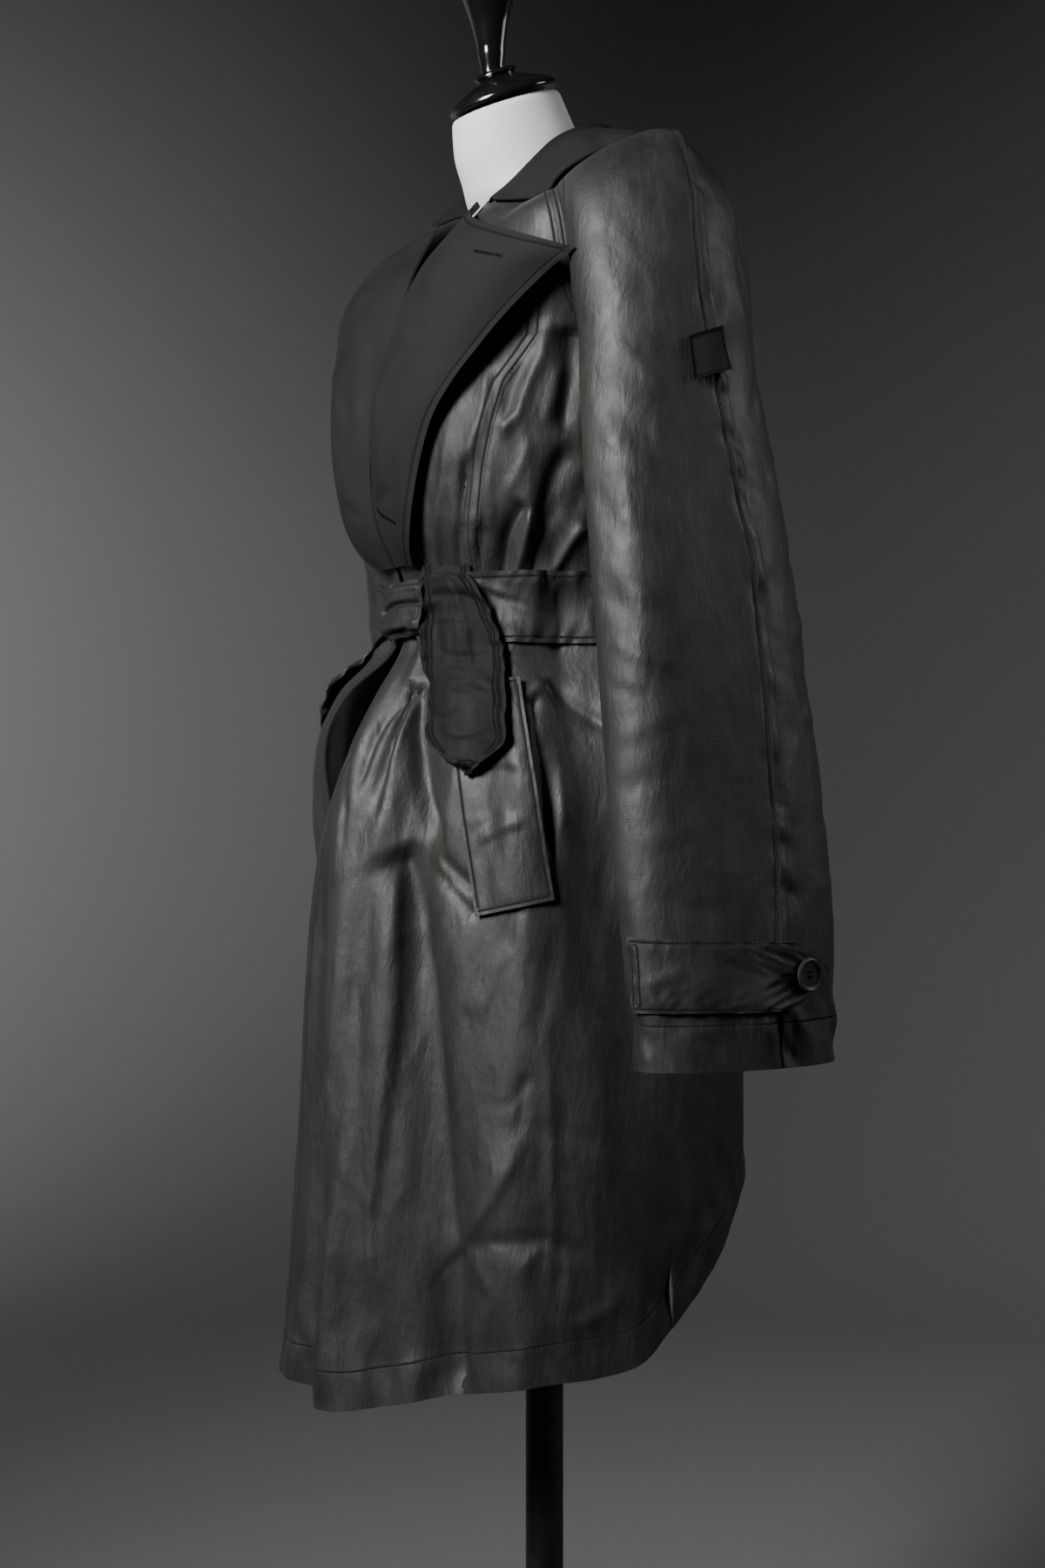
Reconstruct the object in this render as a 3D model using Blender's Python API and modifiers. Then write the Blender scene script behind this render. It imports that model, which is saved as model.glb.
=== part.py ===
"""A belted waxed coat worn on a limbless dress form that stands on a pole and a round base.

Metres, +Z up. The origin is on the floor at the pole's axis. The coat faces -Y and the
wearer's left is +X. Around the body a direction is an angle in degrees: 0 is straight ahead,
90 the wearer's left, 180 the back and -90 the wearer's right.
"""

import math
from collections import namedtuple

import bpy
from mathutils import Matrix, Vector
from mathutils.bvhtree import BVHTree

# Driving dimensions
WALL = 0.0012
SEAM_GAP = 0.0004
RAGLAN_GAP = 0.0006
LAID_GAP = 0.0006
HEM_HEIGHT = 0.540
WAIST_LOW = 1.050
BODY_ROUNDNESS = 2.2
SIDE_SEAM_TOP = 86.7
SIDE_SEAM_HEM = 91.0
POLE_RADIUS = 0.0145
BASE_RADIUS = 0.190
BUTTON_RADIUS = 0.0115

# Laying one piece on another: where the look at the cloth starts, how deep it goes and how far
# it spreads, and up to what distance and how squarely a point is pushed clear of a cloth
LOOK_RADIUS = 0.30
LOOK_DEPTH = 0.26
STRAP_SPREAD = 0.006
TAB_SPREAD = 0.008
CLEAR_LIMIT = 0.030
CLEAR_FACING = 0.9
CLEAR_PASSES = 3

# The coat's outline around the body, without its folds
Section = namedtuple("Section", "height side front back")
BODY = [
    Section(0.500, 0.185, 0.184, 0.114),
    Section(0.650, 0.183, 0.178, 0.115),
    Section(0.800, 0.181, 0.168, 0.121),
    Section(0.920, 0.176, 0.155, 0.122),
    Section(1.000, 0.158, 0.138, 0.110),
    Section(1.050, 0.134, 0.120, 0.094),
    Section(1.0765, 0.130, 0.117, 0.090),
    Section(1.103, 0.134, 0.121, 0.093),
    Section(1.135, 0.143, 0.136, 0.099),
    Section(1.170, 0.149, 0.143, 0.104),
    Section(1.207, 0.153, 0.145, 0.107),
    Section(1.243, 0.1555, 0.136, 0.108),
    Section(1.290, 0.157, 0.118, 0.106),
    Section(1.330, 0.152, 0.102, 0.103),
    Section(1.370, 0.128, 0.086, 0.095),
    Section(1.400, 0.098, 0.074, 0.082),
    Section(1.430, 0.075, 0.066, 0.072),
]

# Where the hem hangs, all round: low in front, rising behind the side seams to the back
HemPlace = namedtuple("HemPlace", "angle height")
HEM = [
    HemPlace(-180.0, 0.690),
    HemPlace(-155.0, 0.685),
    HemPlace(-140.0, 0.678),
    HemPlace(-125.0, 0.666),
    HemPlace(-118.0, 0.650),
    HemPlace(-111.0, 0.623),
    HemPlace(-105.0, 0.608),
    HemPlace(-99.0, 0.593),
    HemPlace(-94.0, 0.5785),
    HemPlace(-90.0, 0.566),
    HemPlace(-86.0, 0.556),
    HemPlace(-80.0, 0.545),
    HemPlace(-72.0, 0.540),
    HemPlace(-60.0, 0.536),
    HemPlace(-30.0, 0.518),
    HemPlace(0.0, 0.507),
    HemPlace(14.0, 0.504),
    HemPlace(32.0, 0.516),
    HemPlace(60.0, 0.536),
    HemPlace(72.0, 0.540),
    HemPlace(80.0, 0.545),
    HemPlace(86.0, 0.556),
    HemPlace(90.0, 0.566),
    HemPlace(94.0, 0.5785),
    HemPlace(99.0, 0.593),
    HemPlace(105.0, 0.608),
    HemPlace(111.0, 0.623),
    HemPlace(118.0, 0.650),
    HemPlace(125.0, 0.666),
    HemPlace(140.0, 0.678),
    HemPlace(155.0, 0.685),
    HemPlace(180.0, 0.690),
]

# The free edge of each front: its roll line above the belt, its cut edge below it
Edge = namedtuple("Edge", "height x y")
LEFT_EDGE = [
    Edge(0.500, -0.050, -0.201),
    Edge(0.570, -0.042, -0.197),
    Edge(0.660, -0.034, -0.192),
    Edge(0.760, -0.026, -0.191),
    Edge(0.860, -0.016, -0.188),
    Edge(0.920, -0.006, -0.182),
    Edge(0.960, 0.004, -0.172),
    Edge(1.000, 0.005, -0.156),
    Edge(1.050, 0.004, -0.124),
    Edge(1.103, 0.004, -0.122),
    Edge(1.140, 0.004, -0.139),
    Edge(1.190, 0.004, -0.147),
    Edge(1.235, 0.006, -0.141),
    Edge(1.290, 0.012, -0.124),
    Edge(1.335, 0.024, -0.106),
    Edge(1.381, 0.046, -0.073),
]
RIGHT_EDGE = [
    Edge(0.500, 0.020, -0.166),
    Edge(0.700, 0.014, -0.162),
    Edge(0.820, 0.006, -0.160),
    Edge(0.880, 0.000, -0.163),
    Edge(0.920, -0.012, -0.171),
    Edge(0.950, -0.018, -0.177),
    Edge(0.985, -0.024, -0.172),
    Edge(1.015, -0.026, -0.156),
    Edge(1.050, -0.010, -0.124),
    Edge(1.103, -0.004, -0.122),
    Edge(1.140, -0.004, -0.139),
    Edge(1.190, -0.004, -0.147),
    Edge(1.235, -0.006, -0.141),
    Edge(1.290, -0.012, -0.124),
    Edge(1.335, -0.024, -0.106),
    Edge(1.381, -0.046, -0.073),
]

# Large folds of the skirt and the bodice; a positive depth stands out
Fold = namedtuple("Fold", "top angle_top depth_top low angle_low depth_low width")
LEFT_FOLDS = [
    Fold(1.050, 6.0, 0.002, 0.500, 13.5, 0.022, 9.0),
    Fold(0.930, 2.0, -0.002, 0.500, 0.0, -0.012, 7.0),
    Fold(1.050, 26.0, -0.006, 0.500, 41.0, -0.017, 12.0),
    Fold(1.050, 17.0, 0.004, 0.900, 20.0, 0.002, 6.0),
    Fold(1.050, 50.0, 0.009, 0.900, 65.0, 0.002, 8.0),
    Fold(1.040, 66.0, -0.009, 0.500, 100.0, -0.009, 14.0),
    Fold(1.220, 40.0, 0.000, 1.110, 36.0, 0.005, 7.0),
    Fold(1.220, 62.0, 0.000, 1.110, 57.0, 0.006, 8.0),
]
RIGHT_FOLDS = [
    Fold(1.050, 20.0, 0.006, 0.500, 30.0, 0.014, 11.0),
    Fold(1.050, 36.0, -0.006, 0.500, 48.0, -0.012, 12.0),
    Fold(1.050, 55.0, 0.007, 0.700, 66.0, 0.005, 10.0),
    Fold(1.040, 70.0, -0.006, 0.500, 86.0, -0.010, 13.0),
    Fold(1.220, 38.0, 0.000, 1.110, 34.0, 0.006, 7.0),
    Fold(1.220, 60.0, 0.000, 1.110, 54.0, 0.005, 8.0),
]
BACK_FOLDS = [
    Fold(1.040, 116.0, 0.007, 0.540, 122.0, 0.012, 12.0),
    Fold(1.040, 140.0, -0.005, 0.600, 143.0, -0.010, 12.0),
    Fold(1.040, 163.0, 0.006, 0.640, 166.0, 0.008, 12.0),
    Fold(1.040, 187.0, -0.004, 0.640, 185.0, -0.009, 10.0),
    Fold(1.040, 208.0, 0.006, 0.600, 206.0, 0.012, 13.0),
    Fold(1.040, 238.0, -0.005, 0.540, 236.0, -0.009, 13.0),
    Fold(1.230, 128.0, 0.000, 1.110, 130.0, 0.006, 9.0),
    Fold(1.230, 160.0, 0.000, 1.110, 160.0, 0.006, 9.0),
    Fold(1.230, 203.0, 0.000, 1.110, 200.0, 0.006, 9.0),
    Fold(1.230, 233.0, 0.000, 1.110, 231.0, 0.006, 9.0),
]

# The wearer's left sleeve, from the neck to the cuff: a section's outermost point, the lean of
# its plane from level, its half width and half depth, how far it is pitched like a roof and swept
# inwards, and how far round it the cloth reaches
SleeveSection = namedtuple(
    "SleeveSection", "along x y z tilt half_width half_depth roof sweep front_reach back_reach"
)
UNDERARM = 0.275
UNDERARM_HEIGHT = 1.243
SLEEVE = [
    SleeveSection(0.000, 0.070, 0.012, 1.416, 80.0, 0.052, 0.034, 0.15, 0.030, 62.0, 62.0),
    SleeveSection(0.045, 0.115, 0.010, 1.407, 75.0, 0.062, 0.048, 0.40, 0.016, 68.0, 68.0),
    SleeveSection(0.085, 0.155, 0.007, 1.416, 62.0, 0.071, 0.062, 0.55, 0.006, 74.0, 76.0),
    SleeveSection(0.118, 0.188, 0.001, 1.405, 45.0, 0.071, 0.060, 0.58, 0.000, 90.0, 90.0),
    SleeveSection(0.152, 0.214, -0.003, 1.371, 24.0, 0.071, 0.053, 0.38, 0.000, 108.0, 108.0),
    SleeveSection(0.192, 0.228, -0.007, 1.325, 11.0, 0.069, 0.048, 0.15, 0.000, 122.0, 126.0),
    SleeveSection(0.232, 0.236, -0.008, 1.286, 4.0, 0.0685, 0.045, 0.0, 0.000, 142.0, 146.0),
    SleeveSection(0.275, 0.242, -0.009, 1.243, 0.0, 0.068, 0.0435, 0.0, 0.000, 180.0, 180.0),
    SleeveSection(0.330, 0.251, -0.009, 1.190, 0.0, 0.0735, 0.042, 0.0, 0.000, 180.0, 180.0),
    SleeveSection(0.420, 0.268, -0.007, 1.100, 0.0, 0.0775, 0.042, 0.0, 0.000, 180.0, 180.0),
    SleeveSection(0.510, 0.281, -0.006, 1.009, 0.0, 0.0800, 0.041, 0.0, 0.000, 180.0, 180.0),
    SleeveSection(0.600, 0.291, -0.002, 0.921, 0.0, 0.0830, 0.040, 0.0, 0.000, 180.0, 180.0),
    SleeveSection(0.675, 0.299, -0.001, 0.845, 0.0, 0.0810, 0.037, 0.0, 0.000, 180.0, 180.0),
    SleeveSection(0.758, 0.304, -0.002, 0.763, 0.0, 0.0770, 0.033, 0.0, 0.000, 180.0, 180.0),
]
ROOF_ROUNDING = 0.10
ROOF_FRONT_SHARE = 0.7
# How far back of the left sleeve's line the right one hangs
Swing = namedtuple("Swing", "along back")
RIGHT_SWING = [
    Swing(UNDERARM, 0.000),
    Swing(0.330, 0.016),
    Swing(0.420, 0.040),
    Swing(0.510, 0.048),
    Swing(0.758, 0.040),
]
RAGLAN_ROWS = [UNDERARM, 0.232, 0.192, 0.152, 0.118, 0.085, 0.045, 0.000]
SLEEVE_TUBE_ROWS = 12
SLEEVE_COLUMNS = 18
SleeveFold = namedtuple("SleeveFold", "top turn_top low turn_low depth width")
SLEEVE_FOLDS = [
    SleeveFold(0.20, -40.0, 0.66, -62.0, 0.004, 22.0),
    SleeveFold(0.26, -8.0, 0.72, -18.0, -0.004, 20.0),
    SleeveFold(0.10, 55.0, 0.50, 62.0, -0.004, 24.0),
    SleeveFold(0.30, 130.0, 0.70, 120.0, -0.005, 26.0),
]

# Rows of the fronts and the back: parts of the way up the skirt, then heights of the bodice
SKIRT_ROWS = [0.0, 0.09, 0.19, 0.30, 0.42, 0.54, 0.66, 0.77, 0.87, 0.94]
BODICE_ROWS = [WAIST_LOW, 1.0765, 1.103, 1.135, 1.170, 1.207]
FRONT_COLUMNS = 15
BACK_COLUMNS = 22
FRONT_CROWDING = 1.35
START_BLEND = 2.2
END_BLEND = 1.8
FRONT_NECK_BULGE = 0.004
BACK_NECK_BULGE = 0.014
BACK_NECK_RISE = 0.012

# The turned-out lapel: its place on the roll line, its outer edge, and how far it stands off
LapelRow = namedtuple("LapelRow", "roll_height edge_angle edge_height edge_radius bulge")
LEFT_LAPEL = [
    LapelRow(1.111, 15.6, 1.110, 0.1350, 0.002),
    LapelRow(1.142, 20.0, 1.128, 0.1480, 0.004),
    LapelRow(1.182, 25.0, 1.166, 0.1560, 0.006),
    LapelRow(1.225, 32.7, 1.216, 0.1620, 0.009),
    LapelRow(1.275, 47.0, 1.264, 0.1660, 0.013),
    LapelRow(1.328, 60.0, 1.300, 0.1790, 0.015),
    LapelRow(1.379, 67.6, 1.317, 0.2010, 0.010),
]
RIGHT_LAPEL = [
    LapelRow(1.111, 8.0, 1.110, 0.1330, 0.002),
    LapelRow(1.142, 15.0, 1.128, 0.1480, 0.004),
    LapelRow(1.182, 25.0, 1.166, 0.1580, 0.006),
    LapelRow(1.225, 32.7, 1.216, 0.1630, 0.009),
    LapelRow(1.275, 47.0, 1.264, 0.1660, 0.013),
    LapelRow(1.328, 60.0, 1.300, 0.1790, 0.015),
    LapelRow(1.379, 67.6, 1.317, 0.2010, 0.010),
]
LAPEL_ROWS = 13
LAPEL_COLUMNS = 6
LAPEL_STAND_OFF = 0.0028
LAPEL_CLEARANCE = WALL + 0.0008
LAPEL_OVERHANG = 0.0010

# The collar's left half: its roll line on top and its outer edge, by part of the way round
CollarPlace = namedtuple("CollarPlace", "turn roll_x roll_y roll_z edge_x edge_y edge_z")
COLLAR = [
    CollarPlace(0.00, 0.0500, -0.072, 1.390, 0.126, -0.043, 1.368),
    CollarPlace(0.10, 0.0575, -0.058, 1.402, 0.129, -0.030, 1.384),
    CollarPlace(0.20, 0.0635, -0.042, 1.417, 0.130, -0.013, 1.403),
    CollarPlace(0.33, 0.0640, -0.021, 1.434, 0.124, 0.010, 1.423),
    CollarPlace(0.50, 0.0595, 0.006, 1.446, 0.106, 0.040, 1.424),
    CollarPlace(0.74, 0.0370, 0.036, 1.453, 0.066, 0.078, 1.414),
    CollarPlace(1.00, 0.0000, 0.046, 1.455, 0.000, 0.092, 1.410),
]
NECK_COLUMNS = [
    ("front_left", (1, 5, 9, 13)),
    ("sleeve_left", (1, 3, 5, 7, 9, 11, 13, 15, 17)),
    ("back", (1, 4, 7, 11, 15, 18, 21)),
    ("sleeve_right", (1, 3, 5, 7, 9, 11, 13, 15, 17)),
    ("front_right", (2, 6, 10, 14)),
]
COLLAR_FOLD = 0.0058
COLLAR_DROP = 0.0035
COLLAR_BULGE = 0.003
COLLAR_SEAM_GAP = 0.0026
COLLAR_CLEARANCE = WALL + 0.0030
COLLAR_FALL_STEPS = 3

# The dress form, from its underside up, and the lean of each section
FormSection = namedtuple("FormSection", "height side front back lean")
FORM = [
    FormSection(0.830, 0.146, 0.112, 0.106, 0.0),
    FormSection(0.900, 0.152, 0.120, 0.112, 0.0),
    FormSection(0.970, 0.144, 0.112, 0.102, 0.0),
    FormSection(1.030, 0.122, 0.098, 0.082, 0.0),
    FormSection(1.076, 0.116, 0.095, 0.076, 0.0),
    FormSection(1.130, 0.124, 0.108, 0.083, 0.0),
    FormSection(1.190, 0.134, 0.120, 0.091, 0.0),
    FormSection(1.250, 0.142, 0.108, 0.092, 0.0),
    FormSection(1.300, 0.144, 0.088, 0.087, 0.0),
    FormSection(1.340, 0.140, 0.070, 0.078, 0.0),
    FormSection(1.370, 0.104, 0.052, 0.060, 0.0),
    FormSection(1.386, 0.066, 0.052, 0.050, 2.0),
    FormSection(1.400, 0.0566, 0.060, 0.043, 6.0),
    FormSection(1.418, 0.049, 0.066, 0.036, 11.0),
    FormSection(1.440, 0.0445, 0.0730, 0.0220, 16.0),
    FormSection(1.471, 0.0405, 0.0755, 0.0055, 20.0),
]
FORM_COLUMNS = 28

# Turned pieces: radius and height, from the foot up
Turned = namedtuple("Turned", "radius height")
BALL_RADIUS = 0.012
BALL_HEIGHT = 0.0300
SOCKET_RADIUS = BALL_RADIUS + 0.0006
NECK_CAP = [
    Turned(0.0000, 0.0000),
    Turned(0.0415, 0.0000),
    Turned(0.0428, 0.0022),
    Turned(0.0410, 0.0060),
    Turned(0.0350, 0.0100),
    Turned(0.0260, 0.0140),
    Turned(0.0190, 0.0172),
    Turned(0.0158, 0.0186),
    Turned(0.0150, 0.0194),
    Turned(0.0172, 0.0212),
    Turned(0.0158, 0.0236),
    Turned(0.0128, 0.0246),
]
SOCKET_ANGLES = [62.0, 42.0, 22.0, 0.0]
FINIAL = [
    Turned(0.0109, 0.0062),
    Turned(0.0112, 0.0120),
    Turned(0.0150, 0.0300),
    Turned(0.0185, 0.0420),
    Turned(0.0222, 0.0540),
    Turned(0.0255, 0.0680),
    Turned(0.0272, 0.0820),
    Turned(0.0262, 0.0940),
    Turned(0.0215, 0.1050),
    Turned(0.0125, 0.1125),
    Turned(0.0000, 0.1150),
]
BALL_ANGLES = [0.0, 22.0, 42.0, 62.0, 84.0, 104.0]
FINIAL_LEAN = 2.5
BASE_PROFILE = [
    Turned(0.0000, 0.0000),
    Turned(0.1860, 0.0000),
    Turned(BASE_RADIUS, 0.0030),
    Turned(BASE_RADIUS, 0.0100),
    Turned(0.1850, 0.0130),
    Turned(0.0600, 0.0180),
    Turned(0.0300, 0.0230),
    Turned(0.0280, 0.0500),
    Turned(0.0240, 0.0540),
    Turned(0.0000, 0.0540),
]
BUTTON_PROFILE = [
    Turned(0.0000, 0.0000),
    Turned(0.0095, 0.0000),
    Turned(BUTTON_RADIUS, 0.0014),
    Turned(BUTTON_RADIUS, 0.0028),
    Turned(0.0104, 0.0036),
    Turned(0.0088, 0.0034),
    Turned(0.0076, 0.0022),
    Turned(0.0000, 0.0020),
]
TURNED_STEPS = 24
BUTTON_STEPS = 16
BASE_STEPS = 36
HAND_GAP = 0.0003

# The belt: its band follows the cloth's waist rows, and narrows towards the knot
BELT_WALL = 0.0016
BELT_LIFT = BELT_WALL + 0.0008
BELT_NEAREST = 0.004
BELT_NARROW_ANGLE = 14.0
BELT_NARROW_LOW = 0.24
BELT_NARROW_HIGH = 0.83
BELT_ROWS = 3

# Straps that hang or lie on the cloth: heights and angles of both edges, lift off the cloth
StrapRow = namedtuple("StrapRow", "left_height left right_height right lift")
NEAR_END = [
    StrapRow(0.9575, 42.2, 0.9575, 43.8, 0.0030),
    StrapRow(0.9785, 30.4, 0.9775, 53.0, 0.0030),
    StrapRow(1.0000, 27.0, 1.0000, 52.5, 0.0035),
    StrapRow(1.0250, 23.5, 1.0250, 51.5, 0.0040),
    StrapRow(1.0460, 20.5, 1.0460, 50.0, 0.0060),
    StrapRow(1.0700, 18.5, 1.0700, 46.0, 0.0050),
    StrapRow(1.0920, 16.8, 1.0900, 41.5, 0.0045),
    StrapRow(1.1010, 16.5, 1.0990, 39.0, 0.0050),
    StrapRow(1.1045, 17.0, 1.1025, 38.0, -0.0004),
]
FAR_END = [
    StrapRow(0.9600, 38.4, 0.9600, 42.4, 0.0030),
    StrapRow(0.9810, 29.0, 0.9800, 50.0, 0.0030),
    StrapRow(1.0050, 27.0, 1.0050, 48.5, 0.0035),
    StrapRow(1.0300, 24.0, 1.0300, 46.0, 0.0045),
    StrapRow(1.0530, 22.0, 1.0530, 44.0, 0.0004),
]
KNOT = [
    StrapRow(1.0570, -4.0, 1.0600, 12.5, -0.0002),
    StrapRow(1.0640, -5.0, 1.0650, 13.0, 0.0050),
    StrapRow(1.0770, -5.0, 1.0770, 13.5, 0.0070),
    StrapRow(1.0900, -4.5, 1.0930, 13.5, 0.0060),
    StrapRow(1.0990, -3.0, 1.1010, 13.0, 0.0010),
]
POCKET = [
    StrapRow(0.8577, 45.8, 0.8700, 63.6, 0.0008),
    StrapRow(0.8980, 43.2, 0.9090, 61.6, 0.0008),
    StrapRow(0.9380, 40.4, 0.9480, 59.8, 0.0008),
    StrapRow(0.9780, 37.5, 0.9870, 57.6, 0.0008),
    StrapRow(1.0180, 34.5, 1.0260, 55.1, 0.0008),
]

STRAP_COLUMNS = 5
WELT_ROWS = 12
NEAR_END_ROWS = 14
FAR_END_ROWS = 8
KNOT_ROWS = 8

# The cuff tab and the patch, by place along the sleeve and turn round it
TAB_LOW = 0.7190
TAB_HIGH = 0.6740
TAB_START = -84.0
TAB_SQUARE_END = 17.0
TAB_POINT = 52.0
TAB_COLUMNS = 14
TAB_LOOK = 0.05
TAB_LIFT = WALL + 0.0014
PATCH_LIFT = WALL + 0.0002
BUTTON_GAP = 0.0009
BUTTON_TURN = 26.0
PATCH_SKEW = 2.0
PATCH_LOW = 0.2970
PATCH_HIGH = 0.2660
PATCH_TURNS = (-9.0, 15.0)
PATCH_SLANT = 0.010


def clear_scene():
    """Remove whatever objects the file opened with."""
    for item in list(bpy.data.objects):
        bpy.data.objects.remove(item, do_unlink=True)


def curve(rows, column, place):
    """One column of a table read on a smooth curve, at a place in its first column."""
    key = rows[0]._fields[0]
    places = [getattr(row, key) for row in rows]
    values = [getattr(row, column) for row in rows]
    if place <= places[0]:
        return values[0]
    if place >= places[-1]:
        return values[-1]
    low = max(i for i in range(len(places) - 1) if places[i] <= place)

    def slope(i):
        before, after = max(i - 1, 0), min(i + 1, len(places) - 1)
        return (values[after] - values[before]) / (places[after] - places[before])

    span = places[low + 1] - places[low]
    s = (place - places[low]) / span
    return (
        (2 * s**3 - 3 * s**2 + 1) * values[low]
        + (s**3 - 2 * s**2 + s) * span * slope(low)
        + (3 * s**2 - 2 * s**3) * values[low + 1]
        + (s**3 - s**2) * span * slope(low + 1)
    )


def mix(a, b, part):
    """The value a part of the way from a to b."""
    return a + (b - a) * part


def ease(part):
    """A soft step from 0 to 1."""
    part = min(max(part, 0.0), 1.0)
    return part * part * (3.0 - 2.0 * part)


def bump(distance, width):
    """A soft hump, 1 in its middle and 0 from one width away."""
    if abs(distance) >= width:
        return 0.0
    return 0.5 + 0.5 * math.cos(math.pi * distance / width)


def outline_radius(angle, height):
    """Distance from the axis to the coat's outline without folds."""
    turn = math.radians(angle)
    ahead = "front" if math.cos(turn) > 0 else "back"
    across = abs(math.sin(turn)) / curve(BODY, "side", height)
    along = abs(math.cos(turn)) / curve(BODY, ahead, height)
    return (across**BODY_ROUNDNESS + along**BODY_ROUNDNESS) ** (-1.0 / BODY_ROUNDNESS)


def fold_depth(folds, angle, height):
    """How far the folds lift the cloth at one place."""
    depth = 0.0
    for fold in folds:
        part = (fold.top - height) / (fold.top - fold.low)
        if part < -0.25:
            continue
        fade = ease(1.0 + 4.0 * min(part, 0.0))
        part = min(max(part, 0.0), 1.0)
        centre = mix(fold.angle_top, fold.angle_low, part)
        depth += fade * mix(fold.depth_top, fold.depth_low, part) * bump(angle - centre, fold.width)
    return depth


def polar(angle, height, radius):
    """The point at an angle, a height and a distance from the axis."""
    turn = math.radians(angle)
    return Vector((radius * math.sin(turn), -radius * math.cos(turn), height))


def angle_of(point):
    """The angle of a point around the body."""
    return math.degrees(math.atan2(point.x, -point.y))


def radius_of(point):
    """The distance of a point from the axis."""
    return math.hypot(point.x, point.y)


def hem_height(angle):
    """Height of the hem at an angle."""
    return curve(HEM, "height", (angle + 180.0) % 360.0 - 180.0)


class Panel:
    """A cloth panel: outer points in rows from the bottom up, and the index of each in a grid."""

    def __init__(self, rows, flip=False):
        self.points = []
        self.grid = []
        for row in rows:
            line = row[::-1] if flip else row
            indices = []
            for number, point in enumerate(line):
                if number == len(line) - 1 and (point - line[0]).length < 1e-7:
                    indices.append(indices[0])
                else:
                    self.points.append(point.copy())
                    indices.append(len(self.points) - 1)
            self.grid.append(indices)
        self.normals = self.vertex_normals()
        self.moves = [Vector() for _ in self.points]

    def triangles(self):
        """Every triangle of the outer face, pointing outwards."""
        found = []
        for low, high in zip(self.grid, self.grid[1:]):
            for i in range(len(low) - 1):
                a, b, c, d = low[i], low[i + 1], high[i + 1], high[i]
                found += [(a, b, c), (a, c, d)]
        return [t for t in found if len(set(t)) == 3]

    def vertex_normals(self):
        """The outward direction at each point."""
        normals = [Vector() for _ in self.points]
        for a, b, c in self.triangles():
            face = (self.points[b] - self.points[a]).cross(self.points[c] - self.points[a])
            for i in (a, b, c):
                normals[i] += face
        return [n.normalized() for n in normals]

    def edge(self, column, rows):
        """Indices down one side of the panel, with the neighbour further in."""
        inner = 1 if column == 0 else -2
        return [(self.grid[r][column], self.grid[r][inner]) for r in rows]

    def pull_in(self, pairs, gap):
        """Draw an edge back into the panel by half a seam's gap."""
        for index, neighbour in pairs:
            inwards = (self.points[neighbour] - self.points[index]).normalized()
            self.moves[index] += inwards * gap / 2.0

    def outer(self):
        """The outer points with the seam gaps taken off."""
        return [p + m for p, m in zip(self.points, self.moves)]

    def tree(self):
        """The outer face, ready to be looked up."""
        return BVHTree.FromPolygons(self.outer(), self.triangles())


def share_normals(first, first_edge, second, second_edge):
    """Give two panels one outward direction along their seam, so their walls lie side by side."""
    for (i, _), (j, _) in zip(first_edge, second_edge):
        joint = (first.normals[i] + second.normals[j]).normalized()
        first.normals[i] = joint
        second.normals[j] = joint


def material(name, colour, roughness, metallic=0.0):
    """A plain Principled material."""
    made = bpy.data.materials.get(name) or bpy.data.materials.new(name)
    made.use_nodes = True
    shader = made.node_tree.nodes["Principled BSDF"]
    shader.inputs["Base Color"].default_value = (*colour, 1.0)
    shader.inputs["Roughness"].default_value = roughness
    shader.inputs["Metallic"].default_value = metallic
    return made


WAXED_CLOTH = ("waxed_cotton", (0.060, 0.054, 0.046), 0.42)
FACING_CLOTH = ("facing_cotton", (0.018, 0.017, 0.016), 0.80)
BELT_CLOTH = ("belt_cotton", (0.040, 0.036, 0.032), 0.50)
FORM_CLOTH = ("form_cotton", (0.82, 0.81, 0.79), 0.75)
BLACK_LACQUER = ("black_lacquer", (0.010, 0.010, 0.011), 0.12)
POLE_STEEL = ("black_steel", (0.014, 0.014, 0.015), 0.35, 0.6)
BUTTON_RESIN = ("button_resin", (0.022, 0.019, 0.017), 0.45)


def add_mesh(name, points, faces, finish, collection):
    """Put a closed mesh into the scene as one named object."""
    mesh = bpy.data.meshes.new(name)
    mesh.from_pydata([tuple(p) for p in points], [], faces)
    mesh.update()
    made = bpy.data.objects.new(name, mesh)
    made.data.materials.append(material(*finish))
    collection.objects.link(made)
    return made


def cloth_wall(name, panel, finish, collection, wall=WALL):
    """Close a panel into a wall: outer face, inner face and the rim between them."""
    outer = panel.outer()
    inner = [p - n * wall for p, n in zip(outer, panel.normals)]
    count = len(outer)
    front = panel.triangles()
    faces = list(front) + [(c + count, b + count, a + count) for a, b, c in front]
    used = {}
    for a, b, c in front:
        for start, end in ((a, b), (b, c), (c, a)):
            used[(start, end)] = True
    for start, end in used:
        if (end, start) not in used:
            faces += [(end, start, start + count), (end, start + count, end + count)]
    return add_mesh(name, outer + inner, faces, finish, collection)


def mirrored(rows):
    """The same rows on the wearer's other side."""
    return [[Vector((-p.x, p.y, p.z)) for p in row] for row in rows]


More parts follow.
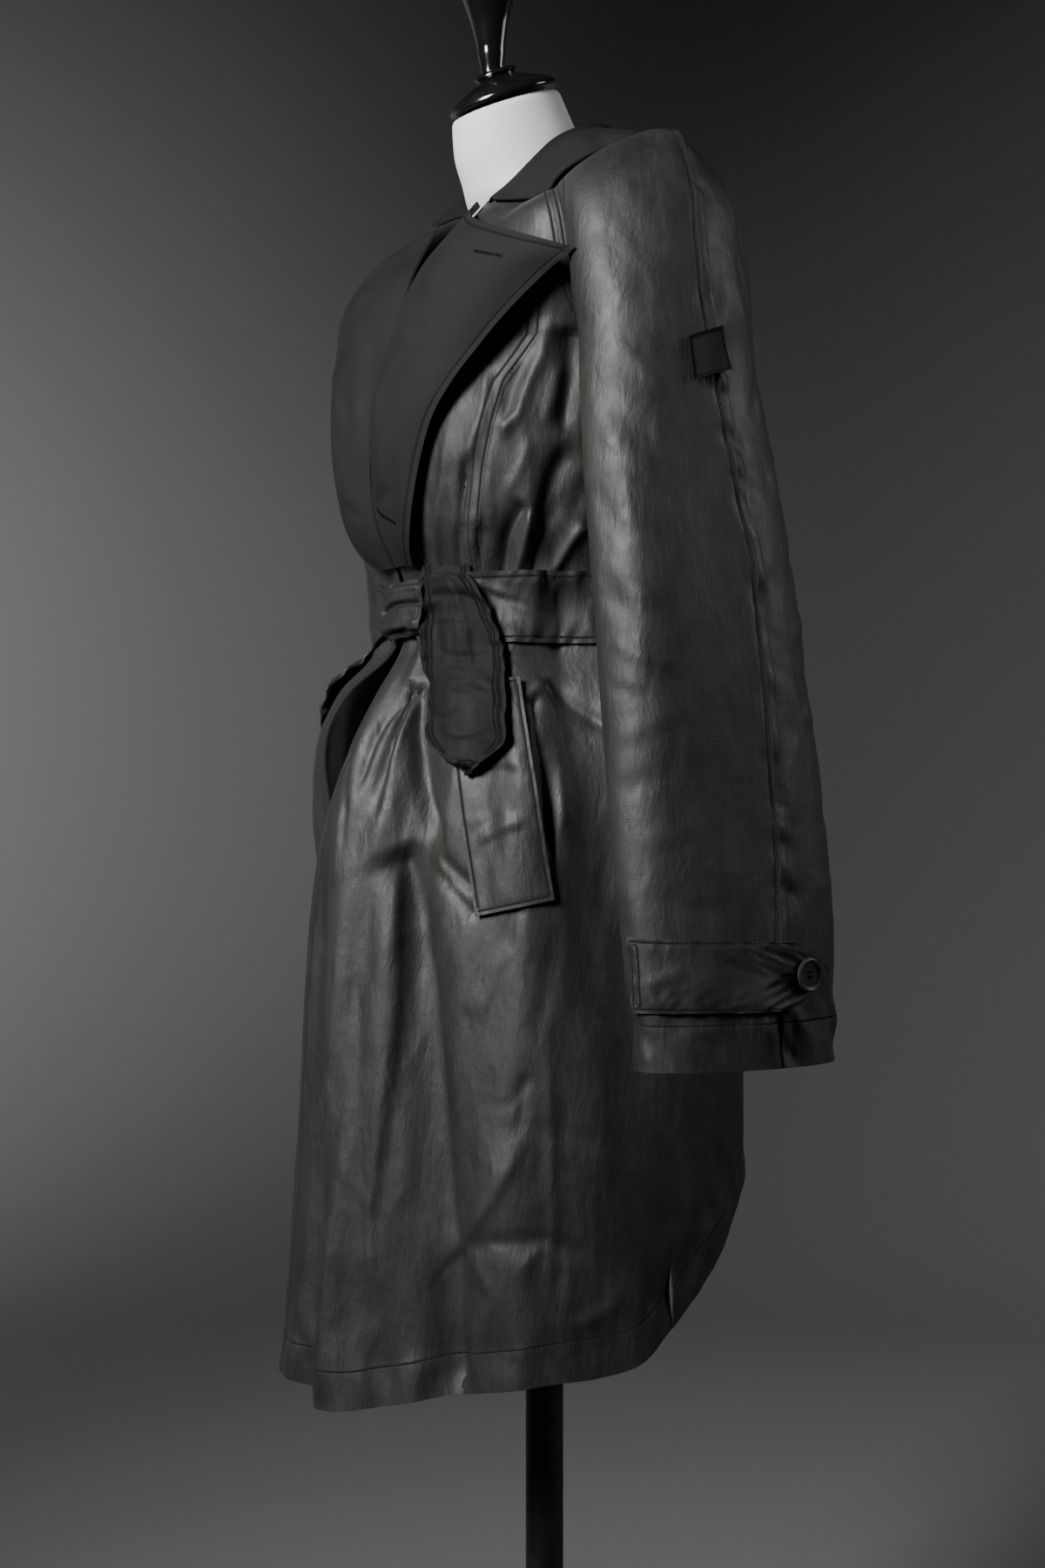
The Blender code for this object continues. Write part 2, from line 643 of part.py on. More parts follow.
def sleeve_point(along, turn, swing=0.0):
    """A point of the left sleeve, from its place along the arm and its turn round it."""
    radians = math.radians(turn)
    tilt = math.radians(curve(SLEEVE, "tilt", along))
    width = curve(SLEEVE, "half_width", along)
    depth = curve(SLEEVE, "half_depth", along)
    lift = 0.0
    for fold in SLEEVE_FOLDS:
        if fold.top < along < fold.low:
            part = (along - fold.top) / (fold.low - fold.top)
            centre = mix(fold.turn_top, fold.turn_low, part)
            lift += fold.depth * math.sin(math.pi * part) * bump(turn - centre, fold.width)
    width += lift
    depth += lift
    inwards = Vector((-math.cos(tilt), 0.0, -math.sin(tilt)))
    spine = Vector([curve(SLEEVE, axis, along) for axis in "xyz"])
    rounded = 1.0 - math.cos(radians)
    pitched = math.hypot(math.sin(radians), ROOF_ROUNDING) - ROOF_ROUNDING
    roof = curve(SLEEVE, "roof", along) * (1.0 if turn > 0.0 else ROOF_FRONT_SHARE)
    drop = depth * mix(rounded, pitched, roof)
    across = width * math.sin(radians) + swing * curve(RIGHT_SWING, "back", along)
    sweep = curve(SLEEVE, "sweep", along) * rounded
    return spine + inwards * (drop - lift) + Vector((-sweep, across, 0.0))


def sleeve_rows(swing=0.0):
    """Rows of the left sleeve from the cuff up to the neck."""
    cuff = SLEEVE[-1].along
    places = [mix(cuff, UNDERARM, i / SLEEVE_TUBE_ROWS) for i in range(SLEEVE_TUBE_ROWS)]
    rows = []
    for along in places + RAGLAN_ROWS:
        front = curve(SLEEVE, "front_reach", along)
        back = curve(SLEEVE, "back_reach", along)
        turns = [mix(-front, back, i / SLEEVE_COLUMNS) for i in range(SLEEVE_COLUMNS + 1)]
        row = [sleeve_point(along, turn, swing) for turn in turns]
        if along >= UNDERARM:
            row[-1] = row[0].copy()
        rows.append(row)
    return rows


def panel_row(start, end, steps, folds, side=1.0):
    """A row of cloth from one point to another round the body, on the outline and its folds."""
    first, last = angle_of(start) * side, angle_of(end) * side
    last += 360.0 if last < first else 0.0

    def on_outline(part):
        angle = mix(first, last, part)
        height = mix(start.z, end.z, part)
        radius = outline_radius(angle, height) + fold_depth(folds, angle, height)
        return angle, height, radius

    start_error = radius_of(start) - on_outline(0.0)[2]
    end_error = radius_of(end) - on_outline(1.0)[2]
    row = []
    for part in steps:
        angle, height, radius = on_outline(part)
        radius += start_error * (1.0 - ease(part * START_BLEND))
        radius += end_error * ease(1.0 - (1.0 - part) * END_BLEND)
        row.append(polar(angle * side, height, radius))
    return row


def spanned(row, bulge, rise, share):
    """A row drawn towards the plain arc between its ends, with a bulge outwards and a rise."""
    start, end = row[0], row[-1]
    middle = start.lerp(end, 0.5)
    outwards = Vector((middle.x, middle.y, 0.0)).normalized()
    made = []
    for number, point in enumerate(row):
        part = number / (len(row) - 1)
        arch = math.sin(math.pi * part)
        plain = start.lerp(end, part) + outwards * bulge * arch + Vector((0.0, 0.0, rise * arch))
        made.append(point.lerp(plain, share))
    return made


def edge_point(edge, height):
    """The point of a front's free edge at a height."""
    return Vector((curve(edge, "x", height), curve(edge, "y", height), height))


def side_point(height, side):
    """The point of a side seam at a height."""
    part = (height - HEM_HEIGHT) / (UNDERARM_HEIGHT - HEM_HEIGHT)
    angle = mix(SIDE_SEAM_HEM, SIDE_SEAM_TOP, part)
    return polar(angle * side, height, outline_radius(angle, height))


def front_rows(edge, folds, side, sleeve):
    """Rows of one front from the hem up to the neck, from its free edge to its side."""
    steps = [(i / FRONT_COLUMNS) ** FRONT_CROWDING for i in range(FRONT_COLUMNS + 1)]
    rows = []
    seam_angle = SIDE_SEAM_HEM
    for part in SKIRT_ROWS:
        edge_low = hem_height(angle_of(edge_point(edge, HEM_HEIGHT)))
        start = edge_point(edge, mix(edge_low, WAIST_LOW, part))
        end = side_point(mix(hem_height(seam_angle), WAIST_LOW, part), side)
        row = panel_row(start, end, steps, folds, side)
        for point in row:
            height = mix(hem_height(angle_of(point)), WAIST_LOW, part)
            point.z = height
        rows.append(row)
    for height in BODICE_ROWS:
        rows.append(
            panel_row(edge_point(edge, height), side_point(height, side), steps, folds, side)
        )
    top = len(RAGLAN_ROWS) - 1
    for number, sleeve_row in enumerate(sleeve[-len(RAGLAN_ROWS):]):
        seam = sleeve_row[0]
        height = mix(UNDERARM_HEIGHT, edge[-1].height, number / top)
        row = panel_row(edge_point(edge, height), seam, steps, folds, side)
        rows.append(spanned(row, FRONT_NECK_BULGE, 0.0, ease(2.0 * number / top - 1.0)))
    return rows


def back_rows(left_sleeve, right_sleeve):
    """Rows of the back from the hem up to the neck, from the left side to the right."""
    steps = [i / BACK_COLUMNS for i in range(BACK_COLUMNS + 1)]
    rows = []
    for part in SKIRT_ROWS:
        height = mix(hem_height(SIDE_SEAM_HEM), WAIST_LOW, part)
        row = panel_row(side_point(height, 1), side_point(height, -1), steps, BACK_FOLDS)
        for point in row:
            point.z = mix(hem_height(angle_of(point)), WAIST_LOW, part)
        rows.append(row)
    for height in BODICE_ROWS:
        rows.append(panel_row(side_point(height, 1), side_point(height, -1), steps, BACK_FOLDS))
    seams = zip(left_sleeve[-len(RAGLAN_ROWS):], right_sleeve[-len(RAGLAN_ROWS):])
    for number, (left, right) in enumerate(seams):
        row = panel_row(left[-1], right[-1], steps, BACK_FOLDS)
        share = ease(2.0 * number / (len(RAGLAN_ROWS) - 1) - 1.0)
        rows.append(spanned(row, BACK_NECK_BULGE, BACK_NECK_RISE, share))
    return rows


def sew_panels(panels):
    """Match the walls along the side seams and the raglan seams, and part them by the gap."""
    underarm = len(SKIRT_ROWS) + len(BODICE_ROWS)
    raglan_body = range(underarm, underarm + len(RAGLAN_ROWS))
    raglan_sleeve = range(SLEEVE_TUBE_ROWS, SLEEVE_TUBE_ROWS + len(RAGLAN_ROWS))
    back = panels["back"]
    for side, sign, front_column, back_column in (("left", 1, -1, 0), ("right", -1, 0, -1)):
        front = panels[f"front_{side}"]
        sleeve = panels[f"sleeve_{side}"]
        side_front = front.edge(front_column, range(underarm + 1))
        side_back = back.edge(back_column, range(underarm + 1))
        share_normals(front, side_front, back, side_back)
        front.pull_in(side_front, SEAM_GAP)
        back.pull_in(side_back, SEAM_GAP)
        meetings = ((front, front_column, back_column), (back, back_column, front_column))
        for panel, column, sleeve_column in meetings:
            body_edge = panel.edge(column, raglan_body)
            sleeve_edge = sleeve.edge(sleeve_column, raglan_sleeve)
            share_normals(panel, body_edge[1:], sleeve, sleeve_edge[1:])
            panel.pull_in(body_edge[1:], RAGLAN_GAP)
            sleeve.pull_in(sleeve_edge[1:], RAGLAN_GAP)
            panel.moves[body_edge[0][0]] += Vector((-sign * RAGLAN_GAP, 0.0, -RAGLAN_GAP))


def lapel_rows(table, edge, side):
    """Rows of a turned-out lapel from the belt up to its point, from the roll line outwards."""
    rows = []
    low, high = table[0].roll_height, table[-1].roll_height
    for number in range(LAPEL_ROWS):
        height = mix(low, high, number / (LAPEL_ROWS - 1))
        roll = edge_point(edge, height) - Vector((side * LAPEL_OVERHANG, 0.0, 0.0))
        roll_angle = angle_of(roll) * side
        roll_radius = radius_of(roll) + LAPEL_STAND_OFF
        tip_angle = curve(table, "edge_angle", height)
        tip_height = curve(table, "edge_height", height)
        tip_radius = curve(table, "edge_radius", height)
        bulge = curve(table, "bulge", height)
        start_error = roll_radius - outline_radius(roll_angle, height)
        end_error = tip_radius - outline_radius(tip_angle, tip_height)
        row = []
        for column in range(LAPEL_COLUMNS + 1):
            part = column / LAPEL_COLUMNS
            angle = mix(roll_angle, tip_angle, part)
            level = mix(height, tip_height, part)
            radius = outline_radius(angle, level) + mix(start_error, end_error, part)
            radius += bulge * math.sin(math.pi * part)
            row.append(polar(angle * side, level, radius))
        rows.append(row)
    return rows


def neckline(panels):
    """Places on the coat's neck edge from the left front's edge round the back to the right."""
    line = []
    for name, columns in NECK_COLUMNS:
        outer, normals = panels[name].outer(), panels[name].normals
        row = panels[name].grid[-1]
        line += [outer[row[c]] - normals[row[c]] * WALL for c in columns]
    return line


def collar_rows(panels):
    """Rows of the folded collar: its outer edge, the fall, over the roll, and down the stand."""
    line = neckline(panels)
    lengths = [0.0]
    for a, b in zip(line, line[1:]):
        lengths.append(lengths[-1] + (b - a).length)
    columns = []
    for seam, length in zip(line, lengths):
        part = length / lengths[-1]
        side = 1.0 if part <= 0.5 else -1.0
        turn = 2.0 * min(part, 1.0 - part)
        roll = Vector([curve(COLLAR, f"roll_{axis}", turn) for axis in "xyz"])
        edge = Vector([curve(COLLAR, f"edge_{axis}", turn) for axis in "xyz"])
        roll.x *= side
        edge.x *= side
        seam.z += COLLAR_SEAM_GAP
        away = Vector((edge.x - roll.x, edge.y - roll.y, 0.0)).normalized()
        drop = Vector((0.0, 0.0, COLLAR_DROP))
        inner = roll - away * COLLAR_FOLD / 2.0 - drop
        outer = roll + away * COLLAR_FOLD / 2.0 - drop
        fall = []
        for step in range(COLLAR_FALL_STEPS, 0, -1):
            lift = COLLAR_BULGE * math.sin(math.pi * step / COLLAR_FALL_STEPS)
            point = outer.lerp(edge, step / COLLAR_FALL_STEPS)
            fall.append(point + Vector((away.x * lift, away.y * lift, lift)))
        columns.append(fall + [outer, roll, inner, inner.lerp(seam, 0.5), seam])
    return [[column[row] for column in columns] for row in range(len(columns[0]))]


def belt_rows(panels):
    """Rows of the belt's band, on the waist rows of the cloth and moved out from them."""
    first = len(SKIRT_ROWS)
    columns = []
    for name in ("front_left", "back", "front_right"):
        panel = panels[name]
        outer = panel.outer()
        rows = [panel.grid[first + r] for r in range(BELT_ROWS)]
        for column in range(len(rows[0])):
            points = [outer[row[column]] + panel.normals[row[column]] * BELT_LIFT for row in rows]
            columns.append(points)
    kept = [columns[0]]
    for column in columns[1:]:
        if (column[1] - kept[-1][1]).length > BELT_NEAREST:
            kept.append(column)
    shaped = []
    for low, middle, high in kept:
        narrow = 1.0 - ease(abs(angle_of(middle)) / BELT_NARROW_ANGLE - 0.5)
        bottom = low.lerp(high, BELT_NARROW_LOW * narrow)
        top = low.lerp(high, mix(1.0, BELT_NARROW_HIGH, narrow))
        shaped.append([bottom, bottom.lerp(top, 0.5) + (middle - low.lerp(high, 0.5)), top])
    return [[column[row] for column in shaped] for row in range(BELT_ROWS)]


def pushed_clear(point, trees, reach):
    """The point, moved out where it lies closer than the reach to a cloth's outer face."""
    for _ in range(CLEAR_PASSES):
        for tree in trees:
            place, normal, _, distance = tree.find_nearest(point)
            height = (point - place).dot(normal)
            if height < reach and CLEAR_FACING * distance < abs(height) < CLEAR_LIMIT:
                point = point + normal * (reach - height)
    return point


def laid_point(trees, start, towards, lift, spread):
    """A point moved out from the highest cloth near the place that a line to it meets."""
    aside = towards.cross(Vector((0.0, 0.0, 1.0))).normalized()
    above = aside.cross(towards)
    nearest = None
    for across in (-1, 0, 1):
        for up in (-1, 0, 1):
            origin = start + (aside * across + above * up) * spread
            for tree in trees:
                distance = tree.ray_cast(origin, towards, LOOK_DEPTH)[3]
                if distance is not None and (nearest is None or distance < nearest):
                    nearest = distance
    return start + towards * (nearest - lift)


def strap_rows(table, trees, rows, side, wall):
    """Rows of a strap laid on the cloth, from its low edge to its high one."""
    found = []
    for number in range(rows + 1):
        place = (len(table) - 1) * number / rows
        low = min(int(place), len(table) - 2)
        here = StrapRow(*[mix(a, b, place - low) for a, b in zip(table[low], table[low + 1])])
        row = []
        for column in range(STRAP_COLUMNS + 1):
            part = column / STRAP_COLUMNS
            angle = mix(here.left, here.right, part) * side
            height = mix(here.left_height, here.right_height, part)
            start = polar(angle, height, LOOK_RADIUS)
            towards = Vector((-start.x, -start.y, 0.0)).normalized()
            lift = LAID_GAP + wall + here.lift
            row.append(laid_point(trees, start, towards, lift, STRAP_SPREAD))
        found.append(row)
    return found


def on_sleeve(tree, along, turn, side, swing, lift=TAB_LIFT):
    """A point laid on a sleeve, and the outward direction there."""
    here = sleeve_point(along, turn, swing)
    core = sleeve_point(along, 0.0, swing).lerp(sleeve_point(along, 180.0, swing), 0.5)
    across = sleeve_point(along, turn + 1.0, swing) - sleeve_point(along, turn - 1.0, swing)
    outwards = Vector((across.y, -across.x, 0.0)).normalized()
    if outwards.dot(here - core) < 0.0:
        outwards = -outwards
    here.x *= side
    outwards.x *= side
    start = here + outwards * TAB_LOOK
    return laid_point([tree], start, -outwards, lift, TAB_SPREAD), outwards


def tab_rows(tree, side, swing):
    """Rows of a cuff tab with its pointed end."""
    rows = []
    middle, half = (TAB_LOW + TAB_HIGH) / 2.0, (TAB_LOW - TAB_HIGH) / 2.0
    for part in (-1.0, -0.5, 0.0, 0.5, 1.0):
        end = mix(TAB_POINT, TAB_SQUARE_END, abs(part))
        turns = [mix(TAB_START, end, column / TAB_COLUMNS) for column in range(TAB_COLUMNS + 1)]
        along = middle - part * half
        rows.append([on_sleeve(tree, along, turn, side, swing)[0] for turn in turns])
    return rows


def patch_rows(tree):
    """Rows of the small bare patch on the left upper sleeve."""
    rows = []
    for level in (0.0, 0.5, 1.0):
        row = []
        for step in (0.0, 0.5, 1.0):
            along = mix(PATCH_LOW, PATCH_HIGH, level) - PATCH_SLANT * step
            turn = mix(*PATCH_TURNS, step) - PATCH_SKEW * level
            row.append(on_sleeve(tree, along, turn, 1.0, 0.0, PATCH_LIFT)[0])
        rows.append(row)
    return rows


def build_coat(collection):
    """Every sewn piece of the coat."""
    left = sleeve_rows()
    right = mirrored(sleeve_rows(swing=1.0))
    panels = {
        "sleeve_left": Panel(left),
        "sleeve_right": Panel(right, flip=True),
        "front_left": Panel(front_rows(LEFT_EDGE, LEFT_FOLDS, 1.0, left)),
        "front_right": Panel(front_rows(RIGHT_EDGE, RIGHT_FOLDS, -1.0, right), flip=True),
        "back": Panel(back_rows(left, right)),
    }
    sew_panels(panels)
    for name, panel in panels.items():
        cloth_wall(name, panel, WAXED_CLOTH, collection)
    build_turned_cloth(panels, collection)
    build_belt_and_pockets(panels, collection)
    build_sleeve_trim(panels, collection)


def build_turned_cloth(panels, collection):
    """The lapels and the collar, whose dull facing side shows."""
    lapels = (("left", 1.0, LEFT_LAPEL, LEFT_EDGE), ("right", -1.0, RIGHT_LAPEL, RIGHT_EDGE))
    under = {name: panel.tree() for name, panel in panels.items()}
    for name, side, table, edge in lapels:
        own = [under[f"front_{name}"], under[f"sleeve_{name}"]]
        rows = lapel_rows(table, edge, side)
        rows = [[pushed_clear(point, own, LAPEL_CLEARANCE) for point in row] for row in rows]
        cloth_wall(f"lapel_{name}", Panel(rows, flip=side < 0.0), FACING_CLOTH, collection)
    rows = collar_rows(panels)
    for number in range(COLLAR_FALL_STEPS + 1):
        rows[number] = [pushed_clear(p, under.values(), COLLAR_CLEARANCE) for p in rows[number]]
    cloth_wall("collar", Panel(rows), FACING_CLOTH, collection)


def build_belt_and_pockets(panels, collection):
    """The belt's band, knot and two hanging ends, and the slanted pocket welts."""
    band = Panel(belt_rows(panels))
    cloth_wall("belt_band", band, BELT_CLOTH, collection, BELT_WALL)
    fronts = [panels["front_left"].tree(), panels["front_right"].tree()]
    welts = []
    for name, side in (("left", 1.0), ("right", -1.0)):
        rows = strap_rows(POCKET, fronts, WELT_ROWS, side, WALL)
        welt = Panel(rows, flip=side < 0.0)
        cloth_wall(f"pocket_welt_{name}", welt, WAXED_CLOTH, collection)
        welts.append(welt.tree())
    under = fronts + welts + [band.tree()]
    near = Panel(strap_rows(NEAR_END, under, NEAR_END_ROWS, 1.0, BELT_WALL))
    cloth_wall("belt_end_near", near, BELT_CLOTH, collection, BELT_WALL)
    far = Panel(strap_rows(FAR_END, under, FAR_END_ROWS, -1.0, BELT_WALL), flip=True)
    cloth_wall("belt_end_far", far, BELT_CLOTH, collection, BELT_WALL)
    knot = Panel(strap_rows(KNOT, under, KNOT_ROWS, 1.0, BELT_WALL))
    cloth_wall("belt_knot", knot, BELT_CLOTH, collection, BELT_WALL)


def build_sleeve_trim(panels, collection):
    """The cuff tabs with their buttons, and the patch on the left sleeve."""
    middle = (TAB_LOW + TAB_HIGH) / 2.0
    for name, side, swing in (("left", 1.0, 0.0), ("right", -1.0, 1.0)):
        tree = panels[f"sleeve_{name}"].tree()
        tab = Panel(tab_rows(tree, side, swing), flip=side < 0.0)
        cloth_wall(f"cuff_tab_{name}", tab, WAXED_CLOTH, collection)
        place, outwards = on_sleeve(tab.tree(), middle, BUTTON_TURN, side, swing, BUTTON_GAP)
        title = f"cuff_button_{name}"
        button = turned(title, BUTTON_PROFILE, BUTTON_STEPS, BUTTON_RESIN, collection)
        facing = outwards.to_track_quat("Z", "Y").to_matrix().to_4x4()
        button.matrix_world = Matrix.Translation(place) @ facing
    patch = Panel(patch_rows(panels["sleeve_left"].tree()))
    cloth_wall("sleeve_patch", patch, FACING_CLOTH, collection)


def turned(name, profile, steps, finish, collection):
    """A turned piece: its profile, from the top down the outer side, screwed round the axis."""
    mesh = bpy.data.meshes.new(name)
    points = [(row.radius, 0.0, row.height) for row in reversed(profile)]
    edges = [(i, i + 1) for i in range(len(points) - 1)]
    mesh.from_pydata(points, edges, [])
    made = bpy.data.objects.new(name, mesh)
    made.data.materials.append(material(*finish))
    collection.objects.link(made)
    screw = made.modifiers.new("turn", "SCREW")
    screw.axis = "Z"
    screw.steps = steps
    screw.render_steps = steps
    screw.use_merge_vertices = True
    screw.merge_threshold = 0.00001
    screw.use_smooth_shade = True
    return made


def ball_points(angles, radius, centre):
    """Points of a ball's lower half, by angle from its lowest point."""
    return [
        Turned(radius * math.sin(math.radians(a)), centre - radius * math.cos(math.radians(a)))
        for a in angles
    ]


def build_form(collection):
    """The limbless form with its neck, closed all round."""
    points = []
    for row in FORM:
        centre = (row.back - row.front) / 2.0
        half = (row.back + row.front) / 2.0
        for i in range(FORM_COLUMNS):
            turn = 2.0 * math.pi * i / FORM_COLUMNS
            ahead = -half * math.cos(turn)
            rise = ahead * math.tan(math.radians(row.lean))
            points.append(Vector((row.side * math.sin(turn), centre + ahead, row.height + rise)))
    faces = []
    for level in range(len(FORM) - 1):
        for i in range(FORM_COLUMNS):
            a = level * FORM_COLUMNS + i
            b = level * FORM_COLUMNS + (i + 1) % FORM_COLUMNS
            faces.append((a, b, b + FORM_COLUMNS, a + FORM_COLUMNS))
    faces.append(tuple(reversed(range(FORM_COLUMNS))))
    top = (len(FORM) - 1) * FORM_COLUMNS
    faces.append(tuple(range(top, top + FORM_COLUMNS)))
    add_mesh("form_torso", points, faces, FORM_CLOTH, collection)


def build_stand(collection):
    """The lacquered cap and finial on the neck, and the pole and base under the form."""
    neck = FORM[-1]
    seat = Vector((0.0, (neck.back - neck.front) / 2.0, neck.height))
    lean = Matrix.Rotation(math.radians(neck.lean), 4, "X")
    up = lean @ Vector((0.0, 0.0, 1.0))
    cap_profile = NECK_CAP + ball_points(SOCKET_ANGLES, SOCKET_RADIUS, BALL_HEIGHT)
    cap = turned("neck_cap", cap_profile, TURNED_STEPS, BLACK_LACQUER, collection)
    cap.matrix_world = Matrix.Translation(seat + up * HAND_GAP) @ lean
    finial_profile = ball_points(BALL_ANGLES, BALL_RADIUS, 0.0) + FINIAL
    finial = turned("finial", finial_profile, TURNED_STEPS, BLACK_LACQUER, collection)
    ball = seat + up * (HAND_GAP + BALL_HEIGHT)
    tipped = Matrix.Rotation(math.radians(FINIAL_LEAN), 4, "X")
    finial.matrix_world = Matrix.Translation(ball) @ tipped
    turned("base", BASE_PROFILE, BASE_STEPS, POLE_STEEL, collection)
    foot = BASE_PROFILE[-1].height + HAND_GAP
    length = FORM[0].height - HAND_GAP - foot
    outline = ((0.0, 0.0), (POLE_RADIUS, 0.0), (POLE_RADIUS, length), (0.0, length))
    profile = [Turned(*corner) for corner in outline]
    pole = turned("pole", profile, TURNED_STEPS, POLE_STEEL, collection)
    pole.location.z = foot


def main():
    """Build everything into one collection."""
    clear_scene()
    collection = bpy.data.collections.new("coat_on_form")
    bpy.context.scene.collection.children.link(collection)
    build_coat(collection)
    build_form(collection)
    build_stand(collection)


if __name__ == "__main__":
    main()
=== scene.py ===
"""The looks of a belted waxed coat on its dress form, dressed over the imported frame.

Metres, +Z up. The coat faces -Y and the wearer's left is +X. Round the body a place is an
angle in degrees, 0 straight ahead and 90 at the wearer's left, and a height. On a sleeve it is
a length from the neck and a turn round the arm, 0 outwards and positive to the back.
"""

from __future__ import annotations

import logging
import math
from collections import namedtuple
from dataclasses import dataclass, field
from enum import Enum

import bmesh
import bpy
import numpy as np
from mathutils import Matrix, Vector
from mathutils.bvhtree import BVHTree


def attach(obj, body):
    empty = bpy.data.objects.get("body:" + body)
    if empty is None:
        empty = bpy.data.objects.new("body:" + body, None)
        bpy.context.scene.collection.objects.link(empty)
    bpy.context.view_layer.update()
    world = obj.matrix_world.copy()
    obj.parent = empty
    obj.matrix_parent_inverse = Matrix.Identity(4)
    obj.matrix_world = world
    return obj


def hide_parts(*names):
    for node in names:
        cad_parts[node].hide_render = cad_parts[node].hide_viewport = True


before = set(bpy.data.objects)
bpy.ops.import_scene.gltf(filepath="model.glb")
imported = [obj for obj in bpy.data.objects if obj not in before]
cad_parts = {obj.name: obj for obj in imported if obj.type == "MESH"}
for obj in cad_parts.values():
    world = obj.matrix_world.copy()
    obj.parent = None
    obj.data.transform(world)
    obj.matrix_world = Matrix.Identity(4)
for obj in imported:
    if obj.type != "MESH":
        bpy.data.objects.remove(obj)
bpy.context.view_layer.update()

log = logging.getLogger("coat")
BODY_NAME = "root"

# Driving dimensions
WALL = 0.0012
LAID_GAP = 0.0006
HEM_HEIGHT = 0.540
WAIST_LOW = 1.050
WAIST_MIDDLE = 1.0765
BODY_ROUNDNESS = 2.2
SIDE_SEAM_TOP = 86.7
SIDE_SEAM_HEM = 91.0

# Laying one piece on another: where the look at the cloth starts, how deep it goes and how far
# it spreads, and up to what distance and how squarely a point is pushed clear of a cloth
LOOK_RADIUS = 0.30
LOOK_DEPTH = 0.26
STRAP_SPREAD = 0.006
TAB_SPREAD = 0.008
CLEAR_LIMIT = 0.030
CLEAR_FACING = 0.9
CLEAR_PASSES = 3

# Up to what angle between two faces an edge is shaded round, in degrees
CLOTH_SMOOTH = 50.0
TURNED_SMOOTH = 40.0
BUTTON_SMOOTH = 35.0

# Where a net's steps lie closer: how far that reaches, how much closer, and how finely it is read
SPOT_REACH = 0.011
SPOT_CROWDING = 2.6
SPOT_READINGS = 2000

# How much longer the cloth's general unevenness is up and down than across
CRUMPLE_HANG = 0.36

# The coat's outline around the body, without its folds
Section = namedtuple("Section", "height side front back")
BODY = [
    Section(0.500, 0.185, 0.184, 0.114),
    Section(0.650, 0.183, 0.178, 0.115),
    Section(0.800, 0.181, 0.168, 0.121),
    Section(0.920, 0.176, 0.155, 0.122),
    Section(1.000, 0.158, 0.138, 0.110),
    Section(1.050, 0.134, 0.120, 0.094),
    Section(1.0765, 0.130, 0.117, 0.090),
    Section(1.103, 0.134, 0.121, 0.093),
    Section(1.135, 0.143, 0.136, 0.099),
    Section(1.170, 0.149, 0.143, 0.104),
    Section(1.207, 0.153, 0.145, 0.107),
    Section(1.243, 0.1555, 0.136, 0.108),
    Section(1.290, 0.157, 0.118, 0.106),
    Section(1.330, 0.152, 0.102, 0.103),
    Section(1.370, 0.128, 0.086, 0.095),
    Section(1.400, 0.098, 0.074, 0.082),
    Section(1.430, 0.075, 0.066, 0.072),
]

# Where the hem hangs: low in front, rising behind the side seams to the back. Both sides are alike
HemPlace = namedtuple("HemPlace", "angle height")
HEM_FRONT = [
    HemPlace(-60.0, 0.536),
    HemPlace(-30.0, 0.518),
    HemPlace(0.0, 0.507),
    HemPlace(14.0, 0.504),
    HemPlace(32.0, 0.516),
    HemPlace(60.0, 0.536),
]
HEM_SIDE = [
    HemPlace(72.0, 0.540),
    HemPlace(80.0, 0.545),
    HemPlace(86.0, 0.556),
    HemPlace(90.0, 0.566),
    HemPlace(94.0, 0.5785),
    HemPlace(99.0, 0.593),
    HemPlace(105.0, 0.608),
    HemPlace(111.0, 0.623),
    HemPlace(118.0, 0.650),
    HemPlace(125.0, 0.666),
    HemPlace(140.0, 0.678),
    HemPlace(155.0, 0.685),
    HemPlace(180.0, 0.690),
]
HEM = [HemPlace(-place.angle, place.height) for place in reversed(HEM_SIDE)] + HEM_FRONT + HEM_SIDE

# The free edge of each front: its roll line above the belt, its cut edge below it
Edge = namedtuple("Edge", "height x y")
LEFT_EDGE = [
    Edge(0.500, -0.050, -0.201),
    Edge(0.570, -0.042, -0.197),
    Edge(0.660, -0.034, -0.192),
    Edge(0.760, -0.026, -0.191),
    Edge(0.860, -0.016, -0.188),
    Edge(0.920, -0.006, -0.182),
    Edge(0.960, 0.004, -0.172),
    Edge(1.000, 0.005, -0.156),
    Edge(1.050, 0.004, -0.124),
    Edge(1.103, 0.004, -0.122),
    Edge(1.140, 0.004, -0.139),
    Edge(1.190, 0.004, -0.147),
    Edge(1.235, 0.006, -0.141),
    Edge(1.290, 0.012, -0.124),
    Edge(1.335, 0.024, -0.106),
    Edge(1.381, 0.046, -0.073),
]
RIGHT_EDGE = [
    Edge(0.500, 0.020, -0.166),
    Edge(0.700, 0.014, -0.162),
    Edge(0.820, 0.006, -0.160),
    Edge(0.880, 0.000, -0.163),
    Edge(0.920, -0.012, -0.171),
    Edge(0.950, -0.018, -0.177),
    Edge(0.985, -0.024, -0.172),
    Edge(1.015, -0.026, -0.156),
    Edge(1.050, -0.010, -0.124),
    Edge(1.103, -0.004, -0.122),
    Edge(1.140, -0.004, -0.139),
    Edge(1.190, -0.004, -0.147),
    Edge(1.235, -0.006, -0.141),
    Edge(1.290, -0.012, -0.124),
    Edge(1.335, -0.024, -0.106),
    Edge(1.381, -0.046, -0.073),
]

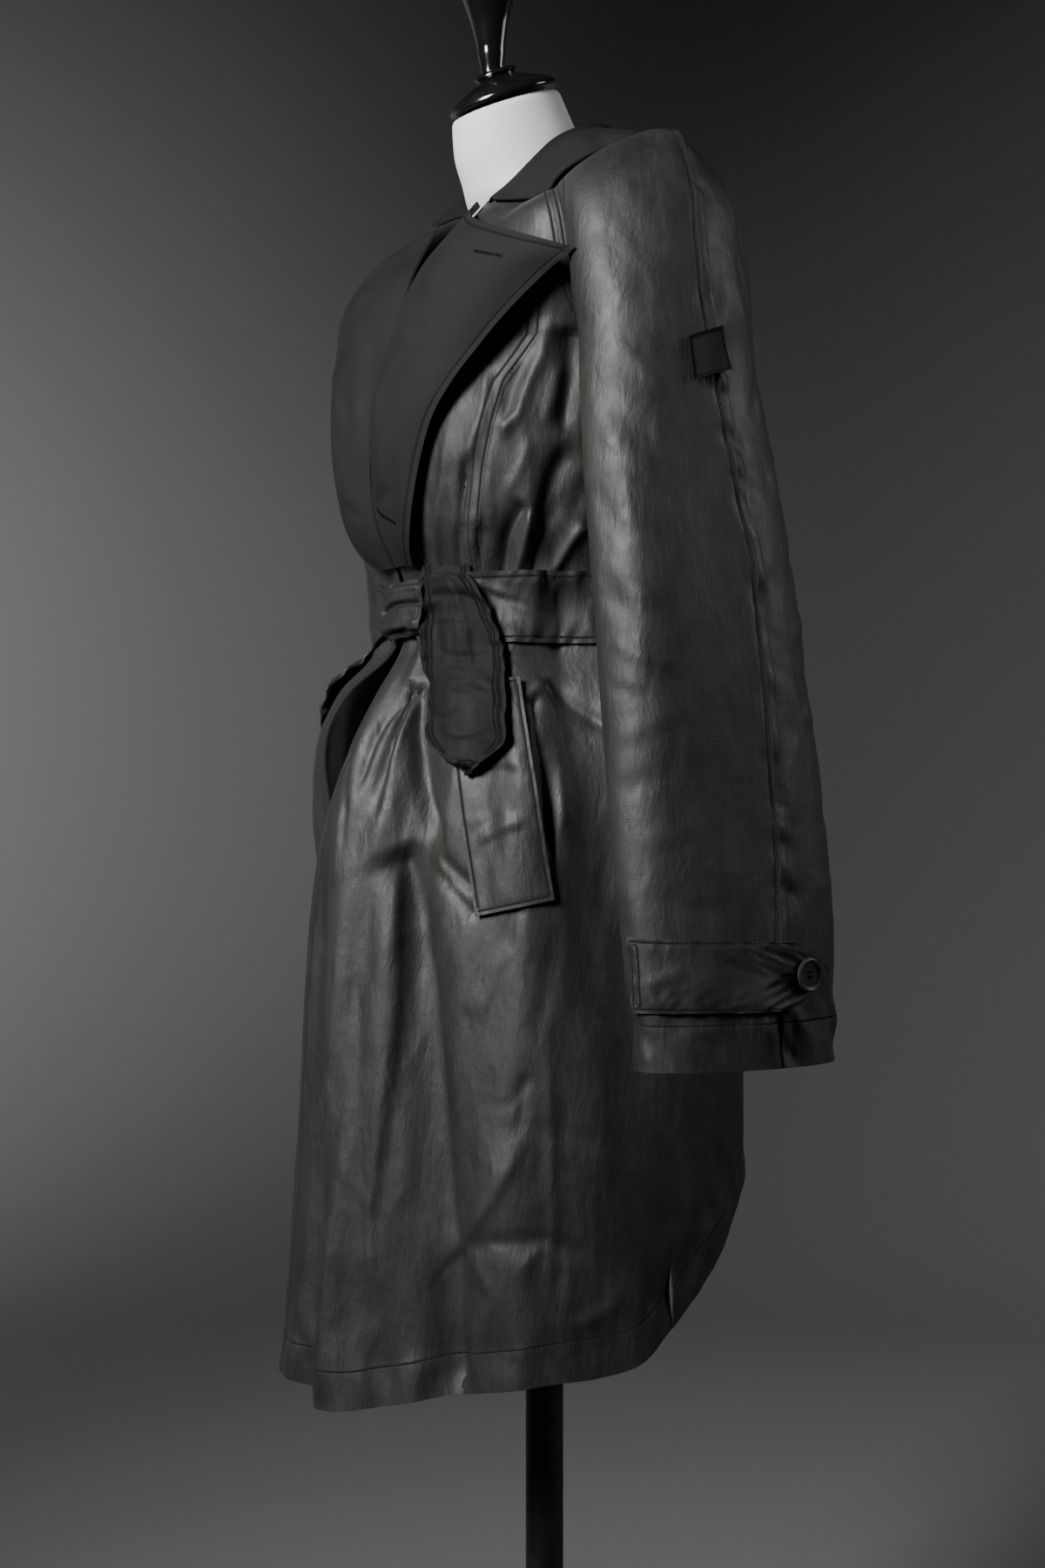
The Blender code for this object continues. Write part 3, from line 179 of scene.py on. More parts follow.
# Large folds of the skirt and the bodice; a positive depth stands out
Fold = namedtuple("Fold", "top angle_top depth_top low angle_low depth_low width")
LEFT_FOLDS = [
    Fold(1.050, 6.0, 0.002, 0.500, 13.5, 0.022, 9.0),
    Fold(0.930, 2.0, -0.002, 0.500, 0.0, -0.012, 7.0),
    Fold(1.050, 26.0, -0.006, 0.500, 41.0, -0.017, 12.0),
    Fold(1.050, 17.0, 0.004, 0.900, 20.0, 0.002, 6.0),
    Fold(1.050, 50.0, 0.009, 0.900, 65.0, 0.002, 8.0),
    Fold(1.040, 66.0, -0.009, 0.500, 100.0, -0.009, 14.0),
    Fold(1.220, 40.0, 0.000, 1.110, 36.0, 0.005, 7.0),
    Fold(1.220, 62.0, 0.000, 1.110, 57.0, 0.006, 8.0),
]
RIGHT_FOLDS = [
    Fold(1.050, 20.0, 0.006, 0.500, 30.0, 0.014, 11.0),
    Fold(1.050, 36.0, -0.006, 0.500, 48.0, -0.012, 12.0),
    Fold(1.050, 55.0, 0.007, 0.700, 66.0, 0.005, 10.0),
    Fold(1.040, 70.0, -0.006, 0.500, 86.0, -0.010, 13.0),
    Fold(1.220, 38.0, 0.000, 1.110, 34.0, 0.006, 7.0),
    Fold(1.220, 60.0, 0.000, 1.110, 54.0, 0.005, 8.0),
]
BACK_FOLDS = [
    Fold(1.040, 116.0, 0.007, 0.540, 122.0, 0.012, 12.0),
    Fold(1.040, 140.0, -0.005, 0.600, 143.0, -0.010, 12.0),
    Fold(1.040, 163.0, 0.006, 0.640, 166.0, 0.008, 12.0),
    Fold(1.040, 187.0, -0.004, 0.640, 185.0, -0.009, 10.0),
    Fold(1.040, 208.0, 0.006, 0.600, 206.0, 0.012, 13.0),
    Fold(1.040, 238.0, -0.005, 0.540, 236.0, -0.009, 13.0),
    Fold(1.230, 128.0, 0.000, 1.110, 130.0, 0.006, 9.0),
    Fold(1.230, 160.0, 0.000, 1.110, 160.0, 0.006, 9.0),
    Fold(1.230, 203.0, 0.000, 1.110, 200.0, 0.006, 9.0),
    Fold(1.230, 233.0, 0.000, 1.110, 231.0, 0.006, 9.0),
]

# The wearer's left sleeve, from the neck to the cuff: a section's outermost point, the lean of
# its plane from level, its half width and half depth, how far it is pitched like a roof and swept
# inwards, and how far round it the cloth reaches
SleeveSection = namedtuple(
    "SleeveSection", "along x y z tilt half_width half_depth roof sweep front_reach back_reach"
)
UNDERARM = 0.275
UNDERARM_HEIGHT = 1.243
SLEEVE = [
    SleeveSection(0.000, 0.070, 0.012, 1.416, 80.0, 0.052, 0.034, 0.15, 0.030, 62.0, 62.0),
    SleeveSection(0.045, 0.115, 0.010, 1.407, 75.0, 0.062, 0.048, 0.40, 0.016, 68.0, 68.0),
    SleeveSection(0.085, 0.155, 0.007, 1.416, 62.0, 0.071, 0.062, 0.55, 0.006, 74.0, 76.0),
    SleeveSection(0.118, 0.188, 0.001, 1.405, 45.0, 0.071, 0.060, 0.58, 0.000, 90.0, 90.0),
    SleeveSection(0.152, 0.214, -0.003, 1.371, 24.0, 0.071, 0.053, 0.38, 0.000, 108.0, 108.0),
    SleeveSection(0.192, 0.228, -0.007, 1.325, 11.0, 0.069, 0.048, 0.15, 0.000, 122.0, 126.0),
    SleeveSection(0.232, 0.236, -0.008, 1.286, 4.0, 0.0685, 0.045, 0.0, 0.000, 142.0, 146.0),
    SleeveSection(0.275, 0.242, -0.009, 1.243, 0.0, 0.068, 0.0435, 0.0, 0.000, 180.0, 180.0),
    SleeveSection(0.330, 0.251, -0.009, 1.190, 0.0, 0.0735, 0.042, 0.0, 0.000, 180.0, 180.0),
    SleeveSection(0.420, 0.268, -0.007, 1.100, 0.0, 0.0775, 0.042, 0.0, 0.000, 180.0, 180.0),
    SleeveSection(0.510, 0.281, -0.006, 1.009, 0.0, 0.0800, 0.041, 0.0, 0.000, 180.0, 180.0),
    SleeveSection(0.600, 0.291, -0.002, 0.921, 0.0, 0.0830, 0.040, 0.0, 0.000, 180.0, 180.0),
    SleeveSection(0.675, 0.299, -0.001, 0.845, 0.0, 0.0810, 0.037, 0.0, 0.000, 180.0, 180.0),
    SleeveSection(0.758, 0.304, -0.002, 0.763, 0.0, 0.0770, 0.033, 0.0, 0.000, 180.0, 180.0),
]
ROOF_ROUNDING = 0.10
ROOF_FRONT_SHARE = 0.7
# How far back of the left sleeve's line the right one hangs
Swing = namedtuple("Swing", "along back")
RIGHT_SWING = [
    Swing(UNDERARM, 0.000),
    Swing(0.330, 0.016),
    Swing(0.420, 0.040),
    Swing(0.510, 0.048),
    Swing(0.758, 0.040),
]
RAGLAN_ROWS = [UNDERARM, 0.232, 0.192, 0.152, 0.118, 0.085, 0.045, 0.000]
SLEEVE_TUBE_ROWS = 12
SLEEVE_COLUMNS = 18
SleeveFold = namedtuple("SleeveFold", "top turn_top low turn_low depth width")
SLEEVE_FOLDS = [
    SleeveFold(0.20, -40.0, 0.66, -62.0, 0.004, 22.0),
    SleeveFold(0.26, -8.0, 0.72, -18.0, -0.004, 20.0),
    SleeveFold(0.10, 55.0, 0.50, 62.0, -0.004, 24.0),
    SleeveFold(0.30, 130.0, 0.70, 120.0, -0.005, 26.0),
]

# Rows of the fronts and the back: parts of the way up the skirt, then heights of the bodice
SKIRT_ROWS = [0.0, 0.09, 0.19, 0.30, 0.42, 0.54, 0.66, 0.77, 0.87, 0.94]
BODICE_ROWS = [WAIST_LOW, WAIST_MIDDLE, 1.103, 1.135, 1.170, 1.207]
FRONT_COLUMNS = 15
BACK_COLUMNS = 22
FRONT_CROWDING = 1.35
START_BLEND = 2.2
END_BLEND = 1.8
FRONT_NECK_BULGE = 0.004
BACK_NECK_BULGE = 0.014
BACK_NECK_RISE = 0.012

# The turned-out lapel: its place on the roll line, its outer edge, and how far it stands off
LapelRow = namedtuple("LapelRow", "roll_height edge_angle edge_height edge_radius bulge")
LEFT_LAPEL = [
    LapelRow(1.111, 15.6, 1.110, 0.1350, 0.002),
    LapelRow(1.142, 20.0, 1.128, 0.1480, 0.004),
    LapelRow(1.182, 25.0, 1.166, 0.1560, 0.006),
    LapelRow(1.225, 32.7, 1.216, 0.1620, 0.009),
    LapelRow(1.275, 47.0, 1.264, 0.1660, 0.013),
    LapelRow(1.328, 60.0, 1.300, 0.1790, 0.015),
    LapelRow(1.379, 67.6, 1.317, 0.2010, 0.010),
]
RIGHT_LAPEL = [
    LapelRow(1.111, 8.0, 1.110, 0.1330, 0.002),
    LapelRow(1.142, 15.0, 1.128, 0.1480, 0.004),
    LapelRow(1.182, 25.0, 1.166, 0.1580, 0.006),
    LapelRow(1.225, 32.7, 1.216, 0.1630, 0.009),
] + LEFT_LAPEL[4:]
LAPEL_ROWS = 13
LAPEL_COLUMNS = 6
LAPEL_ROLL_PLACES = [-0.16, -0.11, -0.07, -0.05, -0.03]
LAPEL_STAND_OFF = 0.0028
LAPEL_CLEARANCE = WALL + 0.0008
LAPEL_OVERHANG = 0.0010

# The collar's left half: its roll line on top and its outer edge, by part of the way round
CollarPlace = namedtuple("CollarPlace", "turn roll_x roll_y roll_z edge_x edge_y edge_z")
COLLAR = [
    CollarPlace(0.00, 0.0500, -0.072, 1.390, 0.126, -0.043, 1.368),
    CollarPlace(0.10, 0.0575, -0.058, 1.402, 0.129, -0.030, 1.384),
    CollarPlace(0.20, 0.0635, -0.042, 1.417, 0.130, -0.013, 1.403),
    CollarPlace(0.33, 0.0640, -0.021, 1.434, 0.124, 0.010, 1.423),
    CollarPlace(0.50, 0.0595, 0.006, 1.446, 0.106, 0.040, 1.424),
    CollarPlace(0.74, 0.0370, 0.036, 1.453, 0.066, 0.078, 1.414),
    CollarPlace(1.00, 0.0000, 0.046, 1.455, 0.000, 0.092, 1.410),
]
NECK_COLUMNS = [
    ("front_left", (1, 5, 9, 13)),
    ("sleeve_left", (1, 3, 5, 7, 9, 11, 13, 15, 17)),
    ("back", (1, 4, 7, 11, 15, 18, 21)),
    ("sleeve_right", (1, 3, 5, 7, 9, 11, 13, 15, 17)),
    ("front_right", (2, 6, 10, 14)),
]
COLLAR_FOLD = 0.0058
COLLAR_DROP = 0.0035
COLLAR_BULGE = 0.003
COLLAR_SEAM_GAP = 0.0026
COLLAR_CLEARANCE = WALL + 0.0030
COLLAR_FALL_STEPS = 3

# The dress form, from its underside up, and the lean of each section
FormSection = namedtuple("FormSection", "height side front back lean")
FORM = [
    FormSection(0.830, 0.146, 0.112, 0.106, 0.0),
    FormSection(0.900, 0.152, 0.120, 0.112, 0.0),
    FormSection(0.970, 0.144, 0.112, 0.102, 0.0),
    FormSection(1.030, 0.122, 0.098, 0.082, 0.0),
    FormSection(1.076, 0.116, 0.095, 0.076, 0.0),
    FormSection(1.130, 0.124, 0.108, 0.083, 0.0),
    FormSection(1.190, 0.134, 0.120, 0.091, 0.0),
    FormSection(1.250, 0.142, 0.108, 0.092, 0.0),
    FormSection(1.300, 0.144, 0.088, 0.087, 0.0),
    FormSection(1.340, 0.140, 0.070, 0.078, 0.0),
    FormSection(1.370, 0.104, 0.052, 0.060, 0.0),
    FormSection(1.386, 0.066, 0.052, 0.050, 2.0),
    FormSection(1.400, 0.0566, 0.060, 0.043, 6.0),
    FormSection(1.418, 0.049, 0.066, 0.036, 11.0),
    FormSection(1.440, 0.0445, 0.0730, 0.0220, 16.0),
    FormSection(1.471, 0.0405, 0.0755, 0.0055, 20.0),
]
FORM_COLUMNS = 28

# Turned pieces: radius and height, from the foot up
Turned = namedtuple("Turned", "radius height")
BALL_HEIGHT = 0.0300
NECK_CAP = [
    Turned(0.0415, 0.0000),
    Turned(0.0428, 0.0022),
    Turned(0.0410, 0.0060),
    Turned(0.0350, 0.0100),
    Turned(0.0260, 0.0140),
    Turned(0.0190, 0.0172),
    Turned(0.0158, 0.0186),
    Turned(0.0150, 0.0194),
    Turned(0.0172, 0.0212),
    Turned(0.0158, 0.0236),
    Turned(0.0128, 0.0246),
]
FINIAL = [
    Turned(0.0109, 0.0062),
    Turned(0.0112, 0.0120),
    Turned(0.0150, 0.0300),
    Turned(0.0185, 0.0420),
    Turned(0.0222, 0.0540),
    Turned(0.0255, 0.0680),
    Turned(0.0272, 0.0820),
    Turned(0.0262, 0.0940),
    Turned(0.0215, 0.1050),
    Turned(0.0125, 0.1125),
]
# What is hidden: the cap's hollow round the ball, and the finial's stem in it
CAP_HOLLOW = [Turned(0.0104, 0.0246), Turned(0.0100, 0.0180)]
FINIAL_STEM = [Turned(0.0040, -0.0110), Turned(0.0090, -0.0080), Turned(0.0096, 0.0)]
FINIAL_LEAN = 2.5
BUTTON = [
    Turned(0.0088, 0.0),
    Turned(0.0106, 0.0006),
    Turned(0.0115, 0.0016),
    Turned(0.0115, 0.0026),
    Turned(0.0109, 0.0034),
    Turned(0.0101, 0.0037),
    Turned(0.0092, 0.0034),
    Turned(0.0084, 0.0026),
    Turned(0.0078, 0.0021),
    Turned(0.0060, 0.0020),
    Turned(0.0030, 0.0020),
]
HAND_GAP = 0.0003

# The belt: its band follows the cloth's waist rows, and narrows towards the knot
BELT_WALL = 0.0016
BELT_LIFT = BELT_WALL + 0.0008
BELT_NEAREST = 0.004
BELT_NARROW_ANGLE = 14.0
BELT_NARROW_LOW = 0.24
BELT_NARROW_HIGH = 0.83
BELT_ROWS = 3

# Straps that hang or lie on the cloth: heights and angles of both edges, lift off the cloth
StrapRow = namedtuple("StrapRow", "left_height left right_height right lift")
NEAR_END = [
    StrapRow(0.9575, 42.2, 0.9575, 43.8, 0.0030),
    StrapRow(0.9785, 30.4, 0.9775, 53.0, 0.0030),
    StrapRow(1.0000, 27.0, 1.0000, 52.5, 0.0035),
    StrapRow(1.0250, 23.5, 1.0250, 51.5, 0.0040),
    StrapRow(1.0460, 20.5, 1.0460, 50.0, 0.0060),
    StrapRow(1.0700, 18.5, 1.0700, 46.0, 0.0050),
    StrapRow(1.0920, 16.8, 1.0900, 41.5, 0.0045),
    StrapRow(1.1010, 16.5, 1.0990, 39.0, 0.0050),
    StrapRow(1.1045, 17.0, 1.1025, 38.0, -0.0004),
]
FAR_END = [
    StrapRow(0.9600, 38.4, 0.9600, 42.4, 0.0030),
    StrapRow(0.9810, 29.0, 0.9800, 50.0, 0.0030),
    StrapRow(1.0050, 27.0, 1.0050, 48.5, 0.0035),
    StrapRow(1.0300, 24.0, 1.0300, 46.0, 0.0045),
    StrapRow(1.0530, 22.0, 1.0530, 44.0, 0.0004),
]
KNOT = [
    StrapRow(1.0570, -4.0, 1.0600, 12.5, -0.0002),
    StrapRow(1.0640, -5.0, 1.0650, 13.0, 0.0050),
    StrapRow(1.0770, -5.0, 1.0770, 13.5, 0.0070),
    StrapRow(1.0900, -4.5, 1.0930, 13.5, 0.0060),
    StrapRow(1.0990, -3.0, 1.1010, 13.0, 0.0010),
]
POCKET = [
    StrapRow(0.8577, 45.8, 0.8700, 63.6, 0.0008),
    StrapRow(0.8980, 43.2, 0.9090, 61.6, 0.0008),
    StrapRow(0.9380, 40.4, 0.9480, 59.8, 0.0008),
    StrapRow(0.9780, 37.5, 0.9870, 57.6, 0.0008),
    StrapRow(1.0180, 34.5, 1.0260, 55.1, 0.0008),
]

# How the near end turns over the band and in behind it, from its highest row on
BeltTurn = namedtuple("BeltTurn", "rise inward place")
BELT_TURNS = [
    BeltTurn(0.0050, 0.0012, 1.04),
    BeltTurn(0.0058, 0.0040, 1.07),
    BeltTurn(0.0030, 0.0068, 1.10),
]

STRAP_COLUMNS = 5
WELT_ROWS = 12
NEAR_END_ROWS = 14
FAR_END_ROWS = 8
KNOT_ROWS = 8

# The cuff tab and the patch, by place along the sleeve and turn round it
TAB_LOW = 0.7190
TAB_HIGH = 0.6740
TAB_START = -84.0
TAB_SQUARE_END = 17.0
TAB_POINT = 52.0
TAB_LOOK = 0.05
TAB_LIFT = WALL + 0.0014
PATCH_LIFT = WALL + 0.0002
BUTTON_GAP = 0.0009
BUTTON_TURN = 26.0
PATCH_SKEW = 2.0
PATCH_LOW = 0.2970
PATCH_HIGH = 0.2660
PATCH_TURNS = (-9.0, 15.0)
PATCH_SLANT = 0.010


def between(s, span, ends: tuple, slopes: tuple):
    """A smooth curve from one value to another, for numbers or arrays.

    Args:
        s: how far along it is read, from 0 to 1.
        span: its length.
        ends: the values at its two ends.
        slopes: the slopes there.

    Returns:
        The value there.
    """
    return (
        (2 * s**3 - 3 * s**2 + 1) * ends[0]
        + (s**3 - 2 * s**2 + s) * span * slopes[0]
        + (3 * s**2 - 2 * s**3) * ends[1]
        + (s**3 - s**2) * span * slopes[1]
    )


def curve(rows: list, column: str, place: float) -> float:
    """Read one column of a table on a smooth curve.

    Args:
        rows: the table, rising in its first column.
        column: the column to read.
        place: where to read it, in the first column's units.

    Returns:
        The value there, held level beyond the table's ends.
    """
    key = rows[0]._fields[0]
    places = [getattr(row, key) for row in rows]
    values = [getattr(row, column) for row in rows]
    if place <= places[0]:
        return values[0]
    if place >= places[-1]:
        return values[-1]
    low = max(i for i in range(len(places) - 1) if places[i] <= place)

    def slope(i: int) -> float:
        """The curve's slope at one row."""
        before, after = max(i - 1, 0), min(i + 1, len(places) - 1)
        return (values[after] - values[before]) / (places[after] - places[before])

    span = places[low + 1] - places[low]
    ends = values[low], values[low + 1]
    return between((place - places[low]) / span, span, ends, (slope(low), slope(low + 1)))


def mix(a: float, b: float, part: float) -> float:
    """The value a part of the way from a to b."""
    return a + (b - a) * part


def parts_of(count: int) -> list:
    """The parts from 0 to 1 in a number of equal steps."""
    return [i / count for i in range(count + 1)]


def ease(part):
    """A soft step from 0 to 1, for a number or an array."""
    part = np.clip(part, 0.0, 1.0)
    return part * part * (3.0 - 2.0 * part)


def hump(distance):
    """A soft hump, 1 in its middle and 0 from a distance of 1, for a number or an array."""
    return 0.5 + 0.5 * np.cos(math.pi * np.clip(np.abs(distance), 0.0, 1.0))


def polar(angle: float, height: float, radius: float) -> Vector:
    """The point at an angle, a height and a distance from the axis."""
    turn = math.radians(angle)
    return Vector((radius * math.sin(turn), -radius * math.cos(turn), height))


def angle_of(point: Vector) -> float:
    """The angle of a point around the body."""
    return math.degrees(math.atan2(point.x, -point.y))


def radius_of(point: Vector) -> float:
    """The distance of a point from the axis."""
    return math.hypot(point.x, point.y)


def uneven(points: np.ndarray, size: float, seed: int) -> np.ndarray:
    """Smooth unevenness in space, the same on every run.

    Args:
        points: places, an array that ends in three coordinates.
        size: the distance between one swell and the next, in metres.
        seed: picks one of many such patterns.

    Returns:
        A value from -1 to 1 at each place.
    """
    scaled = points / size + seed * 7.31
    cell = np.floor(scaled).astype(np.int64)
    part = scaled - cell
    fade = part**3 * (part * (part * 6.0 - 15.0) + 10.0)
    total = np.zeros(points.shape[:-1])
    for corner in np.ndindex(2, 2, 2):
        at = cell + np.array(corner)
        mixed = at[..., 0] * 73856093 ^ at[..., 1] * 19349663 ^ at[..., 2] * 83492791
        mixed = (mixed & 0xFFFFFFFF) * 2654435761 & 0xFFFFFFFF
        mixed = (mixed ^ (mixed >> 15)) * 2246822519 & 0xFFFFFFFF
        value = ((mixed >> 9) & 0xFFFF) / 32767.5 - 1.0
        weight = np.where(np.array(corner) == 1, fade, 1.0 - fade).prod(axis=-1)
        total += weight * value
    return total


def refine(net: np.ndarray, count: int, axis: int, spots: tuple = ()) -> np.ndarray:
    """Draw smooth lines through a net of points along one axis.

    Args:
        net: rows by columns of points, three coordinates and any further values.
        count: the number of steps wanted along the axis.
        axis: 0 to add rows, 1 to add columns.
        spots: rows or columns of the net near which the steps are drawn closer.

    Returns:
        The finer net, which passes through the points of the first.
    """
    net = np.moveaxis(net, axis, 0)
    steps = np.linalg.norm(np.diff(net[..., :3], axis=0), axis=-1).mean(axis=1)
    reach = np.concatenate([[0.0], np.cumsum(np.maximum(steps, 1e-5))])
    last = len(net) - 1
    before, after = np.maximum(np.arange(last + 1) - 1, 0), np.minimum(np.arange(last + 1) + 1, last)
    slopes = (net[after] - net[before]) / (reach[after] - reach[before])[:, None, None]
    wanted = np.linspace(0.0, reach[-1], count + 1)
    if spots:
        scale = np.linspace(0.0, reach[-1], SPOT_READINGS)
        dense = 1.0 + sum(
            SPOT_CROWDING * np.exp(-(((scale - reach[k]) / SPOT_REACH) ** 2)) for k in spots
        )
        total = np.concatenate([[0.0], np.cumsum((dense[1:] + dense[:-1]) / 2.0)])
        wanted = np.interp(np.linspace(0.0, total[-1], count + 1), total, scale)
    low = np.clip(np.searchsorted(reach, wanted, side="right") - 1, 0, last - 1)
    span = (reach[low + 1] - reach[low])[:, None, None]
    s = ((wanted - reach[low])[:, None, None]) / span
    fine = between(s, span, (net[low], net[low + 1]), (slopes[low], slopes[low + 1]))
    return np.moveaxis(fine, 0, axis)


def grid_quads(rows: int, columns: int) -> np.ndarray:
    """The four corners of every face of a net, as places in its list of points."""
    grid = np.arange(rows * columns).reshape(rows, columns)
    quads = np.stack([grid[:-1, :-1], grid[:-1, 1:], grid[1:, 1:], grid[1:, :-1]], axis=-1)
    return quads.reshape(-1, 4)


def outwards(points: np.ndarray) -> np.ndarray:
    """The outward direction at each point of a net."""
    across = np.gradient(points, axis=1)
    up = np.gradient(points, axis=0)
    normals = np.cross(across, up)
    return normals / np.maximum(np.linalg.norm(normals, axis=-1, keepdims=True), 1e-12)


class Side(Enum):
    """The wearer's left or right."""

    LEFT = 1.0
    RIGHT = -1.0

    @property
    def word(self) -> str:
        """The side's name as the nodes use it."""
        return self.name.lower()


class Rim(Enum):
    """One of the four edges of a cloth's net."""

    FIRST = "first column"
    LAST = "last column"
    LOW = "low row"
    HIGH = "high row"


# A soft trough or ridge, from one place of a cloth to another. Depth and width are in
# millimetres; a bow bends it to one side by that part of its length
Crease = namedtuple("Crease", "a0 b0 a1 b1 depth width bow start end", defaults=(0.0, 0.3, 0.3))

# A long pleat along a path: depth, and the widths of its side of smaller angle and the other
Pleat = namedtuple("Pleat", "path depth inner outer start end", defaults=(0.06, 0.35))


class Cloth:
    """A fine sheet of cloth drawn on a coarse net, whose places are named by two values."""

    def __init__(self, net: np.ndarray, rows: int, columns: int, row_spots: tuple = (),
                 column_spots: tuple = ()) -> None:
        """Draw the sheet.

        Args:
            net: coarse rows from the bottom up; x, y, z and the two place values.
            rows: fine rows.
            columns: fine columns.
            row_spots: rows of the net near which the fine rows lie closer.
            column_spots: columns of the net near which the fine columns lie closer.
        """
        fine = refine(refine(net, rows, 0, row_spots), columns, 1, column_spots)
        self.points = fine[..., :3].copy()
        self.a = fine[..., 3]
        self.b = fine[..., 4]
        self.plain = self.points.copy()
        self.normals = outwards(self.points)
        self.lift = np.zeros(self.points.shape[:2])
        self.marks = np.stack([np.ones_like(self.a), np.ones_like(self.a), self.lift], axis=-1)
        across = np.linalg.norm(np.gradient(self.points, axis=1), axis=-1)
        up = np.linalg.norm(np.gradient(self.points, axis=0), axis=-1)
        self.a_scale = across / np.maximum(np.abs(np.gradient(self.a, axis=1)), 1e-6)
        self.b_scale = up / np.maximum(np.abs(np.gradient(self.b, axis=0)), 1e-6)
        self.across_length = np.concatenate(
            [np.zeros((rows + 1, 1)), np.cumsum(self._steps(1), axis=1)], axis=1
        )
        self.up_length = np.concatenate(
            [np.zeros((1, columns + 1)), np.cumsum(self._steps(0), axis=0)], axis=0
        )

    def _steps(self, axis: int) -> np.ndarray:
        """The lengths from each point to the next along an axis."""
        return np.linalg.norm(np.diff(self.points, axis=axis), axis=-1)

    def crease(self, creases: list, wander: float = 2.5, seed: int = 3) -> None:
        """Add the listed creases.

        Args:
            creases: rows of Crease, in this cloth's own places.
            wander: how far a crease strays from its line, in millimetres.
            seed: picks the way it strays.
        """
        stray_a = uneven(self.plain, 0.034, seed) * wander / 1000.0
        stray_b = uneven(self.plain, 0.034, seed + 1) * wander / 1000.0
        for row in creases:
            u = (self.a - row.a0) * self.a_scale + stray_a
            v = (self.b - row.b0) * self.b_scale + stray_b
            far_u, far_v = (row.a1 - row.a0) * self.a_scale, (row.b1 - row.b0) * self.b_scale
            length = np.maximum(np.hypot(far_u, far_v), 1e-4)
            part = (u * far_u + v * far_v) / length**2
            aside = (far_u * v - far_v * u) / length
            aside -= row.bow * length * 4.0 * part * (1.0 - part)
            taper = ease(part / row.start) * ease((1.0 - part) / row.end)
            self.lift += row.depth / 1000.0 * hump(aside * 1000.0 / row.width) * taper

    def crumple(self, depth: float, size: float, seed: int, where=1.0) -> None:
        """Add the general unevenness of a worn cloth, with soft crests.

        Args:
            depth: its height in millimetres.
            size: the distance between crests, in metres.
            seed: picks the pattern.
            where: how much of it each place gets.
        """
        hanging = self.plain * np.array([1.0, 1.0, CRUMPLE_HANG])
        strayed = hanging + 0.45 * size * np.stack(
            [uneven(hanging, size * 1.4, seed + k) for k in (11, 12, 13)], axis=-1
        )
        broad = uneven(strayed, size, seed)
        crest = 1.0 - 2.6 * np.abs(uneven(strayed, size * 0.8, seed + 5)) ** 0.8
        self.lift += depth / 1000.0 * (0.5 * broad + 0.5 * crest) * where

    def pleat(self, pleats: list) -> None:
        """Add the listed long pleats, each steeper on one side than on the other.

        Args:
            pleats: rows of Pleat, in this cloth's own places.
        """
        for row in pleats:
            signed, along = self.path_distance(row.path)
            signed = signed + uneven(self.plain, 0.045, 17) * 0.0016
            width = np.where(signed > 0.0, row.outer, row.inner) / 1000.0
            length = max(float(along.max()), 1e-4)
            taper = ease(along / length / row.start) * ease((1.0 - along / length) / row.end)
            self.lift += row.depth / 1000.0 * taper / (1.0 + (signed / width) ** 2) ** 1.5

    def mark(self, distance: np.ndarray, where=True) -> None:
        """Note how far each place lies from a row of stitches, for the finish to draw it."""
        nearer = where & (np.abs(distance) < np.abs(self.marks[..., 1]))
        self.marks[..., 1] = np.where(nearer, distance, self.marks[..., 1])

    def path_distance(self, path: list) -> tuple[np.ndarray, np.ndarray]:
        """How far each place lies from a line drawn on the cloth.

        Args:
            path: the line's places, as pairs of this cloth's two values.

        Returns:
            The distance in metres, positive on the left of the line, and the length along it.
        """
        best = np.full(self.a.shape, 9.0)
        signed = np.zeros(self.a.shape)
        along = np.zeros(self.a.shape)
        gone = np.zeros(self.a.shape)
        for (a0, b0), (a1, b1) in zip(path, path[1:]):
            u, v = (self.a - a0) * self.a_scale, (self.b - b0) * self.b_scale
            far_u, far_v = (a1 - a0) * self.a_scale, (b1 - b0) * self.b_scale
            length = np.maximum(np.hypot(far_u, far_v), 1e-5)
            part = np.clip((u * far_u + v * far_v) / length**2, 0.0, 1.0)
            gap_u, gap_v = u - part * far_u, v - part * far_v
            gap = np.hypot(gap_u, gap_v)
            nearer = gap < best
            best = np.where(nearer, gap, best)
            signed = np.where(nearer, np.sign(far_u * v - far_v * u) * gap, signed)
            along = np.where(nearer, gone + part * length, along)
            gone = gone + length
        return signed, along

    def seam(self, path: list, band: float = 0.009, rise: float = 0.5, groove: float = 0.7) -> None:
        """Add a felled seam: a groove on its line and a raised band to the left of it.

        Args:
            path: the seam's places.
            band: the width of the felled band in metres; negative for the right of the line.
            rise: the band's height in millimetres.
            groove: the groove's depth in millimetres.
        """
        signed = self.path_distance(path)[0]
        side = signed * (1.0 if band >= 0.0 else -1.0)
        raised = ease(side / 0.0030) * ease((abs(band) - side) / 0.004 + 0.5)
        self.lift += rise / 1000.0 * raised
        self.lift -= groove / 1000.0 * hump(signed / 0.0030)
        # Kept for the finish, which paints shade along the seam's groove
        self.marks[..., 0] = side

    def pucker(self, distance: np.ndarray, along: np.ndarray, depth: float, pitch: float,
               reach: float, seed: int) -> None:
        """Add the short ripples that a row of stitches draws up across itself.

        Args:
            distance: how far each place is from the row, in metres.
            along: the length along the row, in metres.
            depth: the ripples' height in millimetres.
            pitch: the distance from one ripple to the next, in metres.
            reach: how far they run to each side, in metres.
            seed: picks their unevenness.
        """
        flat = np.stack([along + distance * 0.35, distance * 0.35, np.zeros_like(along)], axis=-1)
        waves = uneven(flat, pitch, seed) + 0.5 * uneven(flat, pitch * 0.55, seed + 2)
        self.lift += depth / 1000.0 * waves * np.exp(-((distance / reach) ** 2))

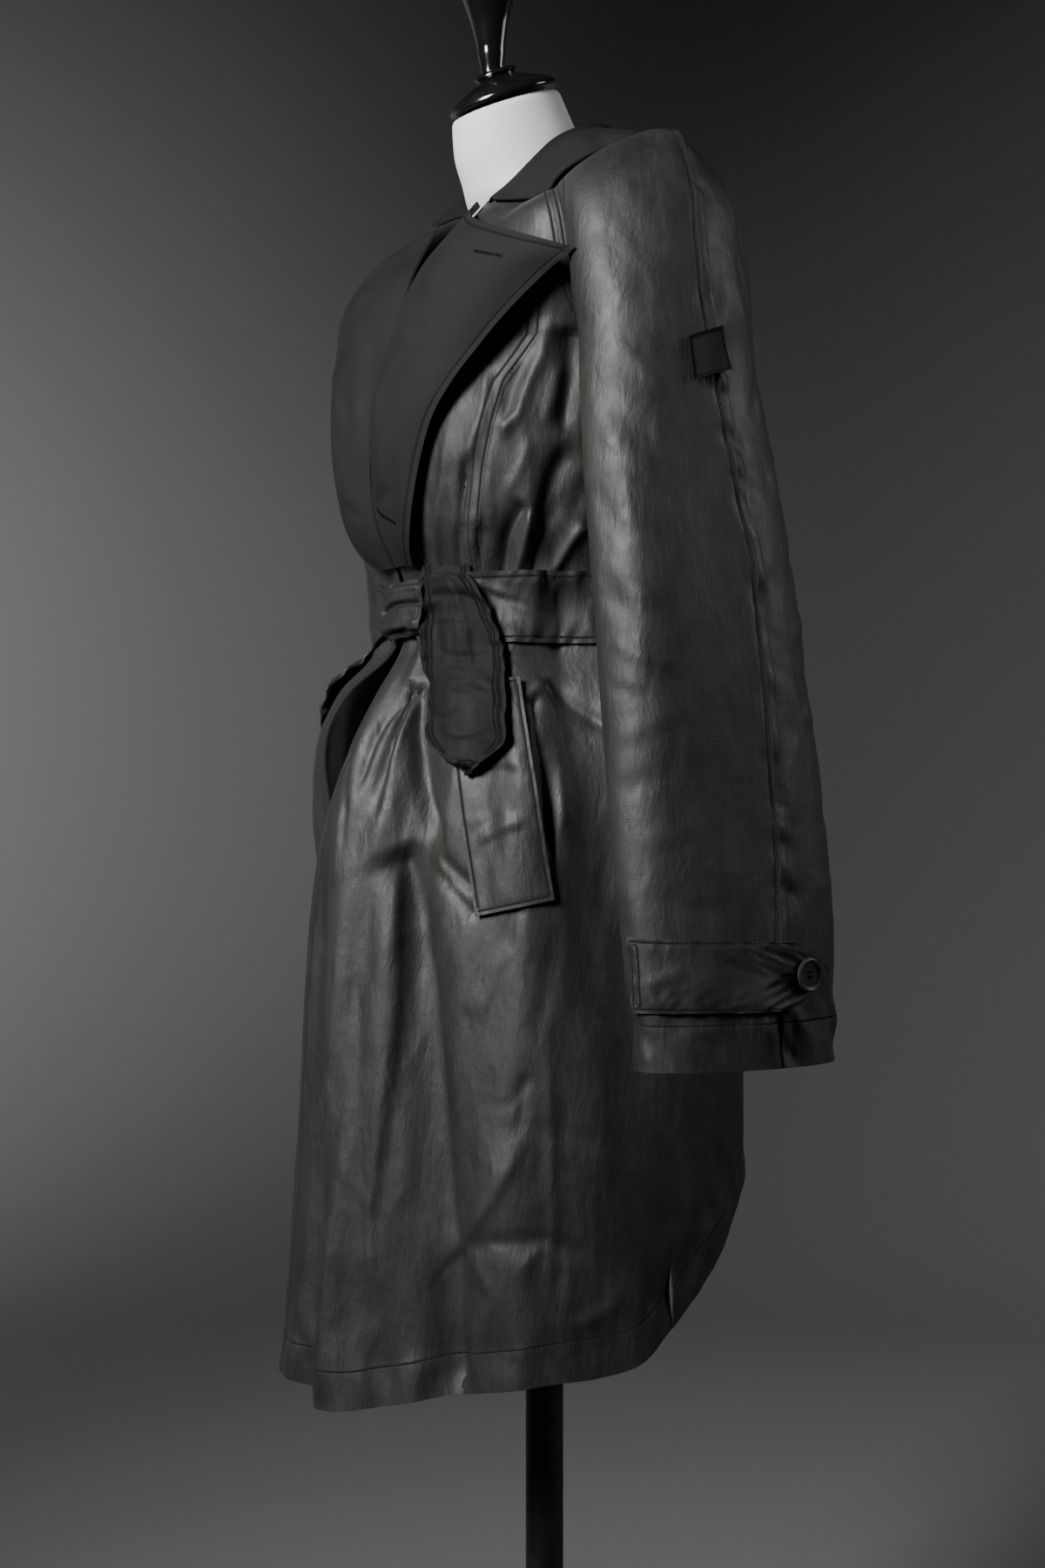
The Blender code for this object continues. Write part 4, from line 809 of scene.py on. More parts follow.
    def rim_distance(self, rim: Rim) -> tuple[np.ndarray, np.ndarray]:
        """The distance of each place from an edge, and the length along that edge."""
        if rim is Rim.FIRST:
            return self.across_length, self.up_length
        if rim is Rim.LAST:
            return self.across_length[:, -1:] - self.across_length, self.up_length
        if rim is Rim.LOW:
            return self.up_length, self.across_length
        return self.up_length[-1:, :] - self.up_length, self.across_length

    def side_distance(self) -> np.ndarray:
        """The distance of each place from the nearer of the first and the last column."""
        return np.minimum(self.rim_distance(Rim.FIRST)[0], self.rim_distance(Rim.LAST)[0])

    def sewn_edge(self, rim: Rim, inset: float, puckers: tuple, seed: int, groove: float,
                  width: float, where=1.0) -> None:
        """Sew along an edge: the stitches draw up ripples and press in a groove.

        Args:
            rim: the edge.
            inset: how far in the stitches run, in metres.
            puckers: the ripples' height in millimetres, and their spacing and reach in metres.
            seed: picks their unevenness.
            groove: the groove's depth in metres.
            width: its half width in metres.
            where: how much of the groove each place gets.
        """
        distance, along = self.rim_distance(rim)
        self.pucker(distance - inset, along, *puckers, seed)
        self.lift -= groove * hump((distance - inset) / width) * where

    def hem(self, rim: Rim, width: float, rise: float, depth: float, pitch: float, seed: int) -> None:
        """Turn up an edge: a doubled band with a stitched row that puckers.

        Args:
            rim: the edge.
            width: from the edge to the stitches, in metres.
            rise: the doubled band's height in millimetres.
            depth: the puckers' height in millimetres.
            pitch: the puckers' spacing in metres.
            seed: picks their unevenness.
        """
        distance, along = self.rim_distance(rim)
        self.lift += rise / 1000.0 * ease((width - distance) / 0.005 + 0.5)
        self.pucker(distance - width, along, depth, pitch, width * 0.75, seed)

    def settle(self) -> None:
        """Move the cloth by what was added, and work out its directions again."""
        self.points = self.points + self.normals * self.lift[..., None]
        self.lift = np.zeros_like(self.lift)
        self.normals = outwards(self.points)

    def tree(self) -> BVHTree:
        """The cloth's outer face, ready to be looked up."""
        quads = grid_quads(*self.a.shape)
        return BVHTree.FromPolygons(self.points.reshape(-1, 3).tolist(), quads.tolist())

    def place(self, a: float, b: float) -> tuple[np.ndarray, np.ndarray]:
        """The point of the cloth at a place, and its outward direction."""
        gap = ((self.a - a) * self.a_scale) ** 2 + ((self.b - b) * self.b_scale) ** 2
        row, column = np.unravel_index(np.argmin(gap), gap.shape)
        near_row = row + 1 if row + 1 < gap.shape[0] else row - 1
        near_column = column + 1 if column + 1 < gap.shape[1] else column - 1
        start = np.array([self.a[row, column], self.b[row, column]])
        edge_a = np.array([self.a[row, near_column], self.b[row, near_column]]) - start
        edge_b = np.array([self.a[near_row, column], self.b[near_row, column]]) - start
        try:
            s, t = np.clip(np.linalg.solve(np.stack([edge_a, edge_b], 1), [a, b] - start), -1, 1)
        except np.linalg.LinAlgError:
            s, t = 0.0, 0.0
        point = self.points[row, column]
        point = point + s * (self.points[row, near_column] - point) + t * (
            self.points[near_row, column] - point
        )
        return point, self.normals[row, column]

    def drawn(self, path: list, step: float = 0.004) -> tuple[np.ndarray, np.ndarray]:
        """A line drawn on the cloth through named places.

        Args:
            path: its places, as pairs of this cloth's two values.
            step: roughly how far apart the line's points are, in metres.

        Returns:
            The line's points and the outward directions there.
        """
        points, normals = [], []
        for number, (low, high) in enumerate(zip(path, path[1:])):
            ends = [self.place(*low)[0], self.place(*high)[0]]
            count = max(int(np.linalg.norm(ends[1] - ends[0]) / step), 1)
            for i in range(count + (number == len(path) - 2)):
                spot = self.place(mix(low[0], high[0], i / count), mix(low[1], high[1], i / count))
                points.append(spot[0])
                normals.append(spot[1])
        return np.array(points), np.array(normals)

    def inset(self, rim: Rim, distance: float, start: float = 0.0, end: float = 1.0):
        """A line on the cloth at a distance from one edge.

        Args:
            rim: the edge.
            distance: how far in, in metres.
            start: where along the edge it starts, as a part.
            end: where it ends.

        Returns:
            The line's points and the outward directions there.
        """
        if rim in (Rim.FIRST, Rim.LAST):
            points, normals, lengths = self.points, self.normals, self.across_length
        else:
            points, normals = self.points.swapaxes(0, 1), self.normals.swapaxes(0, 1)
            lengths = self.up_length.T
        count = len(points)
        rows = range(int(start * (count - 1)), int(end * (count - 1)) + 1)
        found = []
        for row in rows:
            reach = lengths[row]
            wanted = distance if rim in (Rim.FIRST, Rim.LOW) else reach[-1] - distance
            found.append([
                np.interp(wanted, reach, both[row, :, k])
                for both in (points, normals) for k in range(3)
            ])
        found = np.array(found)
        return found[:, :3], found[:, 3:]

    def make(self, name: str, wall: float, finish: bpy.types.Material) -> bpy.types.Object:
        """Close the cloth into a thin wall.

        Args:
            name: the piece's name.
            wall: its thickness in metres.
            finish: its material.

        Returns:
            The finished piece, with a UV map in metres.
        """
        rows, columns = self.a.shape
        count = rows * columns
        inner = self.points - self.normals * wall
        grid = np.arange(count).reshape(rows, columns)
        quads = grid_quads(rows, columns)
        rim = np.concatenate([grid[0], grid[1:, -1], grid[-1, -2::-1], grid[-2:0:-1, 0]])
        onward = np.roll(rim, -1)
        sides = np.stack([onward, rim, rim + count, onward + count], axis=-1)
        faces = np.concatenate([quads, quads[:, ::-1] + count, sides])
        mesh = bpy.data.meshes.new(name)
        vertices = np.concatenate([self.points.reshape(-1, 3), inner.reshape(-1, 3)])
        mesh.from_pydata(vertices.tolist(), [], faces.tolist())
        place = np.stack([self.across_length, self.up_length], axis=-1).reshape(-1, 2)
        place = np.concatenate([place, place])
        marks = mesh.attributes.new("marks", "FLOAT_VECTOR", "POINT")
        both = np.concatenate([self.marks.reshape(-1, 3), self.marks.reshape(-1, 3)])
        marks.data.foreach_set("vector", both.astype(np.float32).ravel())
        layer = mesh.uv_layers.new(name="cloth")
        corners = np.zeros(len(mesh.loops), np.int32)
        mesh.loops.foreach_get("vertex_index", corners)
        layer.data.foreach_set("uv", place[corners].astype(np.float32).ravel())
        return finished(mesh, name, finish)


def select_only(piece: bpy.types.Object) -> None:
    """Select one piece and make it the active one."""
    bpy.ops.object.select_all(action="DESELECT")
    piece.select_set(True)
    bpy.context.view_layer.objects.active = piece


def finished(mesh: bpy.types.Mesh, name: str, finish: bpy.types.Material) -> bpy.types.Object:
    """Put a mesh into the scene as a smooth-shaded piece."""
    made = bpy.data.objects.new(name, mesh)
    made.data.materials.append(finish)
    bpy.context.scene.collection.objects.link(made)
    select_only(made)
    bpy.ops.object.shade_smooth_by_angle(angle=math.radians(CLOTH_SMOOTH))
    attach(made, BODY_NAME)
    return made


def with_places(rows: list, a: list, b: list) -> np.ndarray:
    """A net from rows of points, with the two place values of each column and row.

    Args:
        rows: rows of points, from the bottom up.
        a: the first value, one for each column or one list for each row.
        b: the second value, one for each row or one list for each row.

    Returns:
        The net, rows by columns of x, y, z and the two values.
    """
    net = []
    for number, row in enumerate(rows):
        first = a[number] if isinstance(a[0], list) else a
        second = b[number] if isinstance(b[0], list) else [b[number]] * len(row)
        net.append([[*p, u, v] for p, u, v in zip(row, first, second)])
    return np.array(net)


@dataclass
class Thread:
    """Stitches: short lengths of thread that lie in the cloth along a line."""

    finish: bpy.types.Material
    pitch: float = 0.0036
    length: float = 0.0029
    width: float = 0.0010
    rise: float = 0.0002
    sunk: float = 0.0001
    points: list = field(default_factory=list)
    faces: list = field(default_factory=list)

    def row(self, line: tuple[np.ndarray, np.ndarray]) -> None:
        """Sew one row of stitches.

        Args:
            line: the row's points and the outward directions there.
        """
        points, normals = line
        steps = np.linalg.norm(np.diff(points, axis=0), axis=1)
        reach = np.concatenate([[0.0], np.cumsum(steps)])
        for number in range(int(reach[-1] / self.pitch)):
            start = (number + 0.5) * self.pitch - self.length / 2.0
            ends = [np.array([np.interp(s, reach, points[:, k]) for k in range(3)])
                    for s in (start, start + self.length)]
            up = np.array([np.interp(start, reach, normals[:, k]) for k in range(3)])
            up /= max(np.linalg.norm(up), 1e-9)
            along = ends[1] - ends[0]
            aside = np.cross(up, along)
            aside *= self.width / 2.0 / max(np.linalg.norm(aside), 1e-9)
            middle = (ends[0] + ends[1]) / 2.0
            first = len(self.points)
            self.points += [
                ends[0] - up * self.sunk, ends[1] - up * self.sunk,
                middle - aside, middle + up * self.rise, middle + aside, middle - up * self.rise,
            ]
            for i, j in ((2, 3), (3, 4), (4, 5), (5, 2)):
                self.faces += [
                    (first, first + j, first + i), (first + 1, first + i, first + j)
                ]

    def along(self, cloth: Cloth, rim: Rim, distance: float, start: float = 0.0,
              end: float = 1.0) -> None:
        """Sew a row beside an edge.

        Args:
            cloth: the cloth.
            rim: its edge.
            distance: how far in, in metres.
            start: where along the edge it starts, as a part.
            end: where it ends.
        """
        rows, columns = cloth.a.shape
        if rim in (Rim.FIRST, Rim.LAST):
            part = np.linspace(0.0, 1.0, rows)[:, None]
        else:
            part = np.linspace(0.0, 1.0, columns)[None, :]
        cloth.mark(cloth.rim_distance(rim)[0] - distance, (part >= start) & (part <= end))
        self.row(cloth.inset(rim, distance, start, end))

    def over(self, cloth: Cloth, path: list) -> None:
        """Sew a row along a path on a cloth."""
        cloth.mark(cloth.path_distance(path)[0])
        self.row(cloth.drawn(path))

    def make(self, name: str, slot: str) -> bpy.types.Object:
        """Join all the rows into one piece."""
        mesh = bpy.data.meshes.new(name)
        mesh.from_pydata([tuple(p) for p in self.points], [], self.faces)
        made = finished(mesh, name, self.finish)
        return made


# Seams: places on the fronts and the back are angles and heights, on the sleeves turns and lengths
PRINCESS_SEAM = [(56.0, 1.310), (57.4, 1.290), (56.8, 1.268), (47.7, 1.236), (44.4, 1.205),
                 (41.7, 1.1745), (38.8, 1.124), (38.5, 1.100), (38.0, 1.050)]
CENTRE_BACK_SEAM = [(180.0, 1.430), (180.0, 1.200), (180.0, 1.0765), (180.0, 0.680)]
OVERARM_SEAM = [(0.0, 0.000), (0.0, 0.232), (4.5, 0.275), (8.6, 0.335), (14.7, 0.424),
                (14.7, 0.512), (12.2, 0.600), (8.3, 0.674), (11.5, 0.758)]
SEAM_COLUMN = 9

# The two rows of stitches beside a side seam or an armhole, and how far beside a drawn seam's
# line its row runs, in the cloth's own first value
SIDE_STITCHES = (0.0022, 0.0085)
BESIDE_OVERARM = 1.0
BESIDE_CENTRE_BACK = 3.0
BESIDE_PRINCESS = 2.7

# The right front's turned-out stretch, painted in the dull facing colour and darkened there as
# painted shade: up to what angle, and from what height to what height
SHADED_FACING_ANGLE = 15.0
SHADED_FACING_LOW = 0.845
SHADED_FACING_TOP = 1.045

LEFT_CREASES = [
    Crease(8.0, 0.860, 10.5, 0.600, -1.1, 14.0, 0.02),
    Crease(20.5, 0.800, 24.5, 0.560, 1.0, 16.0, -0.02),
    Crease(55.0, 0.842, 46.0, 0.780, 1.1, 9.0, -0.06),
    Crease(64.0, 0.860, 58.0, 0.770, -1.2, 10.0, 0.05),
    Crease(70.0, 0.900, 78.0, 0.730, 1.3, 14.0, 0.03),
    Crease(82.0, 0.950, 72.0, 0.820, -1.2, 12.0, -0.04),
    Crease(58.0, 0.720, 76.0, 0.700, -1.0, 11.0, -0.05),
    Crease(40.0, 0.640, 52.0, 0.585, 0.8, 9.0, 0.05),
    Crease(12.0, 0.690, 24.0, 0.640, 0.7, 10.0, -0.05),
    Crease(60.0, 1.246, 51.0, 1.190, -1.1, 8.0, 0.04),
    Crease(52.0, 1.140, 47.0, 1.100, -1.1, 7.0, 0.03),
    Crease(68.0, 1.160, 58.0, 1.112, -1.2, 8.0, 0.03),
    Crease(80.0, 1.200, 66.0, 1.130, -1.4, 12.0, 0.04),
    Crease(84.0, 1.180, 76.0, 1.105, 1.3, 10.0, -0.04),
    Crease(34.0, 1.150, 31.0, 1.100, 1.2, 7.0, 0.02),
    Crease(28.0, 1.140, 25.0, 1.100, -1.1, 7.0, 0.02),
    Crease(44.0, 1.180, 40.5, 1.105, 1.0, 9.0, 0.02),
    Crease(33.0, 1.255, 30.0, 1.180, -0.9, 13.0, 0.02),
]

RIGHT_CREASES = [
    Crease(24.0, 1.050, 33.0, 0.800, 2.1, 12.0, 0.03),
    Crease(31.0, 1.050, 40.0, 0.700, -2.1, 13.0, -0.03),
    Crease(15.0, 1.045, 20.0, 0.840, -1.7, 10.0, 0.02),
    Crease(44.0, 1.052, 55.0, 0.880, 2.0, 12.0, 0.04),
    Crease(58.0, 1.050, 70.0, 0.860, -1.8, 12.0, 0.03),
    Crease(66.0, 1.048, 82.0, 0.720, 1.7, 15.0, -0.03),
    Crease(47.0, 0.850, 38.0, 0.800, 1.4, 9.0, 0.08),
    Crease(60.0, 0.860, 52.0, 0.770, -1.4, 10.0, -0.05),
    Crease(52.0, 0.680, 68.0, 0.630, 1.3, 11.0, 0.08),
    Crease(30.0, 0.640, 44.0, 0.600, -1.0, 10.0, 0.05),
    Crease(62.0, 1.255, 52.0, 1.200, 1.4, 9.0, 0.05),
    Crease(57.0, 1.145, 51.0, 1.101, 1.7, 8.0, 0.04),
    Crease(50.0, 1.150, 45.0, 1.100, -1.3, 7.0, 0.03),
    Crease(72.0, 1.150, 63.0, 1.103, 1.7, 9.0, -0.04),
    Crease(80.0, 1.210, 66.0, 1.130, -1.5, 12.0, 0.04),
    Crease(34.0, 1.150, 31.0, 1.100, 1.3, 7.0, 0.02),
    Crease(27.0, 1.145, 24.0, 1.100, -1.3, 7.0, 0.02),
]

BACK_CREASES = [
    Crease(112.0, 1.050, 118.0, 0.800, 2.1, 12.0, 0.03),
    Crease(124.0, 1.052, 130.0, 0.850, -2.0, 11.0, -0.03),
    Crease(137.0, 1.048, 141.0, 0.780, 1.8, 13.0, 0.02),
    Crease(150.0, 1.052, 152.0, 0.880, -1.7, 10.0, 0.03),
    Crease(168.0, 1.050, 170.0, 0.820, 1.8, 12.0, -0.02),
    Crease(193.0, 1.050, 192.0, 0.860, -1.8, 11.0, 0.02),
    Crease(205.0, 1.052, 209.0, 0.780, 2.0, 13.0, 0.03),
    Crease(222.0, 1.048, 227.0, 0.880, -1.7, 10.0, -0.03),
    Crease(240.0, 1.050, 248.0, 0.800, 1.8, 12.0, 0.02),
    Crease(256.0, 1.048, 262.0, 0.860, -1.5, 11.0, 0.02),
    Crease(98.0, 1.180, 110.0, 1.102, 1.7, 11.0, 0.04),
    Crease(122.0, 1.190, 126.0, 1.100, -1.5, 10.0, 0.03),
    Crease(146.0, 1.170, 143.0, 1.102, 1.5, 9.0, -0.03),
    Crease(163.0, 1.190, 166.0, 1.100, -1.4, 9.0, 0.02),
    Crease(196.0, 1.190, 194.0, 1.102, 1.5, 9.0, 0.03),
    Crease(215.0, 1.180, 218.0, 1.100, -1.5, 10.0, -0.03),
    Crease(238.0, 1.190, 234.0, 1.102, 1.7, 10.0, 0.03),
    Crease(262.0, 1.190, 250.0, 1.104, -1.5, 11.0, 0.04),
    Crease(110.0, 1.270, 138.0, 1.220, -1.3, 14.0, 0.08),
    Crease(250.0, 1.270, 222.0, 1.225, -1.3, 14.0, -0.08),
    Crease(120.0, 0.690, 146.0, 0.720, 1.3, 12.0, 0.06),
    Crease(240.0, 0.680, 216.0, 0.720, 1.3, 12.0, -0.06),
]

SLEEVE_CREASES = [
    Crease(-70.0, 0.262, -20.0, 0.300, 1.1, 10.0, 0.05),
    Crease(-78.0, 0.290, -30.0, 0.345, -1.0, 11.0, 0.06),
    Crease(-74.0, 0.330, -34.0, 0.372, 0.9, 9.0, -0.05),
    Crease(-86.0, 0.360, -44.0, 0.420, -1.1, 11.0, 0.05),
    Crease(-82.0, 0.420, -30.0, 0.450, 1.2, 10.0, 0.08),
    Crease(-90.0, 0.440, -36.0, 0.480, -1.2, 10.0, -0.06),
    Crease(-80.0, 0.470, -24.0, 0.492, 1.1, 9.0, 0.08),
    Crease(-88.0, 0.505, -40.0, 0.512, -1.0, 9.0, 0.05),
    Crease(-76.0, 0.545, -28.0, 0.522, 0.9, 10.0, -0.06),
    Crease(-84.0, 0.575, -36.0, 0.560, -0.9, 11.0, 0.05),
    Crease(-70.0, 0.610, -18.0, 0.590, 0.8, 12.0, 0.05),
    Crease(-60.0, 0.640, -14.0, 0.655, -0.8, 12.0, 0.06),
    Crease(-50.0, 0.735, -20.0, 0.728, 0.6, 8.0, 0.05),
    Crease(70.0, 0.270, 28.0, 0.330, -1.1, 12.0, 0.05),
    Crease(84.0, 0.330, 40.0, 0.380, 1.1, 12.0, 0.06),
    Crease(92.0, 0.400, 44.0, 0.440, -1.2, 11.0, 0.05),
    Crease(86.0, 0.450, 34.0, 0.470, 1.2, 10.0, -0.06),
    Crease(98.0, 0.480, 50.0, 0.505, -1.1, 11.0, 0.05),
    Crease(84.0, 0.520, 38.0, 0.530, 0.9, 11.0, 0.05),
    Crease(90.0, 0.580, 44.0, 0.600, -0.9, 12.0, -0.05),
    Crease(76.0, 0.640, 36.0, 0.640, 0.8, 13.0, 0.05),
    Crease(140.0, 0.300, 172.0, 0.340, 1.0, 11.0, 0.05),
    Crease(-150.0, 0.320, -118.0, 0.370, -1.0, 11.0, 0.05),
    Crease(120.0, 0.440, 168.0, 0.470, 1.1, 11.0, 0.05),
    Crease(-165.0, 0.480, -120.0, 0.500, 1.1, 11.0, -0.05),
    Crease(130.0, 0.540, 170.0, 0.560, -0.9, 12.0, 0.05),
    Crease(-60.0, 0.180, -30.0, 0.250, -0.8, 13.0, 0.05),
    Crease(-40.0, 0.130, -16.0, 0.215, 0.7, 14.0, 0.05),
    Crease(60.0, 0.150, 40.0, 0.240, -0.8, 14.0, 0.05),
    Crease(-6.0, 0.400, -20.0, 0.560, -0.7, 14.0, 0.04),
    Crease(2.0, 0.560, -12.0, 0.700, 0.6, 16.0, 0.04),
]

LAPEL_CREASES = [
    Crease(0.30, 1.200, 0.75, 1.290, 1.4, 12.0, 0.05),
    Crease(0.12, 1.330, 0.55, 1.300, -1.6, 14.0, 0.05),
    Crease(0.10, 1.150, 0.26, 1.320, -2.4, 15.0, 0.06),
    Crease(0.30, 1.130, 0.48, 1.300, 1.8, 17.0, -0.04),
    Crease(0.78, 1.140, 0.62, 1.260, -1.5, 13.0, 0.05),
    Crease(0.20, 1.150, 0.70, 1.175, -1.2, 9.0, 0.05),
]
COLLAR_CREASES = [
    Crease(0.10, 0.6, 0.22, 2.6, -1.2, 12.0, 0.05),
    Crease(0.30, 0.8, 0.42, 1.4, 1.0, 12.0, 0.05),
    Crease(0.66, 0.8, 0.56, 1.6, 1.0, 12.0, 0.05),
    Crease(0.88, 0.6, 0.80, 2.4, -1.2, 12.0, 0.05),
]
POCKET_CREASES = [
    Crease(0.1, 0.30, 0.9, 0.36, 1.4, 8.0, 0.05),
    Crease(0.2, 0.62, 0.95, 0.55, -1.2, 8.0, 0.05),
    Crease(0.1, 0.86, 0.6, 0.95, 1.2, 6.0, 0.05),
]
BAND_CREASES = [
    Crease(20.0, 0.86, 66.0, 0.30, -2.0, 5.0, 0.05),
    Crease(30.0, 0.92, 52.0, 0.62, 1.4, 5.0, 0.05),
    Crease(70.0, 0.60, 104.0, 0.52, -1.2, 6.0, 0.05),
    Crease(120.0, 0.40, 168.0, 0.62, -1.2, 6.0, -0.04),
    Crease(190.0, 0.60, 232.0, 0.40, 1.2, 7.0, 0.04),
    Crease(250.0, 0.46, 300.0, 0.60, -1.4, 6.0, 0.04),
    Crease(320.0, 0.70, 346.0, 0.40, -1.6, 5.0, 0.05),
]
NEAR_END_CREASES = [
    Crease(0.60, 0.94, 0.56, 0.28, 1.5, 5.0, 0.04),
    Crease(0.10, 0.93, 0.90, 0.86, 1.6, 5.0, 0.05),
    Crease(0.05, 0.72, 0.95, 0.68, -1.9, 5.0, 0.08),
    Crease(0.05, 0.62, 0.85, 0.59, 1.5, 4.5, 0.08),
    Crease(0.12, 0.52, 0.95, 0.49, -1.8, 5.0, -0.08),
    Crease(0.10, 0.42, 0.62, 0.40, 1.2, 4.5, 0.08),
    Crease(0.30, 0.34, 0.92, 0.30, -1.9, 4.5, 0.08),
    Crease(0.10, 0.25, 0.60, 0.27, -1.3, 4.5, -0.15),
    Crease(0.25, 0.18, 0.85, 0.21, 1.4, 4.5, -0.15),
]
FAR_END_CREASES = [
    Crease(0.50, 0.90, 0.50, 0.20, 1.4, 7.0, 0.04),
    Crease(0.10, 0.60, 0.90, 0.50, -1.4, 7.0, 0.05),
]
KNOT_CREASES = [
    Crease(0.02, 0.50, 0.98, 0.58, -3.4, 3.6, 0.05, 0.1, 0.1),
    Crease(0.02, 0.74, 0.98, 0.80, 1.8, 4.5, 0.04, 0.1, 0.1),
    Crease(0.02, 0.30, 0.98, 0.34, 1.8, 4.5, -0.04, 0.1, 0.1),
    Crease(0.10, 0.12, 0.80, 0.20, -1.4, 3.0, 0.04, 0.2, 0.2),
]

# The belt's loose pieces: the steps each is drawn in, how worn it is and whether it is dull
Strap = namedtuple("Strap", "name rows columns seed depth creases dull held")
BELT_END_NEAR = Strap("belt_end_near", 96, 44, 124, 2.8, NEAR_END_CREASES, True, "hung")
BELT_END_FAR = Strap("belt_end_far", 96, 44, 123, 2.8, FAR_END_CREASES, False, "hung")
BELT_KNOT = Strap("belt_knot", 48, 60, 120, 1.0, KNOT_CREASES, False, "gathered")

TAB_CREASES = [
    Crease(-70.0, -0.3, -40.0, 0.2, 0.9, 8.0, 0.05),
    Crease(-24.0, 0.4, 4.0, -0.1, -0.7, 9.0, 0.05),
]
LAPEL_BUTTONHOLES = {
    Side.LEFT: ([(0.62, 1.352), (0.78, 1.350)], [(0.26, 1.156), (0.76, 1.150)]),
    Side.RIGHT: (),
}

